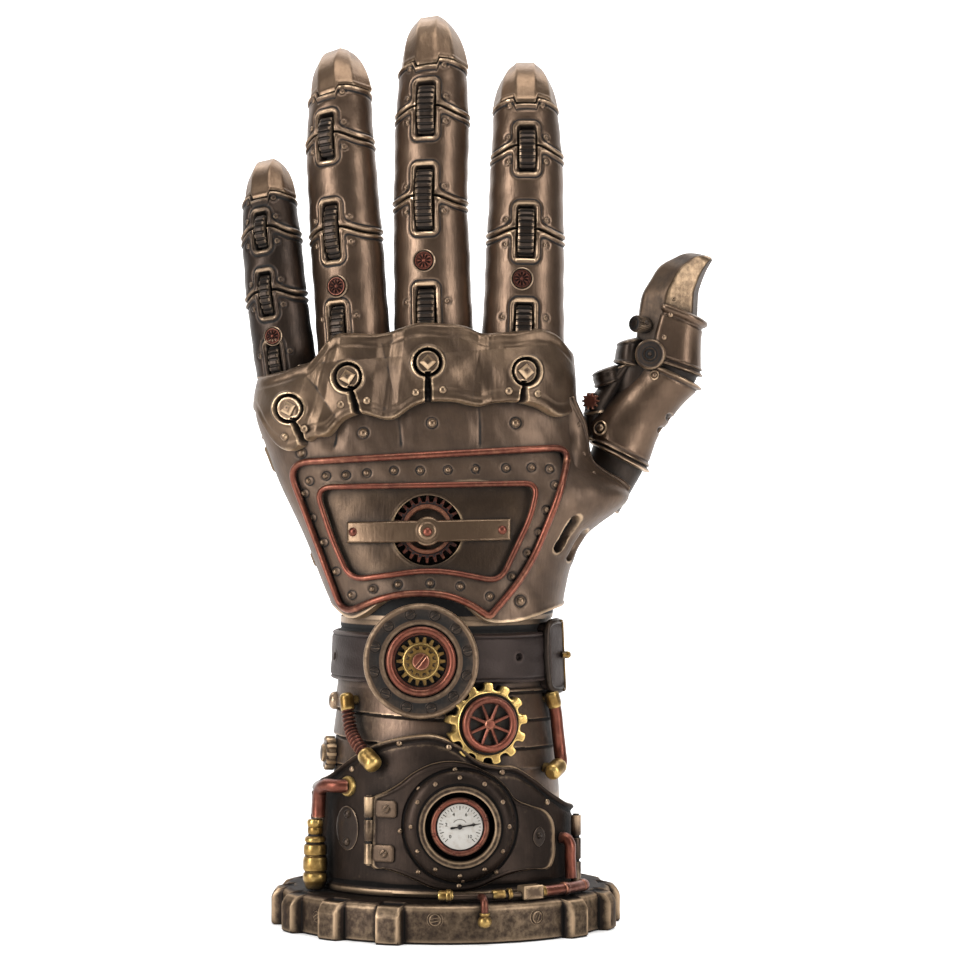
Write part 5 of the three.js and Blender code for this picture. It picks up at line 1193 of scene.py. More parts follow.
def makeDisc():
    r, h = disc["radius"], disc["thick"]
    profile = [(0.5, 0), (r - 0.2, 0), (r, 0.2), (r, h - 0.95), (r - 0.1, h - 0.55), (r - 0.35, h - 0.2), (r - 0.8, h),
               (r - 1.25, h - 0.06), (r - 1.5, h - 0.2), (10.6, h - 0.2), (10.2, h - 0.05), (9.6, h - 0.02),
               (9.2, h - 0.2),
               (9.0, h - 0.6), (8.95, 0.9), (0.5, 0.9)]
    shells = [stamped(turnedShell(profile, 120), discSpot(0, 0, 0), towardsViewer)]
    dark = []
    for i, a in enumerate(roundTurns(disc["screws"], 0.22)):
        spot = discSpot(disc["screwRing"] * math.cos(a), disc["screwRing"] * math.sin(a), h - 0.25)
        dark.append(stamped(slottedForm(disc["screwRadius"], 0.5), spot, towardsViewer, 0.15 + 0.5 * math.sin(7.0 * i)))
        well = turnedShell([(1.62, -0.3), (1.62, 0.06), (1.5, 0.14), (1.38, 0.05), (1.3, -0.3)], 24)
        dark.append(stamped(well, spot + (0, 0.02, 0), towardsViewer))
    addPiece("instrumentDisc", "discBronze", shells, ["instrument_disc"], rounds=5)
    addPiece("discScrews", "darkBronze", dark, rounds=3, extra=-0.08)
    a = roundTurns(120)
    circle, inner = [np.stack((disc["x"] + np.cos(a) * r, np.full(120, y), disc["z"] + np.sin(a) * r), 1)
                     for r, y in ((disc["ring"], discBack - h + 0.15), (disc["innerRing"], discBack - h + 0.75))]
    normals = np.broadcast_to(towardsViewer, circle.shape)
    addPiece("instrumentRing", "copper", [hoopShell(circle, normals, disc["ringBar"], 0.95, 16),
                                          hoopShell(inner, normals, 0.35, 0.5, 10)], ["instrument_ring"], rounds=6)
    gear = outlineShell(toothedOutline(disc["gear"], 4.9, disc["gearTeeth"], 0.36, 0.66),
                        [(0.9, 0), (1.5, 0), (1.7, 0.12)])
    plate = turnedShell([(0.2, 1.2), (4.5, 1.2), (4.5, 1.85), (4.2, 2.0), (0.2, 2.0)], 48)
    pinion = outlineShell(toothedOutline(disc["pinion"], 3.1, disc["pinionTeeth"], 0.36, 0.66),
                          [(1.9, 0), (2.5, 0), (2.7, 0.12)])
    shells = [stamped(part, discSpot(0, 0, 0), towardsViewer) for part in (gear, plate, pinion)]
    addPiece("instrumentGear", "brass", shells, ["instrument_gear"], rounds=4)
    hub = slottedForm(disc["hub"], 0.8, 0.16, 28)
    addPiece("instrumentHub", "copper", [stamped(hub, discSpot(0, 0, 2.6), towardsViewer, 0.9)], rounds=4)


sideGear = {
    "x": 10.5, "z": 53.5, "turn": 17.0, "radius": 10.2, "root": 8.75, "teeth": 13, "start": 6.0, "thick": 1.6,
    "wheel": 6.2, "bar": 1.0, "spokes": 8,
}


def makeSideGear():
    angle = math.radians(sideGear["turn"])
    way = np.array((math.sin(angle), -math.cos(angle), 0))
    seat = np.array((sideGear["x"], float(cuffFront(np.array(0.2), np.array(sideGear["z"]), 0.0)), sideGear["z"]))
    rough = toothedOutline(sideGear["radius"], sideGear["root"], sideGear["teeth"], 0.42, 0.66,
                           math.radians(sideGear["start"]))
    outline = smoothPath(rough, 390, closed=True)
    toothedDisc = outlineShell(outline, [(-3.4, 0), (sideGear["thick"] - 0.5, 0), (sideGear["thick"] - 0.12, 0.16),
                                   (sideGear["thick"], 0.5)])
    rim = turnedShell([(0.4, 1.2), (8.1, 1.2), (8.1, 1.75), (7.85, 1.95), (7.5, 1.75), (0.4, 1.7)], 72)
    addPiece("sideGear", "brass", [stamped(toothedDisc, seat, way), stamped(rim, seat, way)], ["side_gear"], rounds=8,
             extra=-0.03)
    across, over, out = axesOn(way)
    centre = seat + way * (sideGear["thick"] + 1.1)
    a = roundTurns(96)
    circle = centre + sideGear["wheel"] * (np.cos(a)[:, None] * across + np.sin(a)[:, None] * over)
    shells = [hoopShell(circle, np.broadcast_to(out, circle.shape), sideGear["bar"], 0.95, 14)]
    for a in roundTurns(sideGear["spokes"], 0.39):
        arm = math.cos(a) * across + math.sin(a) * over
        shells.append(tubeShell(np.stack([centre + arm * r for r in np.linspace(0.6, 5.8, 8)]),
                                np.linspace(0.5, 0.36, 8), 8))
    hub = turnedShell([(0.1, -0.8), (1.35, -0.8), (1.35, 0.35), (1.05, 0.65), (0.1, 0.75)], 24)
    shells.append(stamped(hub, centre, way))
    addPiece("spokedWheel", "copper", shells, ["spoked_wheel"], rounds=4)


makeStrap()
makeBuckle()
makeDisc()
makeSideGear()
print("strap, disc and gears made")

# Pipes
pipes = {
    "hose": [(-53, 58.6, 3.1), (-51.5, 55.2, 3.1), (-48, 51.2, 3.6), (-40.5, 47.6, 4.8), (-33, 44.2, 5.5)],
    "hoseRadius": 1.45, "hoseRib": 0.32, "hoseTurns": 17,
    "side": [(64, 59.0, 2.2), (65.5, 56.0, 2.5), (66.5, 50.5, 2.7), (67, 45.0, 3.0), (65, 42.4, 3.6), (60, 41.2, 3.6)],
    "sideRadius": 1.6,
    "elbow": [(-49, 37.1, 3.4), (-52.5, 37.1, 5.4), (-58.5, 37.0, 6.6), (-62.8, 35.6, 6.6), (-64, 32.6, 6.5),
              (-64, 28.7, 6.5)],
    "elbowRadius": 1.7, "valveTurn": -64.0, "valveOut": 6.5,
    "riser": [(62, 23.4, 3.5), (62, 23.3, 5.0), (62, 22.1, 5.9), (62, 19.0, 5.9), (62, 13.3, 5.9)],
    "riserRadius": 1.45, "footRun": 39.4, "footZ": 11.75, "footRadius": 1.25,
}


def cuffPath(stops, count):
    turn, z, out = np.array(stops, float).T
    return smoothPath(onCuff(np.radians(turn), z, out), count)


def capShell(path, radius, length, past=2.0):
    # a rounded sleeve over the first part of a path, starting a little before it
    path = np.concatenate(([path[0] + unit(path[0] - path[3]) * past], path))
    walked = lengthAlong(path)
    at = np.linspace(0, length, 12)
    line = np.stack([np.interp(at, walked, column) for column in path.T], 1)
    swell = radius * np.array([0.55, 0.86, 0.97, 1, 1, 1, 1, 1, 1, 0.98, 0.92, 0.78])
    return tubeShell(line, swell, 20)


def makePipes():
    hose = cuffPath(pipes["hose"], 200)
    step = np.linspace(0, 1, 200)[:, None]
    ribs = pipes["hoseRib"] * np.sin(2 * np.pi * pipes["hoseTurns"] * step - roundTurns(20)[None])
    addPiece("coilHose", "copper", [tubeShell(hose, pipes["hoseRadius"], 20, ribs)], ["coil_hose"], rounds=5)
    side = cuffPath(pipes["side"], 60)
    addPiece("sidePipe", "copper", [tubeShell(side, pipes["sideRadius"], 20)], ["side_pipe"], rounds=4)
    ends = [capShell(hose, 1.85, 4.7), capShell(hose[::-1], 2.35, 5.6, 2.6), capShell(side, 1.95, 4.6),
            capShell(side[::-1], 2.2, 5.8, 3.4)]
    for turn, z, out in (pipes["hose"][0], pipes["hose"][-1], pipes["side"][0], pipes["side"][-1]):
        seats = onCuff(math.radians(turn), z, np.linspace(0, out, 5))
        ends.append(tubeShell(seats, 1.3, 14))
    addPiece("pipeEnds", "brass", ends, rounds=6)
    elbow = cuffPath(pipes["elbow"], 60)
    addPiece("elbowPipe", "copper", [tubeShell(elbow, pipes["elbowRadius"], 20)], ["elbow_pipe"], rounds=4)
    mouth = onCuff(math.radians(-49), 37.1, 3.2)
    flangeForm = turnedShell([(2.6, -0.6), (2.6, 0.5), (2.35, 0.95), (1.8, 1.0), (0.3, 1.0)], 28)
    valve = onCuff(math.radians(pipes["valveTurn"]), 10.3, pipes["valveOut"])
    profile = [(0.3, 0.1), (2.1, 0.1), (2.5, 0.7), (2.75, 1.6), (2.9, 1.9), (3.12, 2.4), (3.15, 3.6), (3.0, 4.2),
               (2.7, 4.5), (2.75, 4.8), (3.05, 5.0), (3.15, 5.6), (3.1, 7.6), (3.0, 8.2), (2.65, 8.5), (2.6, 8.8),
               (2.9, 9.0), (3.0, 9.6), (2.95, 10.9), (2.8, 11.4), (2.35, 11.7), (2.3, 12.0), (2.65, 12.3),
               (2.7, 12.9), (2.45, 13.4), (1.9, 13.7), (1.75, 14.1), (1.95, 14.5), (1.95, 15.6), (1.8, 15.9),
               (2.0, 16.2), (2.05, 17.4), (1.75, 17.9), (0.3, 18.0)]
    body = stamped(turnedShell(profile, 32), (valve[0], valve[1], 10.3), (0, 0, 1.0), 0, (0, 1, 0))
    flange = stamped(flangeForm, mouth, cuffNormal(math.radians(-49)))
    addPiece("ribbedValve", "brass", [body, flange], ["ribbed_valve"], rounds=6)
    riser = cuffPath(pipes["riser"], 40)
    turn = np.radians(np.linspace(38.5, 63, 30))
    run = footRunAt(turn, pipes["footZ"])
    union = [footTube(a, a + w, g) for a, w, g in ((48.5, 2.6, 1.75), (61, 3, 1.6))]
    addPiece("riserPipe", "copper", [tubeShell(riser, pipes["riserRadius"], 18), tubeShell(run, 1.4, 16)] + union,
             ["riser_pipe"], rounds=4)
    thin = np.radians(np.linspace(0, 30, 30))
    line = footRunAt(thin, pipes["footZ"] - 0.3)
    boxTurn = math.radians(33)
    boxPlace = (pipes["footRun"] * math.sin(boxTurn), -pipes["footRun"] * math.cos(boxTurn), pipes["footZ"] + 0.2)
    box = outlineShell(roundedBox(0, 0, 2.9, 1.75, 0.35, count=4), [(-1.6, 0), (1.4, 0), (1.7, 0.3)])
    box = stamped(box, boxPlace, (math.sin(boxTurn), -math.cos(boxTurn), 0))
    addPiece("footPipe", "darkerLightBronze", [tubeShell(line, 0.85, 14), box], ["foot_pipe"], rounds=3, extra=-0.08)
    brass = [footTube(a, a + w, g) for a, w, g in ((-2.2, 5.2, 1.45), (0.5, 2.0, 1.7), (17.5, 4.6, 1.35),
                                                   (23.2, 1.6, 1.55), (37.2, 1.8, 1.65))]
    tap = np.radians(13)
    spout = [(tap, r, z) for r, z in ((39.9, 11.4), (42.2, 11.6), (43.9, 10.6), (44.2, 8.9), (44.2, 7.2))]
    spout = smoothPath([(r * math.sin(t), -r * math.cos(t), z) for t, r, z in spout], 24)
    ballAt = (44.3 * math.sin(tap), -44.3 * math.cos(tap), 4.4)
    ball = turnedShell([(0.2, 0), (0.8, 0.05), (1.45, 0.5), (1.75, 1.2), (1.7, 2.0), (1.35, 2.6), (1.15, 2.8),
                        (1.3, 3.1), (1.25, 3.6), (0.2, 3.7)], 24)
    addPiece("footTap", "brass", brass + [(ball[0] + ballAt, ball[1])], ["foot_tap"], rounds=5)
    addPiece("tapSpout", "copper", [tubeShell(spout, 0.95, 14)], rounds=3)


def footRunAt(turn, z):
    # the circle that the pipes on the foot follow
    return np.stack((pipes["footRun"] * np.sin(turn), -pipes["footRun"] * np.cos(turn), np.full(len(turn), z)), 1)


def footTube(first, last, radius):
    # a sleeve on the pipe round the foot, between two turns in degrees
    turn = np.radians(np.linspace(first, last, 8))
    return tubeShell(footRunAt(turn, pipes["footZ"]), radius * np.array([0.86, 0.98, 1, 1, 1, 1, 0.98, 0.86]), 18)


makePipes()
print("pipes made")

# Hand
hand = {
    "base": 79.6, "height": 67.6, "width": 83.0, "depth": 46.0, "power": 2.5, "wall": 2.0, "tilt": 0.08,
    "ups": [0, 0.15, 0.3, 0.48, 0.59, 0.78, 0.91, 1.0],
    "left": [-0.34, -0.392, -0.44, -0.51, -0.545, -0.593, -0.59, -0.575],
    "right": [0.362, 0.381, 0.434, 0.57, 0.446, 0.41, 0.4, 0.393],
    "front": [0.6, 0.575, 0.545, 0.51, 0.49, 0.445, 0.39, 0.35],
    "back": [0.5, 0.48, 0.46, 0.43, 0.38, 0.33, 0.31, 0.3],
    "tilts": [0, 0, 0, 0, 0, 0.3, 0.7, 1.0],
}


def handSection(up):
    left, right = [curveThrough(up, hand["ups"], hand[k]) * hand["width"] for k in ("left", "right")]
    front, back = [curveThrough(up, hand["ups"], hand[k]) * hand["depth"] for k in ("front", "back")]
    tilt = curveThrough(up, hand["ups"], hand["tilts"]) * hand["tilt"]
    return (left + right) / 2, (right - left) / 2, front, back, tilt


def fingerTurns(count=190):
    # turns that lie closer together on the side that faces the viewer
    turn = roundTurns(count)
    return turn - 0.45 * np.sin(turn)


def signedPower(v, p):
    return np.sign(v) * np.abs(v) ** p


def evenTurns(first, last, count):
    # turns in degrees at which the superellipse's points lie evenly about its middle
    turn = np.radians(np.linspace(first, last, count))
    power = hand["power"] / 2
    return np.unwrap(np.arctan2(signedPower(np.sin(turn), power), signedPower(np.cos(turn), power)))


def onHand(turn, up, out):
    # superellipse sections, out mm off the plates' face
    turn, up, out = np.broadcast_arrays(np.asarray(turn, float), up, out)
    middle, half, front, back, tilt = handSection(up)
    across = signedPower(np.sin(turn), 2 / hand["power"])
    deep = signedPower(np.cos(turn), 2 / hand["power"])
    x = middle + (half + out) * across
    y = -(np.where(deep > 0, front, back) + out) * deep
    return np.stack((x, y, hand["base"] + up * hand["height"] + tilt * x), -1)


def handUp(x, z):
    up = (z - hand["base"]) / hand["height"]
    for _ in range(3):
        tilt = curveThrough(up, hand["ups"], hand["tilts"]) * hand["tilt"]
        up = (z - hand["base"] - tilt * x) / hand["height"]
    return up


def handFront(x, z, out):
    # depth of the front face at x and z
    middle, half, front, _, _ = handSection(handUp(x, z))
    q = np.clip(np.abs(x - middle) / (half + out), 0, 0.999)
    return -(front + out) * np.sqrt(1 - q ** hand["power"]) ** (2 / hand["power"])


def frontFace(x, z, out):
    x, z, out = np.broadcast_arrays(np.asarray(x, float), z, out)
    return np.stack((x, handFront(x, z, out), z), -1)


def frontNormal(x, z, out, depth=None):
    depth = handFront if depth is None else depth
    step = 0.4
    slopeX = (depth(x + step, z, out) - depth(x - step, z, out)) / (2 * step)
    slopeZ = (depth(x, z + step, out) - depth(x, z - step, out)) / (2 * step)
    return unit(np.stack((slopeX, -np.ones_like(slopeX), slopeZ), -1))


def handAt(pixels, out, depth=None):
    # where the line of sight through a pixel meets a front face
    depth = handFront if depth is None else depth
    y = np.full(len(pixels), -24.0)
    for _ in range(6):
        x, z = viewPoint(pixels, y)
        y = depth(x, z, out)
    return x, z, np.stack((x, y, z), -1), frontNormal(x, z, out, depth)


def toLine(x, z, stops):
    # distance in the front view to a run of straight pieces
    stops = np.asarray(stops, float)
    best = np.full(np.shape(x), 1e9)
    for (ax, az), (bx, bz) in zip(stops[:-1], stops[1:]):
        length = max((bx - ax) ** 2 + (bz - az) ** 2, 1e-9)
        t = np.clip(((x - ax) * (bx - ax) + (z - az) * (bz - az)) / length, 0, 1)
        best = np.minimum(best, np.hypot(x - ax - t * (bx - ax), z - az - t * (bz - az)))
    return best


def insideLine(x, z, outline):
    # signed distance to a closed outline, below nought inside
    away = toLine(x, z, np.concatenate((outline, outline[:1])))
    inside = np.zeros(np.shape(x), bool)
    ahead = np.roll(outline, -1, 0)
    for (ax, az), (bx, bz) in zip(outline, ahead):
        if az != bz:
            crosses = ((az > z) != (bz > z)) & (x < (bx - ax) * (z - az) / (bz - az) + ax)
            inside ^= crosses
    return np.where(inside, -away, away)


borders = {
    "outer": [(-0.49, 0.585, 0.075), (0.381, 0.645, 0.05), (0.36, 0.5, 0.08), (0.255, 0.18, 0.1), (0.135, 0.012, 0.012),
              (0.03, 0.1, 0.09), (-0.165, 0.1, 0.09), (-0.314, 0.015, 0.05)],
    "inner": [(-0.4, 0.494, 0.055), (0.284, 0.51, 0.045), (0.262, 0.385, 0.05), (0.168, 0.142, 0.045),
              (-0.03, 0.19, 0.08), (-0.29, 0.147, 0.045), (-0.345, 0.29, 0.06)],
    "outerRadius": 0.9, "innerRadius": 0.75,
    "rivets": [(308, 481), (325, 476), (345, 475), (366, 473), (393.5, 470.5), (420, 470.5), (448, 470), (476, 469),
               (507, 468), (532.5, 467.5), (551, 469), (556, 485), (547, 510), (540, 532.5), (528.5, 553), (513, 576.5),
               (490.5, 596.5), (460.5, 586.5), (430, 583.5), (397.5, 584.5), (372, 589), (350.5, 595), (335, 571.5),
               (322, 542.5), (310.5, 518), (303, 493.5)],
}


def borderOutline(corners, count):
    # straight runs joined by a quadratic curve at each corner
    table = np.array(corners, float)
    place = np.stack((table[:, 0] * hand["width"], hand["base"] + table[:, 1] * hand["height"]), 1)
    size = table[:, 2:] * hand["width"]
    start = place + unit(np.roll(place, 1, 0) - place) * size
    end = place + unit(np.roll(place, -1, 0) - place) * size
    t = np.linspace(0, 1, 9)[:, None, None]
    arcs = (1 - t) ** 2 * start + 2 * t * (1 - t) * place + t**2 * end
    rough = np.swapaxes(arcs, 0, 1).reshape(-1, 2)
    closed = np.concatenate((rough, rough[:1]))
    walked = lengthAlong(closed)
    at = np.linspace(0, walked[-1], count, endpoint=False)
    return np.stack([np.interp(at, walked, column) for column in closed.T], 1)


outerOutline = borderOutline(borders["outer"], 360)
innerOutline = borderOutline(borders["inner"], 300)

plate = {
    "footAcross": [-0.62, -0.345, -0.31, -0.165, 0.03, 0.135, 0.2, 0.36, 0.62],
    "footUp": [0.06, 0.03, 0.0, 0.078, 0.078, -0.012, -0.015, 0.035, 0.06],
    "head": 0.93, "windowDepth": 4.7, "slotDepth": 3.2,
    "slots": [((577, 517), (556.5, 551), 0.9), ((585.5, 531), (568.5, 560), 0.55)],
    "creases": [((332, 452), (336, 428), (330, 405)), ((401, 449), (399, 425), (393, 400)),
                ((481, 447), (481, 425), (479, 400))],
    "rivets": [(363, 433), (432, 423), (516, 423), (301, 453), (521, 601)],
}


def flatPoints(pixels):
    x, z, _, _ = handAt(pixels, 0.0)
    return np.stack((x, z), 1)


def makeBackPlate():
    # a sheared grid between the foot edge and the head; every line on it is a height over the smooth face
    turn = evenTurns(-89.7, 89.7, 384)
    share = np.concatenate((np.linspace(0, 0.06, 10), np.linspace(0.065, 1, 226)))
    t, v = np.meshgrid(turn, share)
    up = v.copy()
    for _ in range(5):
        x = onHand(t, up, 0.0)[..., 0]
        low = curveThrough(x / hand["width"], plate["footAcross"], plate["footUp"])
        up = low + v * (plate["head"] - low)
    flat = onHand(t, up, 0.0)
    x, z = flat[..., 0], flat[..., 2]
    window = insideLine(x, z, innerOutline)
    frameBand = insideLine(x, z, outerOutline)
    out = -plate["windowDepth"] * smoothStep(-window, -0.15, 0.35)
    out += -0.35 * smoothStep(-frameBand, -0.5, 0.6) * smoothStep(window, -0.5, 0.5)
    for first, last, half in plate["slots"]:
        line = flatPoints([first, last])
        way = unit(line[1] - line[0]) * half
        gap = toLine(x, z, [line[0] + way, line[1] - way])
        out += -plate["slotDepth"] * fallStep(gap, half - 0.2, half + 0.3) + 0.12 * bump(gap - half - 0.9, 0.8)
    above = smoothStep(z, 121.5, 124.5)
    for stops in plate["creases"]:
        gap = toLine(x, z, smoothPath(flatPoints(stops), 8))
        out += above * (-0.2 * bump(gap, 0.8) - 0.4 * bump(gap, 3.4))
    for pixels, size in ((plate["rivets"], 1.1), (borders["rivets"], 0.76)):
        for rivetX, rivetZ in flatPoints(pixels):
            out -= 0.22 * bump(np.hypot(x - rivetX, z - rivetZ) - size - 0.35, 0.4)
    fromFoot = (up - low) * hand["height"]
    out += 0.15 * bump(fromFoot - 0.75, 0.8) - 0.9 * edgeFall(fromFoot, 0.45)
    out += 0.12 * np.sin(x * 0.31 + 1) * np.sin(z * 0.27) + 0.05 * np.sin(x * 1.1 + z * 0.7)
    outer = onHand(t, up, out)
    inner = onHand(t, up, np.minimum(out - 0.35, -hand["wall"]))
    addPiece("backPlate", "plateBronze", [slabShell(outer, inner, 6)], ["back_plate"], rounds=10)
    _, _, places, normals = handAt(plate["rivets"], 0.0)
    rivets = stampedAll(domeForm(1.1, 0.77, 16), places, normals)
    _, _, places, normals = handAt(borders["rivets"], -0.35)
    # the rivets take a lighter finish than the plate: partly worn tops, partly a painted highlight
    addPiece("plateRivets", "lightBronze", rivets + stampedAll(domeForm(0.76, 0.6, 16), places, normals), rounds=4)


def makeBorders():
    for name, outline, radius, node in (("borderOuter", outerOutline, borders["outerRadius"], "border_outer"),
                                        ("borderInner", innerOutline, borders["innerRadius"], "border_inner")):
        path = frontFace(outline[:, 0], outline[:, 1], 0.3 + 0.35 * radius)
        normals = frontNormal(outline[:, 0], outline[:, 1], 0.5)
        addPiece(name, "copper", [hoopShell(path, normals, radius, radius, 14)], [node], rounds=6)


panel = {
    "drop": 1.1, "gearAcross": -0.054, "gearUp": 0.333, "hole": 8.9, "gear": 8.7, "gearRoot": 7.1, "gearBore": 5.3,
    "teeth": 24, "bar": [(347, 532.5), (352, 532.4), (375, 532.2), (400, 531.6), (427.5, 531.2), (455, 530.6),
                         (480, 530), (503, 529.6), (510.5, 529.4)],
    "barHalf": 2.7, "barThick": 1.4, "boss": 3.7, "rivets": [(353, 532), (427.5, 532), (502.5, 530)],
}
gearX = panel["gearAcross"] * hand["width"]
gearZ = hand["base"] + panel["gearUp"] * hand["height"]


def makePanel():
    # P(t, s) from the round hole out to the window's edge
    outline = innerOutline - (gearX, gearZ)
    angle = np.arctan2(outline[:, 1], outline[:, 0])
    way = np.stack((np.cos(angle), np.sin(angle)), 1)
    edge = np.linalg.norm(outline, axis=1) - 0.2
    share = np.concatenate((np.zeros(3), np.linspace(0, 1, 44)))
    rho = panel["hole"] + (edge - panel["hole"])[None] * share[:, None]
    x, z = gearX + rho * way[:, 0], gearZ + rho * way[:, 1]
    out = -panel["drop"] + 0.1 * bump(rho - panel["hole"] - 0.45, 0.5) + 0.06 * np.sin(x * 0.7) * np.sin(z * 0.5)
    out[0], out[1], out[2] = -4.0, -2.2, -panel["drop"] - 0.35
    back = frontFace(x[-1], z[-1], -panel["drop"] - 1.6)
    grid = np.concatenate((frontFace(x, z, out), back[None]))
    addPiece("gearPanel", "darkerLightBronze", [ringShell(grid)], ["gear_panel"], rounds=8)
    floorDepth = float(handFront(np.array(gearX), np.array(gearZ), -4.2))
    seat = np.array((gearX, floorDepth, gearZ))
    normal = frontNormal(np.array(gearX), np.array(gearZ), 0.0)
    toothed = toothedOutline(panel["gear"], panel["gearRoot"], panel["teeth"], 0.26, 0.5)
    r = np.linalg.norm(toothed, axis=1)
    turn = np.arctan2(toothed[:, 1], toothed[:, 0])
    bore = np.stack((panel["gearBore"] * np.cos(turn), panel["gearBore"] * np.sin(turn)), 1)
    rows = [(toothed, 0.0), (toothed, 1.7), (toothed * 0.985, 1.9)]
    step = toothed * ((panel["gearRoot"] - 0.6) / np.maximum(r, panel["gearRoot"] - 0.6))[:, None]
    rows += [(step, 1.9), (step * 0.97, 2.5), (bore * 1.04, 2.5), (bore, 2.3), (bore, 0.0)]
    grid = np.stack([np.column_stack((points, np.full(len(points), height))) for points, height in rows])
    shell = ringShell(grid)
    hub = turnedShell([(0.3, 0), (2.6, 0), (2.6, 1.5), (0.3, 1.6)], 20)
    addPiece("panelGear", "copper", [stamped(shell, seat, normal), stamped(hub, seat, normal)], ["panel_gear"],
             rounds=4)
    # bar: a slightly bent strip of even width with a round boss, laid on the panel
    x, z, _, _ = handAt(panel["bar"], 0.0)
    line = smoothPath(np.stack((x, z), 1), 170)
    across = np.linspace(-1, 1, 30)
    nearBoss = np.clip(1 - ((line[:, 0] - gearX) / panel["boss"]) ** 2, 0, 1) ** 0.5 * panel["boss"]
    half = np.maximum(panel["barHalf"], nearBoss)
    gx = line[:, 0][None] + 0 * across[:, None]
    gz = line[:, 1][None] + across[:, None] * half[None]
    ends = np.minimum(np.abs(line[:, 0] - line[0, 0]), np.abs(line[:, 0] - line[-1, 0]))[None]
    edge = np.minimum((1 - np.abs(across))[:, None] * half[None], ends + 0.05)
    top = panel["barThick"] - 0.5 * edgeFall(edge, 0.45)
    fromBoss = np.hypot(gx - gearX, gz - gearZ)
    top = top + 0.35 * fallStep(fromBoss, 1.9, 3.0) - 0.18 * bump(fromBoss - 2.2, 0.4)
    outer = frontFace(gx, gz, -panel["drop"] + 0.3 + top)
    inner = frontFace(gx, gz, -panel["drop"] + 0.2)
    addPiece("panelBar", "lightBronze", [slabShell(outer, inner)], ["panel_bar"], rounds=4)
    _, _, places, normals = handAt(panel["rivets"], 0.45)
    places[1] += normals[1] * 0.3
    addPiece("barRivets", "copper", stampedAll(domeForm(1.2, 0.75, 20), places, normals), rounds=3)


def makeCore():
    turn = fingerTurns(220)
    up = np.linspace(-0.004, 1.003, 110)
    t, v = np.meshgrid(turn, up)
    flat = onHand(t, v, 0.0)
    fromGear = np.where(flat[..., 1] < 0, np.hypot(flat[..., 0] - gearX, flat[..., 2] - gearZ), 99)
    out = -hand["wall"] - 0.35 - 2.9 * fallStep(fromGear, 9.5, 12.5)
    # dark finish and a lowered point attribute: painted shade on the core where it shows in the gaps under the plates
    addPiece("handCore", "darkBronze", [sleeveShell(onHand(t, v, out))], ["hand_core"], rounds=4, extra=-0.3)


palm = {
    "foot": 0.035, "head": 0.94, "tabs": [(120.0, 3.2), (94.0, 1.8)],
    "rivetRows": [(100, 0.12), (125, 0.1), (155, 0.09), (205, 0.09), (235, 0.1), (260, 0.12),
                  (105, 0.5), (255, 0.5), (104, 0.86), (140, 0.88), (180, 0.89), (220, 0.88), (256, 0.86)],
}


def makePalmPlate():
    # the palm half: a rolled foot edge, two crossing seams and a raised heel pad, heights over the smooth face
    turn = np.radians(np.linspace(90.7, 269.3, 300))
    up = np.linspace(palm["foot"], palm["head"], 190)
    t, v = np.meshgrid(turn, up)
    flat = onHand(t, v, 0.0)
    x, z = flat[..., 0], flat[..., 2]
    fromFoot = (v - palm["foot"]) * hand["height"]
    fromHead = (palm["head"] - v) * hand["height"]
    out = 0.5 * bump(fromFoot - 0.8, 0.8) - 0.3 * bump(fromFoot - 2.0, 0.7) - 0.9 * edgeFall(fromFoot, 0.5)
    out += 0.45 * bump(fromHead - 0.8, 0.8) - 0.9 * edgeFall(fromHead, 0.5)
    heel = np.hypot((x + 14) / 19, (z - 99) / 14)
    ball = np.hypot((x - 17) / 15, (z - 108) / 17)
    for form in (heel, ball):
        out += 1.3 * fallStep(form, 0.55, 1.0) - 0.4 * bump(form - 1.06, 0.06) + 0.25 * bump(form - 0.97, 0.05)
    crease = z - 127 - 3.2 * np.sin((x + 8) / 17)
    out += -0.65 * bump(crease, 0.6) + 0.35 * bump(crease - 0.95, 0.6) - 0.35 * smoothStep(-crease, 0.2, 6) * 0.3
    for middle, half in palm["tabs"]:
        side = smoothStep(np.degrees(t), 252, 256)
        out += 0.8 * side * fallStep(np.abs(z - middle), half - 0.6, half + 0.6)
    out += 0.1 * np.sin(x * 0.29) * np.sin(z * 0.25 + 1)
    shells = [slabShell(onHand(t, v, out), onHand(t, v, -hand["wall"] + 0 * out), 6)]
    for degrees, height in palm["rivetRows"]:
        angle = math.radians(degrees)
        spot = onHand(angle, height, 0.05)
        normal = unit(np.cross(onHand(angle + 0.01, height, 0) - spot, onHand(angle, height + 0.01, 0) - spot))
        shells.append(stamped(domeForm(0.9, 0.65, 16), spot, normal))
    addPiece("palmPlate", "plateBronze", shells, ["palm_plate"], rounds=10)


makeCore()
makeBackPlate()
makePalmPlate()
makeBorders()
makePanel()
print("hand plates, borders and panel made")

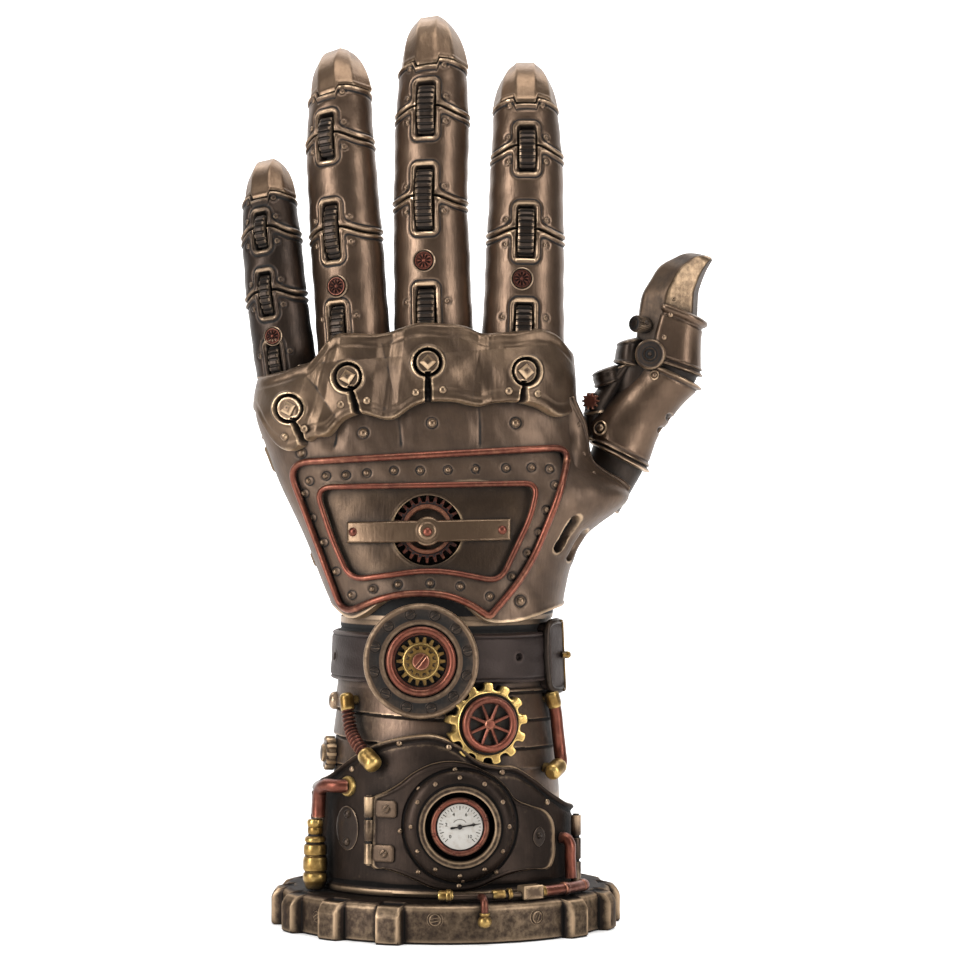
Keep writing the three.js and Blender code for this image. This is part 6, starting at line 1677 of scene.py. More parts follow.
# Knuckle guard
guard = {
    "wall": 1.7, "bulge": 3.4, "hole": 3.35, "slotHalf": 0.8, "seat": 0.3,
    "knuckles": [(-0.481, 0.79, 20), (-0.299, 0.908, 15), (-0.053, 0.963, 1), (0.248, 0.929, -6)],
    "valleys": [(-33.0, 139, 0.25), (-14.5, 144, 0.1), (12.0, 145, -0.05)],
    "low": [(-0.62, 0.82), (-0.575, 0.745), (-0.534, 0.664), (-0.49, 0.63), (-0.412, 0.68), (-0.364, 0.69),
            (-0.331, 0.734), (-0.282, 0.765), (-0.152, 0.753), (-0.102, 0.794), (0.028, 0.814), (0.11, 0.797),
            (0.158, 0.809), (0.298, 0.794), (0.354, 0.759), (0.42, 0.79)],
    "high": [(-0.62, 0.905), (-0.575, 0.915), (-0.461, 0.954), (-0.408, 0.985), (-0.388, 1.024), (-0.347, 1.069),
             (-0.3, 1.074), (-0.192, 1.074), (-0.135, 1.095), (-0.095, 1.11), (-0.005, 1.11), (0.069, 1.1),
             (0.11, 1.078), (0.19, 1.078), (0.36, 1.06), (0.42, 0.97)],
    "rivets": [(304, 429), (284, 437), (340.5, 404.5), (366.7, 400.5), (415.5, 392.4), (442.8, 389.7), (509, 391),
               (538, 393.8)],
    "stud": 2.1,
}


def guardSwell(x, z):
    total = np.zeros(np.broadcast(x, z).shape)
    for across, up, _ in guard["knuckles"]:
        dx = (x - across * hand["width"]) / (0.115 * hand["width"])
        dz = (z - hand["base"] - up * hand["height"]) / (0.12 * hand["height"])
        total = np.maximum(total, guard["bulge"] * np.exp(-0.7 * (dx**2 + dz**2)))
    return total


def guardFront(x, z, out):
    head = hand["base"] + hand["height"] + 0.08 * x
    return handFront(x, np.minimum(z, head), out + guard["seat"] + guardSwell(x, z))


def makeGuard():
    # a sheared grid between two wavy edges, swelling over each knuckle, with a valley between neighbours
    low = np.array(guard["low"]) * (hand["width"], 1)
    high = np.array(guard["high"]) * (hand["width"], 1)
    turn = evenTurns(-95, 95, 700)
    share = np.concatenate((np.linspace(0, 0.08, 9), np.linspace(0.09, 0.92, 100), np.linspace(0.93, 1, 9)))
    t, v = np.meshgrid(turn, share)
    up = 0.8 + 0.25 * v
    x = onHand(t, np.minimum(up, 1), guard["wall"])[..., 0]
    flank = 1 - 0.95 * np.abs(np.sin(t)) ** 8
    for _ in range(12):
        upLow, upHigh = [curveThrough(x, line[:, 0], line[:, 1]) for line in (low, high)]
        z = hand["base"] + (upLow + (upHigh - upLow) * v) * hand["height"]
        level = np.minimum(handUp(x, z), 1)
        swell = guardSwell(x, z) * np.sqrt(np.clip(np.cos(t), 0, 1))
        x = onHand(t, level, (guard["seat"] + guard["wall"]) * flank + swell)[..., 0]
    toEdge = np.minimum(v, 1 - v) * (upHigh - upLow) * hand["height"]
    toFlank = np.minimum(t - turn[0], turn[-1] - t) * 22
    edge = np.minimum(toEdge, toFlank)
    out = guard["wall"] * np.sqrt(np.clip(1 - edgeFall(edge + 0.05, 0.95), 0, 1))
    out += 0.12 * bump(toEdge - 1.2, 0.9) - 0.16 * bump(toEdge - 2.8, 0.9)
    out += 0.25 * np.sin(x * 0.4 + 2) * np.sin(z * 0.5) + 0.05 * np.sin(x * 1.1) * np.sin(z * 0.8 + x * 0.4)
    front = np.cos(t) > 0.15
    for valleyX, valleyZ, lean in guard["valleys"]:
        away = x - valleyX - (z - valleyZ) * lean
        out -= 0.75 * bump(away, 3.4) + 0.12 * bump(away, 0.9)
    sunken = np.zeros_like(out)
    for across, knuckleUp, lean in guard["knuckles"]:
        dx, dz = x - across * hand["width"], z - hand["base"] - knuckleUp * hand["height"]
        fromStud = np.hypot(dx, dz)
        sideways = np.abs(dx + dz * math.tan(math.radians(lean)))
        half = guard["slotHalf"] * (0.75 + 0.25 * smoothStep(-dz, 3, 8))
        slit = np.where(front & (dz < -2.4), sideways - half, 9)
        ring = np.where(front, np.abs(fromStud - guard["hole"]) - 0.3, 9)
        gap = np.minimum(slit, ring)
        out += front * (0.34 * bump(fromStud - guard["hole"] - 0.8, 0.55) - 0.3 * fallStep(fromStud, 2.4, 3.2))
        sunken = np.maximum(sunken, 1 - smoothStep(gap, -0.25, 0.2))
    out = out - sunken * (2.3 + 0.3 * swell)
    out = (guard["seat"] + out) * flank + swell
    outer = onHand(t, level, out)
    inner = onHand(t, level, np.minimum(out - 0.4, 0.0))
    outer[..., 2] = z
    inner[..., 2] = z
    shells = [slabShell(outer, inner, 6)]
    _, _, places, normals = handAt(guard["rivets"], guard["wall"], guardFront)
    shells += stampedAll(domeForm(0.95, 0.6, 16), places, normals)
    addPiece("knuckleGuard", "guardBronze", shells, ["knuckle_guard"], rounds=10)
    studs = []
    side = guard["stud"]
    pyramid = turnedShell([(0.1, -3), (side, -3), (side, 0.1), (side * 0.9, 0.3), (side * 0.42, 0.85), (0.1, 0.95)], 4)
    for across, knuckleUp, lean in guard["knuckles"]:
        x, z = np.array(across * hand["width"]), np.array(hand["base"] + knuckleUp * hand["height"])
        place = np.array((float(x), float(guardFront(x, z, guard["wall"] - 0.35)), float(z)))
        studs.append(stamped(pyramid, place, frontNormal(x, z, guard["wall"], guardFront), math.radians(lean)))
    addPiece("knuckleStuds", "guardBronze", studs, sharp=20, rounds=2, extra=-0.1)


makeGuard()
print("knuckle guard made")

# Fingers
finger = {
    "length": 86.1, "width": 20.4, "deep": 0.92, "slotDepth": 2.7, "bead": 0.34, "rivet": 0.7, "rivetAcross": 0.53,
    "tipRows": [0, 0.3, 0.52, 0.74, 0.92, 1.0], "tipWide": [0.99, 0.93, 0.85, 0.72, 0.55, 0.43],
    "tipDeep": [0.98, 0.94, 0.87, 0.72, 0.5, 0.36], "tipPalm": [0, 0.02, 0.04, 0.08, 0.13, 0.16], "facet": 2.6,
    "wheelCrest": 1.1, "wheelSunk": 1.3, "wheelPitch": 1.75, "rosette": 2.3, "petals": 10,
}
digits = {
    "little": {
        "finish": "darkerBronze", "place": (-0.496, 0.933, -0.065), "roll": 20, "sink": 0.03,
        "lengths": [0.229, 0.186, 0.116, 0.132],
        "half": [0.392, 0.392, 0.382, 0.338], "lean": [-8.1, -5.3, -4.2, -3.4], "flex": [2, 9, 16, 20],
        "wheel": 1.35, "chords": [5.1, 4.3], "baseWheel": (2.4, 4.4), "rosettePixel": (273, 336),
    },
    "ring": {
        "finish": "bronze", "place": (-0.286, 1.036, -0.098), "roll": 25, "sink": 0.3,
        "lengths": [0.332, 0.282, 0.151, 0.153],
        "half": [0.471, 0.466, 0.441, 0.402], "lean": [-4.2, -4.1, -0.6, -6.9], "flex": [2, 9, 15, 19],
        "wheel": 1.75, "chords": [6.8, 5.6], "baseWheel": (3.6, 6.0), "rosettePixel": (337, 286),
    },
    "middle": {
        "finish": "bronze", "place": (-0.037, 1.055, -0.109), "roll": 11, "sink": 0.3,
        "lengths": [0.41, 0.265, 0.153, 0.172],
        "half": [0.5, 0.471, 0.471, 0.426], "lean": [-1.5, 1.2, 0.4, -3.4], "flex": [2, 8, 14, 18],
        "wheel": 2.1, "chords": [7.8, 6.5], "baseWheel": (5.6, 7.0), "rosettePixel": (424, 260.5),
    },
    "index": {
        "finish": "bronze", "place": (0.24, 1.036, -0.098), "roll": 0, "sink": 0.3,
        "lengths": [0.325, 0.246, 0.157, 0.145],
        "half": [0.52, 0.49, 0.456, 0.402], "lean": [1.4, 1.2, -1.5, -0.3], "flex": [2, 8, 14, 18],
        "wheel": 2.0, "chords": [6.2, 5.5], "baseWheel": (3.1, 6.5), "rosettePixel": (522.2, 278.3),
    },
}


def wayOf(lean, flex):
    a, b = math.radians(lean), math.radians(flex)
    return np.array((math.sin(a) * math.cos(b), math.sin(b), math.cos(a) * math.cos(b)))


def jointAxes(place, along, roll):
    # rows: middle, across, out of the back, along
    back = np.array((-math.sin(math.radians(roll)), -math.cos(math.radians(roll)), 0.0))
    across = unit(np.cross(back, along))
    return np.stack((place, across, unit(np.cross(along, across)), along))


def fingerJoints(digit):
    ways = [wayOf(a, b) for a, b in zip(digit["lean"], digit["flex"])]
    across, up, back = digit["place"]
    place = np.array((across * hand["width"], back * hand["depth"], hand["base"] + up * hand["height"]))
    joints = []
    for i, way in enumerate(ways):
        before = ways[max(0, i - 1)]
        joints.append(jointAxes(place, unit(before + way), digit["roll"]))
        place = place + way * digit["lengths"][i] * finger["length"]
    joints[3] = jointAxes(joints[3][0], ways[3], digit["roll"])
    return joints


def fingerSkin(first, last, halves, length, turn, along, out):
    # ellipses blended in a straight line between two joints, out mm off them
    share = (along / length)[..., None]
    middle = first[0] + (last[0] - first[0]) * share
    across = first[1] + (last[1] - first[1]) * share
    back = first[2] + (last[2] - first[2]) * share
    half = halves[0] + (halves[1] - halves[0]) * share
    deep = half * finger["deep"]
    s, c = np.sin(turn)[..., None], np.cos(turn)[..., None]
    normal = unit(across * s / half + back * c / deep)
    return middle + across * half * s + back * deep * c + normal * out[..., None], normal


def softLeast(a, b, width):
    # the smaller of two distances with a fillet of that width between them
    h = np.clip(0.5 + 0.5 * (b - a) / width, 0, 1)
    return b * (1 - h) + a * h - width * h * (1 - h)


def boxDistance(x, z, halfWide, halfHigh, corner):
    qx, qz = np.abs(x) - halfWide + corner, np.abs(z) - halfHigh + corner
    return np.hypot(np.maximum(qx, 0), np.maximum(qz, 0)) + np.minimum(np.maximum(qx, qz), 0) - corner


def seamAt(across, half):
    return 0.9 - 1.8 * smoothStep(np.abs(across), 2.4, 0.97 * half)


def tipSeamAt(across, half):
    size = half / 8.2
    away = np.abs(across)
    return -1.5 + 1.65 * smoothStep(away, 2.5 * size, 3.4 * size) - 0.45 * smoothStep(away, 0.6 * half, half)


def endRows(count):
    inner = np.linspace(0, 1, count)
    return np.concatenate(([0, 0.006, 0.012, 0.02], inner[1:-1] * 0.96 + 0.02, [0.98, 0.988, 0.994, 1]))


def jointRelief(across, t, half, front, digit, chord, seam=True):
    # slot, the bead round it and the two beads of the seam that run out of it
    slot = np.where(front, boxDistance(across, t, digit["wheel"] + 0.55, chord + 0.5, 0.8), 9.0)
    line = np.abs(t - np.where(front, seamAt(across, half), -0.9)) if seam else np.full(np.shape(t), 9.0)
    near = softLeast(slot, line - 0.2, 1.5)
    out = finger["bead"] * bump(near - 0.72, 0.55) - 0.2 * bump(near - 1.5, 0.45)
    out = out - 1.0 * fallStep(line, 0.12, 0.42)
    return np.where(slot < 0.2, -finger["slotDepth"] * fallStep(slot, -0.4, 0.15) + out * smoothStep(slot, -0.4, 0.15),
                    out)


def facetRound(turn, wide):
    # radius of a polygon with soft corners; the flat on the back keeps its width as the tip narrows
    corner = np.arctan2(finger["facet"], wide)
    first = np.clip(2 * corner, 0, 1.35)
    normals = [0 * first, first, 0.5 * first + 0.95, 0 * first + 2.35, 0 * first + np.pi]
    total = 0
    for k, a in enumerate(normals):
        for side in ((1,) if k in (0, 4) else (1, -1)):
            total = total + np.maximum(np.cos(turn - side * a), 0) ** 44
    return np.maximum(total, 1e-9) ** (-1 / 44)


def beltShell(joint, deep, chord, halfWide, shift=0.0):
    # knurled arc: a slice of a large wheel whose middle lies under the finger's back
    rise = finger["wheelCrest"] + finger["wheelSunk"]
    radius = (chord**2 + rise**2) / (2 * rise)
    reach = math.asin(min(0.98, chord / radius))
    place, across, back, along = joint
    turn, side = np.meshgrid(np.linspace(-reach, reach, 150), np.linspace(-1, 1, 13), indexing="ij")
    wave = np.cos(2 * np.pi * turn * radius / finger["wheelPitch"])
    edge = np.clip((np.abs(side) - 0.6) / 0.4, 0, 1)
    r = radius - 0.62 * fallStep(wave, -0.75, 0.1) - 0.32 * edge**2

    def at(r):
        return (place + across * (side * halfWide)[..., None] + along * (shift + r * np.sin(turn))[..., None]
                + back * (deep + finger["wheelCrest"] - radius + r * np.cos(turn))[..., None])

    return slabShell(at(r), at(np.full_like(r, radius - 1.9)))


def rosetteForm(radius):
    # a little flower: petals between a rim and a middle dome
    r = radius * np.array([0.05, 0.12, 0.2, 0.24, 0.3, 0.42, 0.6, 0.76, 0.85, 0.9, 0.97, 1.0, 1.0])
    height = np.array([0.8, 0.78, 0.6, 0.3, 0.36, 0.5, 0.52, 0.42, 0.3, 0.5, 0.5, 0.35, -0.9])
    turn = roundTurns(120)
    petal = 0.42 * (np.cos(finger["petals"] * turn)[None] - 0.3) * bump(r / radius - 0.56, 0.32)[:, None]
    grid = np.stack((r[:, None] * np.cos(turn), r[:, None] * np.sin(turn), height[:, None] + petal), 2)
    return sleeveShell(grid)


def pixelsOf(points):
    focal = camera["lens"] / camera["sensor"] * camera["frameWidth"]
    distance = points[..., 1] - camera["place"][1]
    x = camera["axisPixel"][0] + (points[..., 0] - camera["place"][0]) * focal / distance
    y = camera["axisPixel"][1] - (points[..., 2] - camera["place"][2]) * focal / distance
    return np.stack((x, y), -1)


def nearestOn(points, normals, pixel):
    # the vertex that faces the camera and lies closest to a place in the photograph's frame
    away = np.linalg.norm(pixelsOf(points) - pixel, axis=-1) + np.where(normals[..., 1] < -0.1, 0, 1e3)
    i = np.unravel_index(np.argmin(away), away.shape)
    return points[i], normals[i]


def makeFinger(name):
    digit = digits[name]
    joints = fingerJoints(digit)
    half = [share * finger["width"] for share in digit["half"]]
    lengths = [share * finger["length"] for share in digit["lengths"]]
    turn = fingerTurns()
    front = np.cos(turn)[None] > 0.0
    parts = ("proximal", "middle", "distal")
    for i, part in enumerate(parts):
        halves = (half[i], half[i + 1])
        v = np.concatenate(([0], endRows(int(lengths[i] / 0.3)), [1]))[:, None]
        across = halves[0] * np.sin(turn)[None]
        low = np.full_like(across, -digit["sink"] * finger["width"]) if i == 0 else np.where(
            front, seamAt(across, half[i]), -0.9) + 0.14
        topAcross = half[i + 1] * np.sin(turn)[None]
        top = np.where(front, tipSeamAt(topAcross, half[3]), -0.35) if i == 2 else np.where(
            front, seamAt(topAcross, half[i + 1]), -0.9)
        high = lengths[i] + top - 0.14
        along = low + (high - low) * v
        across = (halves[0] + (halves[1] - halves[0]) * along / lengths[i]) * np.sin(turn)[None]
        frontAll = np.broadcast_to(front, along.shape)
        out = np.zeros_like(along)
        if i == 0:
            middle, chord = digit["baseWheel"]
            out += jointRelief(across, along - middle, half[0], frontAll, digit, chord, seam=False)
        else:
            out += jointRelief(across, along, half[i], frontAll, digit, digit["chords"][i - 1])
        if i < 2:
            out += jointRelief(across, along - lengths[i], half[i + 1], frontAll, digit, digit["chords"][i])
        else:
            below = high - along
            out += 0.38 * bump(below - 0.75, 0.62) - 0.24 * bump(below - 1.75, 0.55)
            out -= 0.9 * fallStep(below, 0.0, 0.4)
        spots = []
        if i < 2:
            spots += [(side * finger["rivetAcross"] * half[i + 1], lengths[i] - 3.1) for side in (-1, 1)]
        else:
            spots += [(side * finger["rivetAcross"] * half[3], lengths[i] - 1.9) for side in (-1, 1)]
        if i > 0:
            spots += [(side * finger["rivetAcross"] * half[i], 3.2) for side in (-1, 1)]
        else:
            spots += [(side * finger["rivetAcross"] * half[0], digit["baseWheel"][0] + 0.52 * digit["baseWheel"][1])
                      for side in (-1, 1)]
        for p, s in spots:
            out -= np.where(frontAll, 0.14 * bump(np.hypot(across - p, along - s) - 0.92, 0.32), 0)
        out += 0.05 * np.sin(along * 0.9 + 3 * turn[None]) + 0.06 * np.sin(along * 0.35 + 2 * i)
        t = np.broadcast_to(turn[None], along.shape)
        points, normals = fingerSkin(joints[i], joints[i + 1], halves, lengths[i], t, along, out)
        points[0] -= normals[0] * 1.8
        points[-1] -= normals[-1] * 1.8
        shells = [sleeveShell(points)]
        for p, s in spots:
            a = math.asin(p / (halves[0] + (halves[1] - halves[0]) * s / lengths[i]))
            place, normal = fingerSkin(joints[i], joints[i + 1], halves, lengths[i], np.array(a), np.array(s),
                                       np.array(-0.05))
            shells.append(stamped(domeForm(finger["rivet"], 0.42, 14), place, normal))
        addPiece(name + part.capitalize(), digit["finish"], shells, [f"{name}_{part}"], rounds=8)
        if i == 0:
            place, normal = nearestOn(points, normals, digit["rosettePixel"])
            size = finger["rosette"] * (0.85 if name == "little" else 1)
            well = turnedShell([(size * 1.28, -0.6), (size * 1.28, 0.1), (size * 1.16, 0.3), (size * 1.02, 0.05),
                                (size, -0.6)], 40)
            addPiece(name + "Rosette", "copper", [stamped(rosetteForm(size), place, normal)], rounds=4)
            addPiece(name + "RosetteRing", "darkBronze", [stamped(well, place, normal)], rounds=4)
    # tip: soft polygon sections from the seam to a blunt end
    v = np.concatenate(([0.0], endRows(64)))[:, None]
    across = half[3] * np.sin(turn)[None]
    seam = np.where(front, tipSeamAt(across, half[3]), -0.35)
    length = lengths[3]
    along = seam + (length - seam) * v
    share = np.clip(along / length, 0, 1)
    wide, deep, palmwards = [curveThrough(share, finger["tipRows"], finger[k])
                             for k in ("tipWide", "tipDeep", "tipPalm")]
    radius = facetRound(turn[None], wide * half[3]) * 0.975
    rim = along - seam
    inset = 0.32 + 0.6 * fallStep(rim, 0.0, 0.35) - 0.1 * bump(rim - 1.0, 0.6)
    inset[0] += 1.6
    place, acrossWay, back, way = joints[3]
    x = (half[3] * wide * radius - inset) * np.sin(turn)[None]
    y = (half[3] * finger["deep"] * deep * radius - inset) * np.cos(turn)[None] - palmwards * half[3] * finger["deep"]
    grid = place + acrossWay * x[..., None] + back * y[..., None] + way * along[..., None]
    addPiece(name + "Tip", "lightBronze", [sleeveShell(grid)], [name + "_tip"], rounds=10)
    belts = []
    for k in (0, 1):
        belts.append(beltShell(joints[k + 1], half[k + 1] * finger["deep"], digit["chords"][k], digit["wheel"]))
    base = joints[0]
    belts.append(beltShell(base, half[0] * finger["deep"], digit["baseWheel"][1], digit["wheel"],
                           digit["baseWheel"][0]))
    addPiece(name + "Wheels", "darkBronze", belts, [name + "_wheel_lower", name + "_wheel_upper"], rounds=5)


for name in digits:
    makeFinger(name)
print("fingers made")

# Thumb
thumb = {
    "middle": 4.0,
    "socket": [((581, 494), (618, 514), 6.4), ((587, 466), (633, 488), 6.6), ((592, 448), (642, 472), 6.6),
               ((600, 425), (652, 447), 6.4)],
    "elbow": [((634, 376), (684, 396), 6.6), ((642, 360), (697, 377), 6.8), ((650, 345), (698, 352), 6.6)],
    "lower": [((592.2, 445.5), (647, 473.5), 8.3), ((588.6, 431), (650.5, 457), 8.1), ((588.2, 421), (655, 444), 7.9),
              ((598, 410), (662, 430.5), 7.6), ((611, 396), (671, 419.5), 7.6), ((625, 381), (684, 403), 7.9),
              ((636, 368), (694, 394), 8.2), ((641, 358.5), (702.3, 387.6), 8.5)],
    "upper": [((652, 362), (701, 378), 7.5), ((652, 350), (701, 366), 7.3), ((653, 338), (701, 350), 7.2),
              ((657, 322), (702, 334), 7.3), ((662.5, 303.5), (706.3, 321), 7.6)],
    "tip": [((635, 346), (690, 345), 5.2), ((636, 330), (694, 330), 5.5), ((637.5, 315), (697.3, 314), 5.8),
            ((639, 304), (697.8, 303), 6.2), ((641.4, 293.8), (698.5, 293), 6.4), ((650, 279), (701, 284), 6.2),
            ((659, 266), (704, 276), 5.5), ((672, 258.5), (707.5, 268.5), 4.4), ((686, 253.2), (711, 262.3), 3.2),
            ((697, 253.6), (712.3, 260), 2.1), ((705, 255.2), (711.5, 257.8), 1.0)],
    "facets": [22, 75, 122, 172, 222, 270, 322],
    "lames": [[((583, 440), (600, 444), 3.5), ((584, 415), (606, 414), 3.8), ((586, 396), (610, 392), 3.8)],
              [((614.5, 364), (641, 369), 6.0), ((615.5, 352), (642, 356), 6.3), ((619, 341.5), (640, 337), 5.8)],
              [((597, 389), (622, 381), 5.6), ((593, 380), (621, 373), 6.2), ((594, 372), (618, 364), 5.6)],
              [((584, 416), (606, 414), 4.6), ((588, 402), (616, 396), 5.0), ((598, 388), (626, 378), 5.0),
               ((614, 368), (640, 358), 5.0)],
              [((613, 404), (656, 414), 4.6), ((614, 380), (657, 390), 5.2), ((622, 354), (662, 362), 5.2)]],
    "flangeEdge": [(575, 396, -11), (580.5, 409, -9), (586, 421, -7.5), (589, 437, -6.4), (590.4, 450, -5.6),
                   (594, 460, -5.3), (607, 470.5, -4.8), (624, 480, -4), (631, 486, -3)],
    "flangeRoot": [(562, 400), (564, 412), (566, 425), (568, 440), (570, 455), (576, 472), (590, 486), (607, 495),
                   (624, 501)],
    "flangeRivets": [(579.3, 424), (583.6, 453.7), (593.5, 473.3), (612, 484.7)],
    "ear": (650.1, 354.2), "notches": [(669.5, 417.5), (661.8, 430.5)], "knob": (638.4, 324), "gear": (590.5, 401),
    "rivets": [((600.6, 428.2), 1.05, 1.95), ((654.2, 375.4), 0.8, 1.3), ((669.7, 314.3), 0.75, 1.3),
               ((663.3, 337.2), 0.75, 0), ((673.5, 298.8), 0.5, 0)],
}


def makeFlange():
    # a thin plate from the hand's face out over the thumb's root, beaded along its free edge
    edge = np.array(thumb["flangeEdge"], float)
    x, z = viewPoint(edge[:, :2], edge[:, 2])
    edgeLine = smoothPath(np.stack((x, edge[:, 2], z), 1), 150)
    rootLine = smoothPath(handAt(thumb["flangeRoot"], -0.6)[2], 150)
    share = np.linspace(0, 1, 60)[:, None, None]
    flat = rootLine + (edgeLine - rootLine) * share + np.sin(np.pi * share) * np.array((0, -0.7, 0))
    fromEdge = (1 - share[..., 0]) * np.linalg.norm(edgeLine - rootLine, axis=1)
    out = 0.4 * bump(fromEdge - 0.5, 0.55) - 0.2 * bump(fromEdge - 1.4, 0.45) - 0.5 * edgeFall(fromEdge, 0.35)
    outer = flat - out[..., None] * np.array((0, 1.0, 0))
    shells = [slabShell(outer, flat + (0.0, 1.1, 0.0))]
    normals = np.broadcast_to((0.25, -0.95, 0.1), outer.shape)
    for pixel in thumb["flangeRivets"]:
        place, normal = nearestOn(outer, normals, pixel)
        shells.append(stamped(domeForm(0.62, 0.5, 14), place, normal))
    addPiece("thumbFlange", "plateBronze", shells)


def bandGrid(rows, turns, count, radius=None):
    # ovals whose two ends follow a run of left and right edges seen from the front
    left, right, deep = [np.array([row[k] for row in rows], float) for k in range(3)]
    walked = lengthAlong((left + right) / 2)
    at = np.linspace(0, walked[-1], count)
    ends = []
    for side in (left, right):
        x, z = viewPoint(side, thumb["middle"])
        ends.append(np.stack([curveThrough(at, walked, v) for v in (x, np.full(len(x), thumb["middle"]), z)], 1))
    middle, reach = (ends[0] + ends[1]) / 2, (ends[1] - ends[0]) / 2
    deep = curveThrough(at, walked, deep)
    half = np.linalg.norm(reach, axis=1)
    radius = np.ones((count, len(turns))) if radius is None else radius
    s, c = np.sin(turns)[None], np.cos(turns)[None]
    outward = np.array((0, -1.0, 0))
    points = (middle[:, None] + reach[:, None] * (radius * s)[..., None]
              + outward * (deep[:, None] * radius * c)[..., None])
    normals = unit(unit(reach)[:, None] * (s / half[:, None])[..., None] + outward * (c / deep[:, None])[..., None])
    steps = np.linalg.norm(np.diff(points, axis=0), axis=-1)
    walk = np.concatenate((np.zeros((1, len(turns))), np.cumsum(steps, 0)))
    return points, normals, walk


def closedBand(points, normals, out, tuck=1.6):
    grid = points + normals * out[..., None]
    return sleeveShell(np.concatenate((grid[:1] - normals[:1] * tuck, grid, grid[-1:] - normals[-1:] * tuck)))


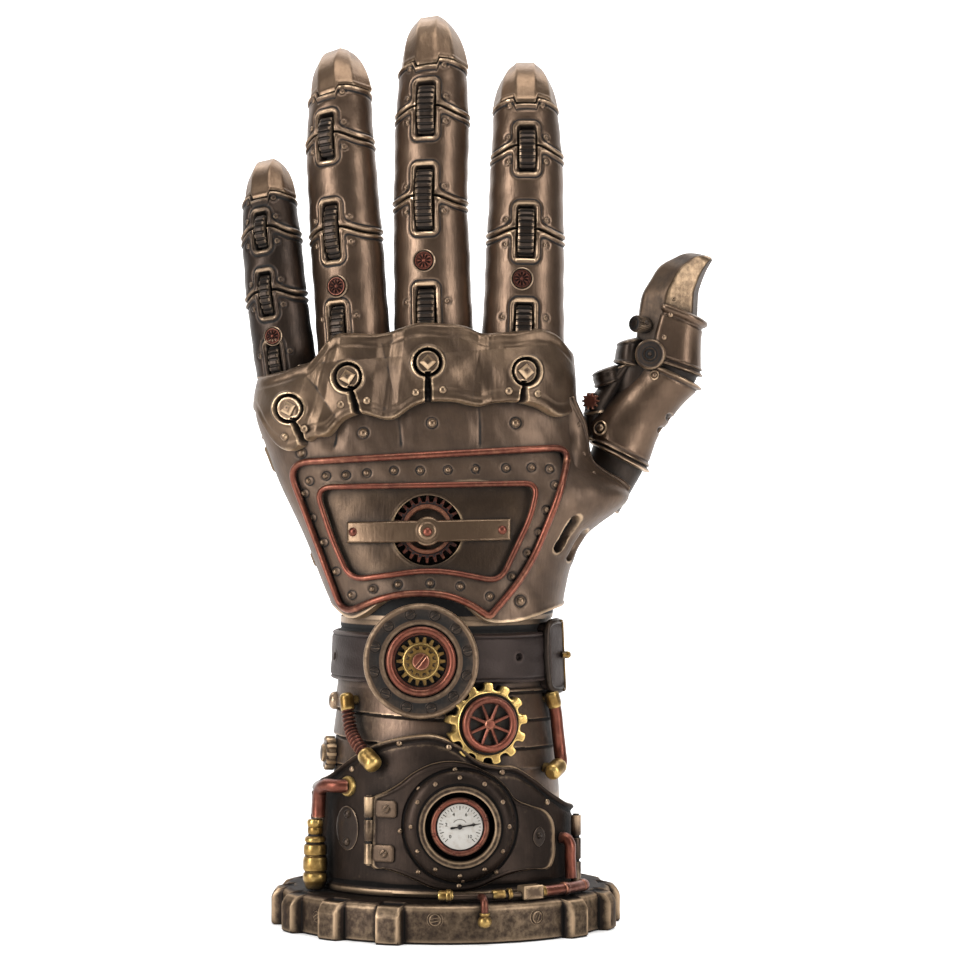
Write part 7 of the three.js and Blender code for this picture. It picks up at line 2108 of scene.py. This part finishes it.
def makeThumb():
    turns = fingerTurns(200)
    front = np.cos(turns)[None] > -0.2
    points, normals, walk = bandGrid(thumb["socket"], turns, 60)
    out = -0.3 * bump(walk[-1] - walk - 2.2, 0.6)
    addPiece("thumbSocket", "darkBronze", [closedBand(points, normals, out)], ["thumb_socket"])
    points, normals, walk = bandGrid(thumb["lower"], turns, 130)
    fromTop = walk[-1] - walk
    out = (0.6 * bump(walk - 0.65, 0.65) - 0.3 * bump(walk - 1.5, 0.4) + 0.3 * bump(walk - 2.05, 0.5)
           - 0.22 * bump(walk - 3, 0.6))
    out += 0.35 * bump(fromTop - 0.7, 0.7) - 0.25 * bump(fromTop - 1.7, 0.6)
    out -= 0.9 * fallStep(np.minimum(walk, fromTop), 0, 0.4)
    for pixel in thumb["notches"]:
        x, z = viewPoint(np.array(pixel, float), thumb["middle"] - 3)
        away = np.hypot(points[..., 0] - x, points[..., 2] - z)
        out -= np.where(front, 1.3 * fallStep(away, 0.45, 1.25), 0)
    out += 0.06 * np.sin(walk * 0.8 + 2 * turns[None])
    shells = [closedBand(points, normals, out)]
    for pixel, size, collar in thumb["rivets"][:2]:
        place, normal = nearestOn(points, normals, pixel)
        shells.append(stamped(domeForm(size, 0.75 * size, 18), place, normal))
        ring = [(collar - 0.55, -0.4), (collar - 0.5, 0.2), (collar - 0.25, 0.34), (collar, 0.2), (collar, -0.4)]
        shells.append(stamped(turnedShell([(0.2, -0.4)] + ring, 32), place, normal))
    addPiece("thumbLower", "bronze", shells, ["thumb_lower"])
    # squarer towards the viewer on its left, where the plate's edge stands over the tip
    s, c = np.sin(turns)[None], np.cos(turns)[None]
    squared = np.where((s < 0) & (c > 0), (np.abs(s) ** 9 + np.abs(c) ** 9) ** (-1 / 9), 1.0)
    points, normals, walk = bandGrid(thumb["upper"], turns, 110, np.repeat(squared, 110, 0))
    fromTop = walk[-1] - walk
    out = 0.45 * bump(walk - 0.6, 0.6) - 0.3 * bump(walk - 1.45, 0.5) + 0.3 * bump(walk - 2.1, 0.5)
    out += 0.7 * bump(fromTop - 1.1, 1.2) - 0.35 * bump(fromTop - 2.6, 0.6)
    out -= 0.9 * fallStep(np.minimum(walk, fromTop), 0, 0.4)
    shells = [closedBand(points, normals, out)]
    for pixel, size, collar in thumb["rivets"][2:4]:
        place, normal = nearestOn(points, normals, pixel)
        shells.append(stamped(domeForm(size, 0.6 * size, 16), place, normal))
    addPiece("thumbUpper", "bronze", shells, ["thumb_upper"])
    facets = np.radians(thumb["facets"])
    radius = sum(np.maximum(np.cos(turns[None] - a), 0) ** 24 for a in facets) ** (-1 / 24) * 0.96
    points, normals, walk = bandGrid(thumb["tip"], turns, 130, np.repeat(radius, 130, 0))
    out = 0 * walk
    shells = [closedBand(points, normals, out, 0.4)]
    place, normal = nearestOn(points, normals, thumb["rivets"][4][0])
    shells.append(stamped(domeForm(0.5, 0.3, 12), place, normal))
    # painted light and shade: the one facet that faces the viewer is made brighter and the left ones darker
    degrees = (np.degrees(turns) + 180) % 360 - 180
    paintedLitFacet = smoothStep(degrees, -10, -6) * fallStep(degrees, 46, 50)
    extra = np.zeros(sum(len(shell[0]) for shell in shells))
    extra[:132 * len(turns)] = np.tile(0.17 * paintedLitFacet - 0.05, 132)
    addPiece("thumbTip", "darkerLightBronze", shells, ["thumb_tip"], rounds=12, extra=extra)
    shells = []
    for rows in thumb["lames"] + [thumb["elbow"]]:
        points, normals, walk = bandGrid(rows, fingerTurns(120), 34)
        fromTop = walk[-1] - walk
        out = 0.4 * bump(walk - 0.7, 0.7) + 0.4 * bump(fromTop - 0.7, 0.7)
        out = out - 0.8 * fallStep(np.minimum(walk, fromTop), 0, 0.4)
        shells.append(closedBand(points, normals, out))
    addPiece("thumbLames", "darkBronze", shells)
    profile = [(0.1, 1.2), (0.35, 1.1), (0.55, 0.85), (0.65, 0.5), (1.2, 0.46), (1.38, 0.72), (1.62, 0.74),
               (1.8, 0.42), (2.3, 0.4), (3.1, 0.36), (3.3, 0.56), (3.55, 0.6), (3.85, 0.4), (3.95, 0.1), (3.95, -4)]
    ear = stamped(turnedShell(profile, 56), spotAt(thumb["ear"], -3.6), (-0.2, -0.97, 0.08))
    addPiece("thumbPivot", "darkerBronze", [ear], rounds=4)
    x, z = viewPoint(thumb["knob"], -2.0)
    knob = toothedOutline(2.25, 2.05, 24, 0.3, 0.6)
    seat = np.array((float(x), -1.5, float(z)))
    facing = unit(np.array((-0.72, -0.68, 0.1)))
    shells = [stamped(outlineShell(knob, [(-4, 0.2), (0.9, 0), (1.5, 0.3), (1.8, 0.9)]), seat, facing)]
    shells.append(stamped(domeForm(0.6, 0.5, 14), seat + (2.1, -2.9, 0.2), (0, -1.0, 0)))
    addPiece("thumbKnob", "darkBronze", shells, rounds=3, extra=-0.02)
    gear = outlineShell(toothedOutline(2.2, 1.7, 10, 0.3, 0.6), [(-3, 0), (0.6, 0), (0.8, 0.2)])
    addPiece("thumbGear", "copper", [stamped(gear, spotAt(thumb["gear"], -1.0), (-0.3, -0.95, 0))], rounds=3,
             extra=-0.08)


makeThumb()
makeFlange()
print("thumb made")
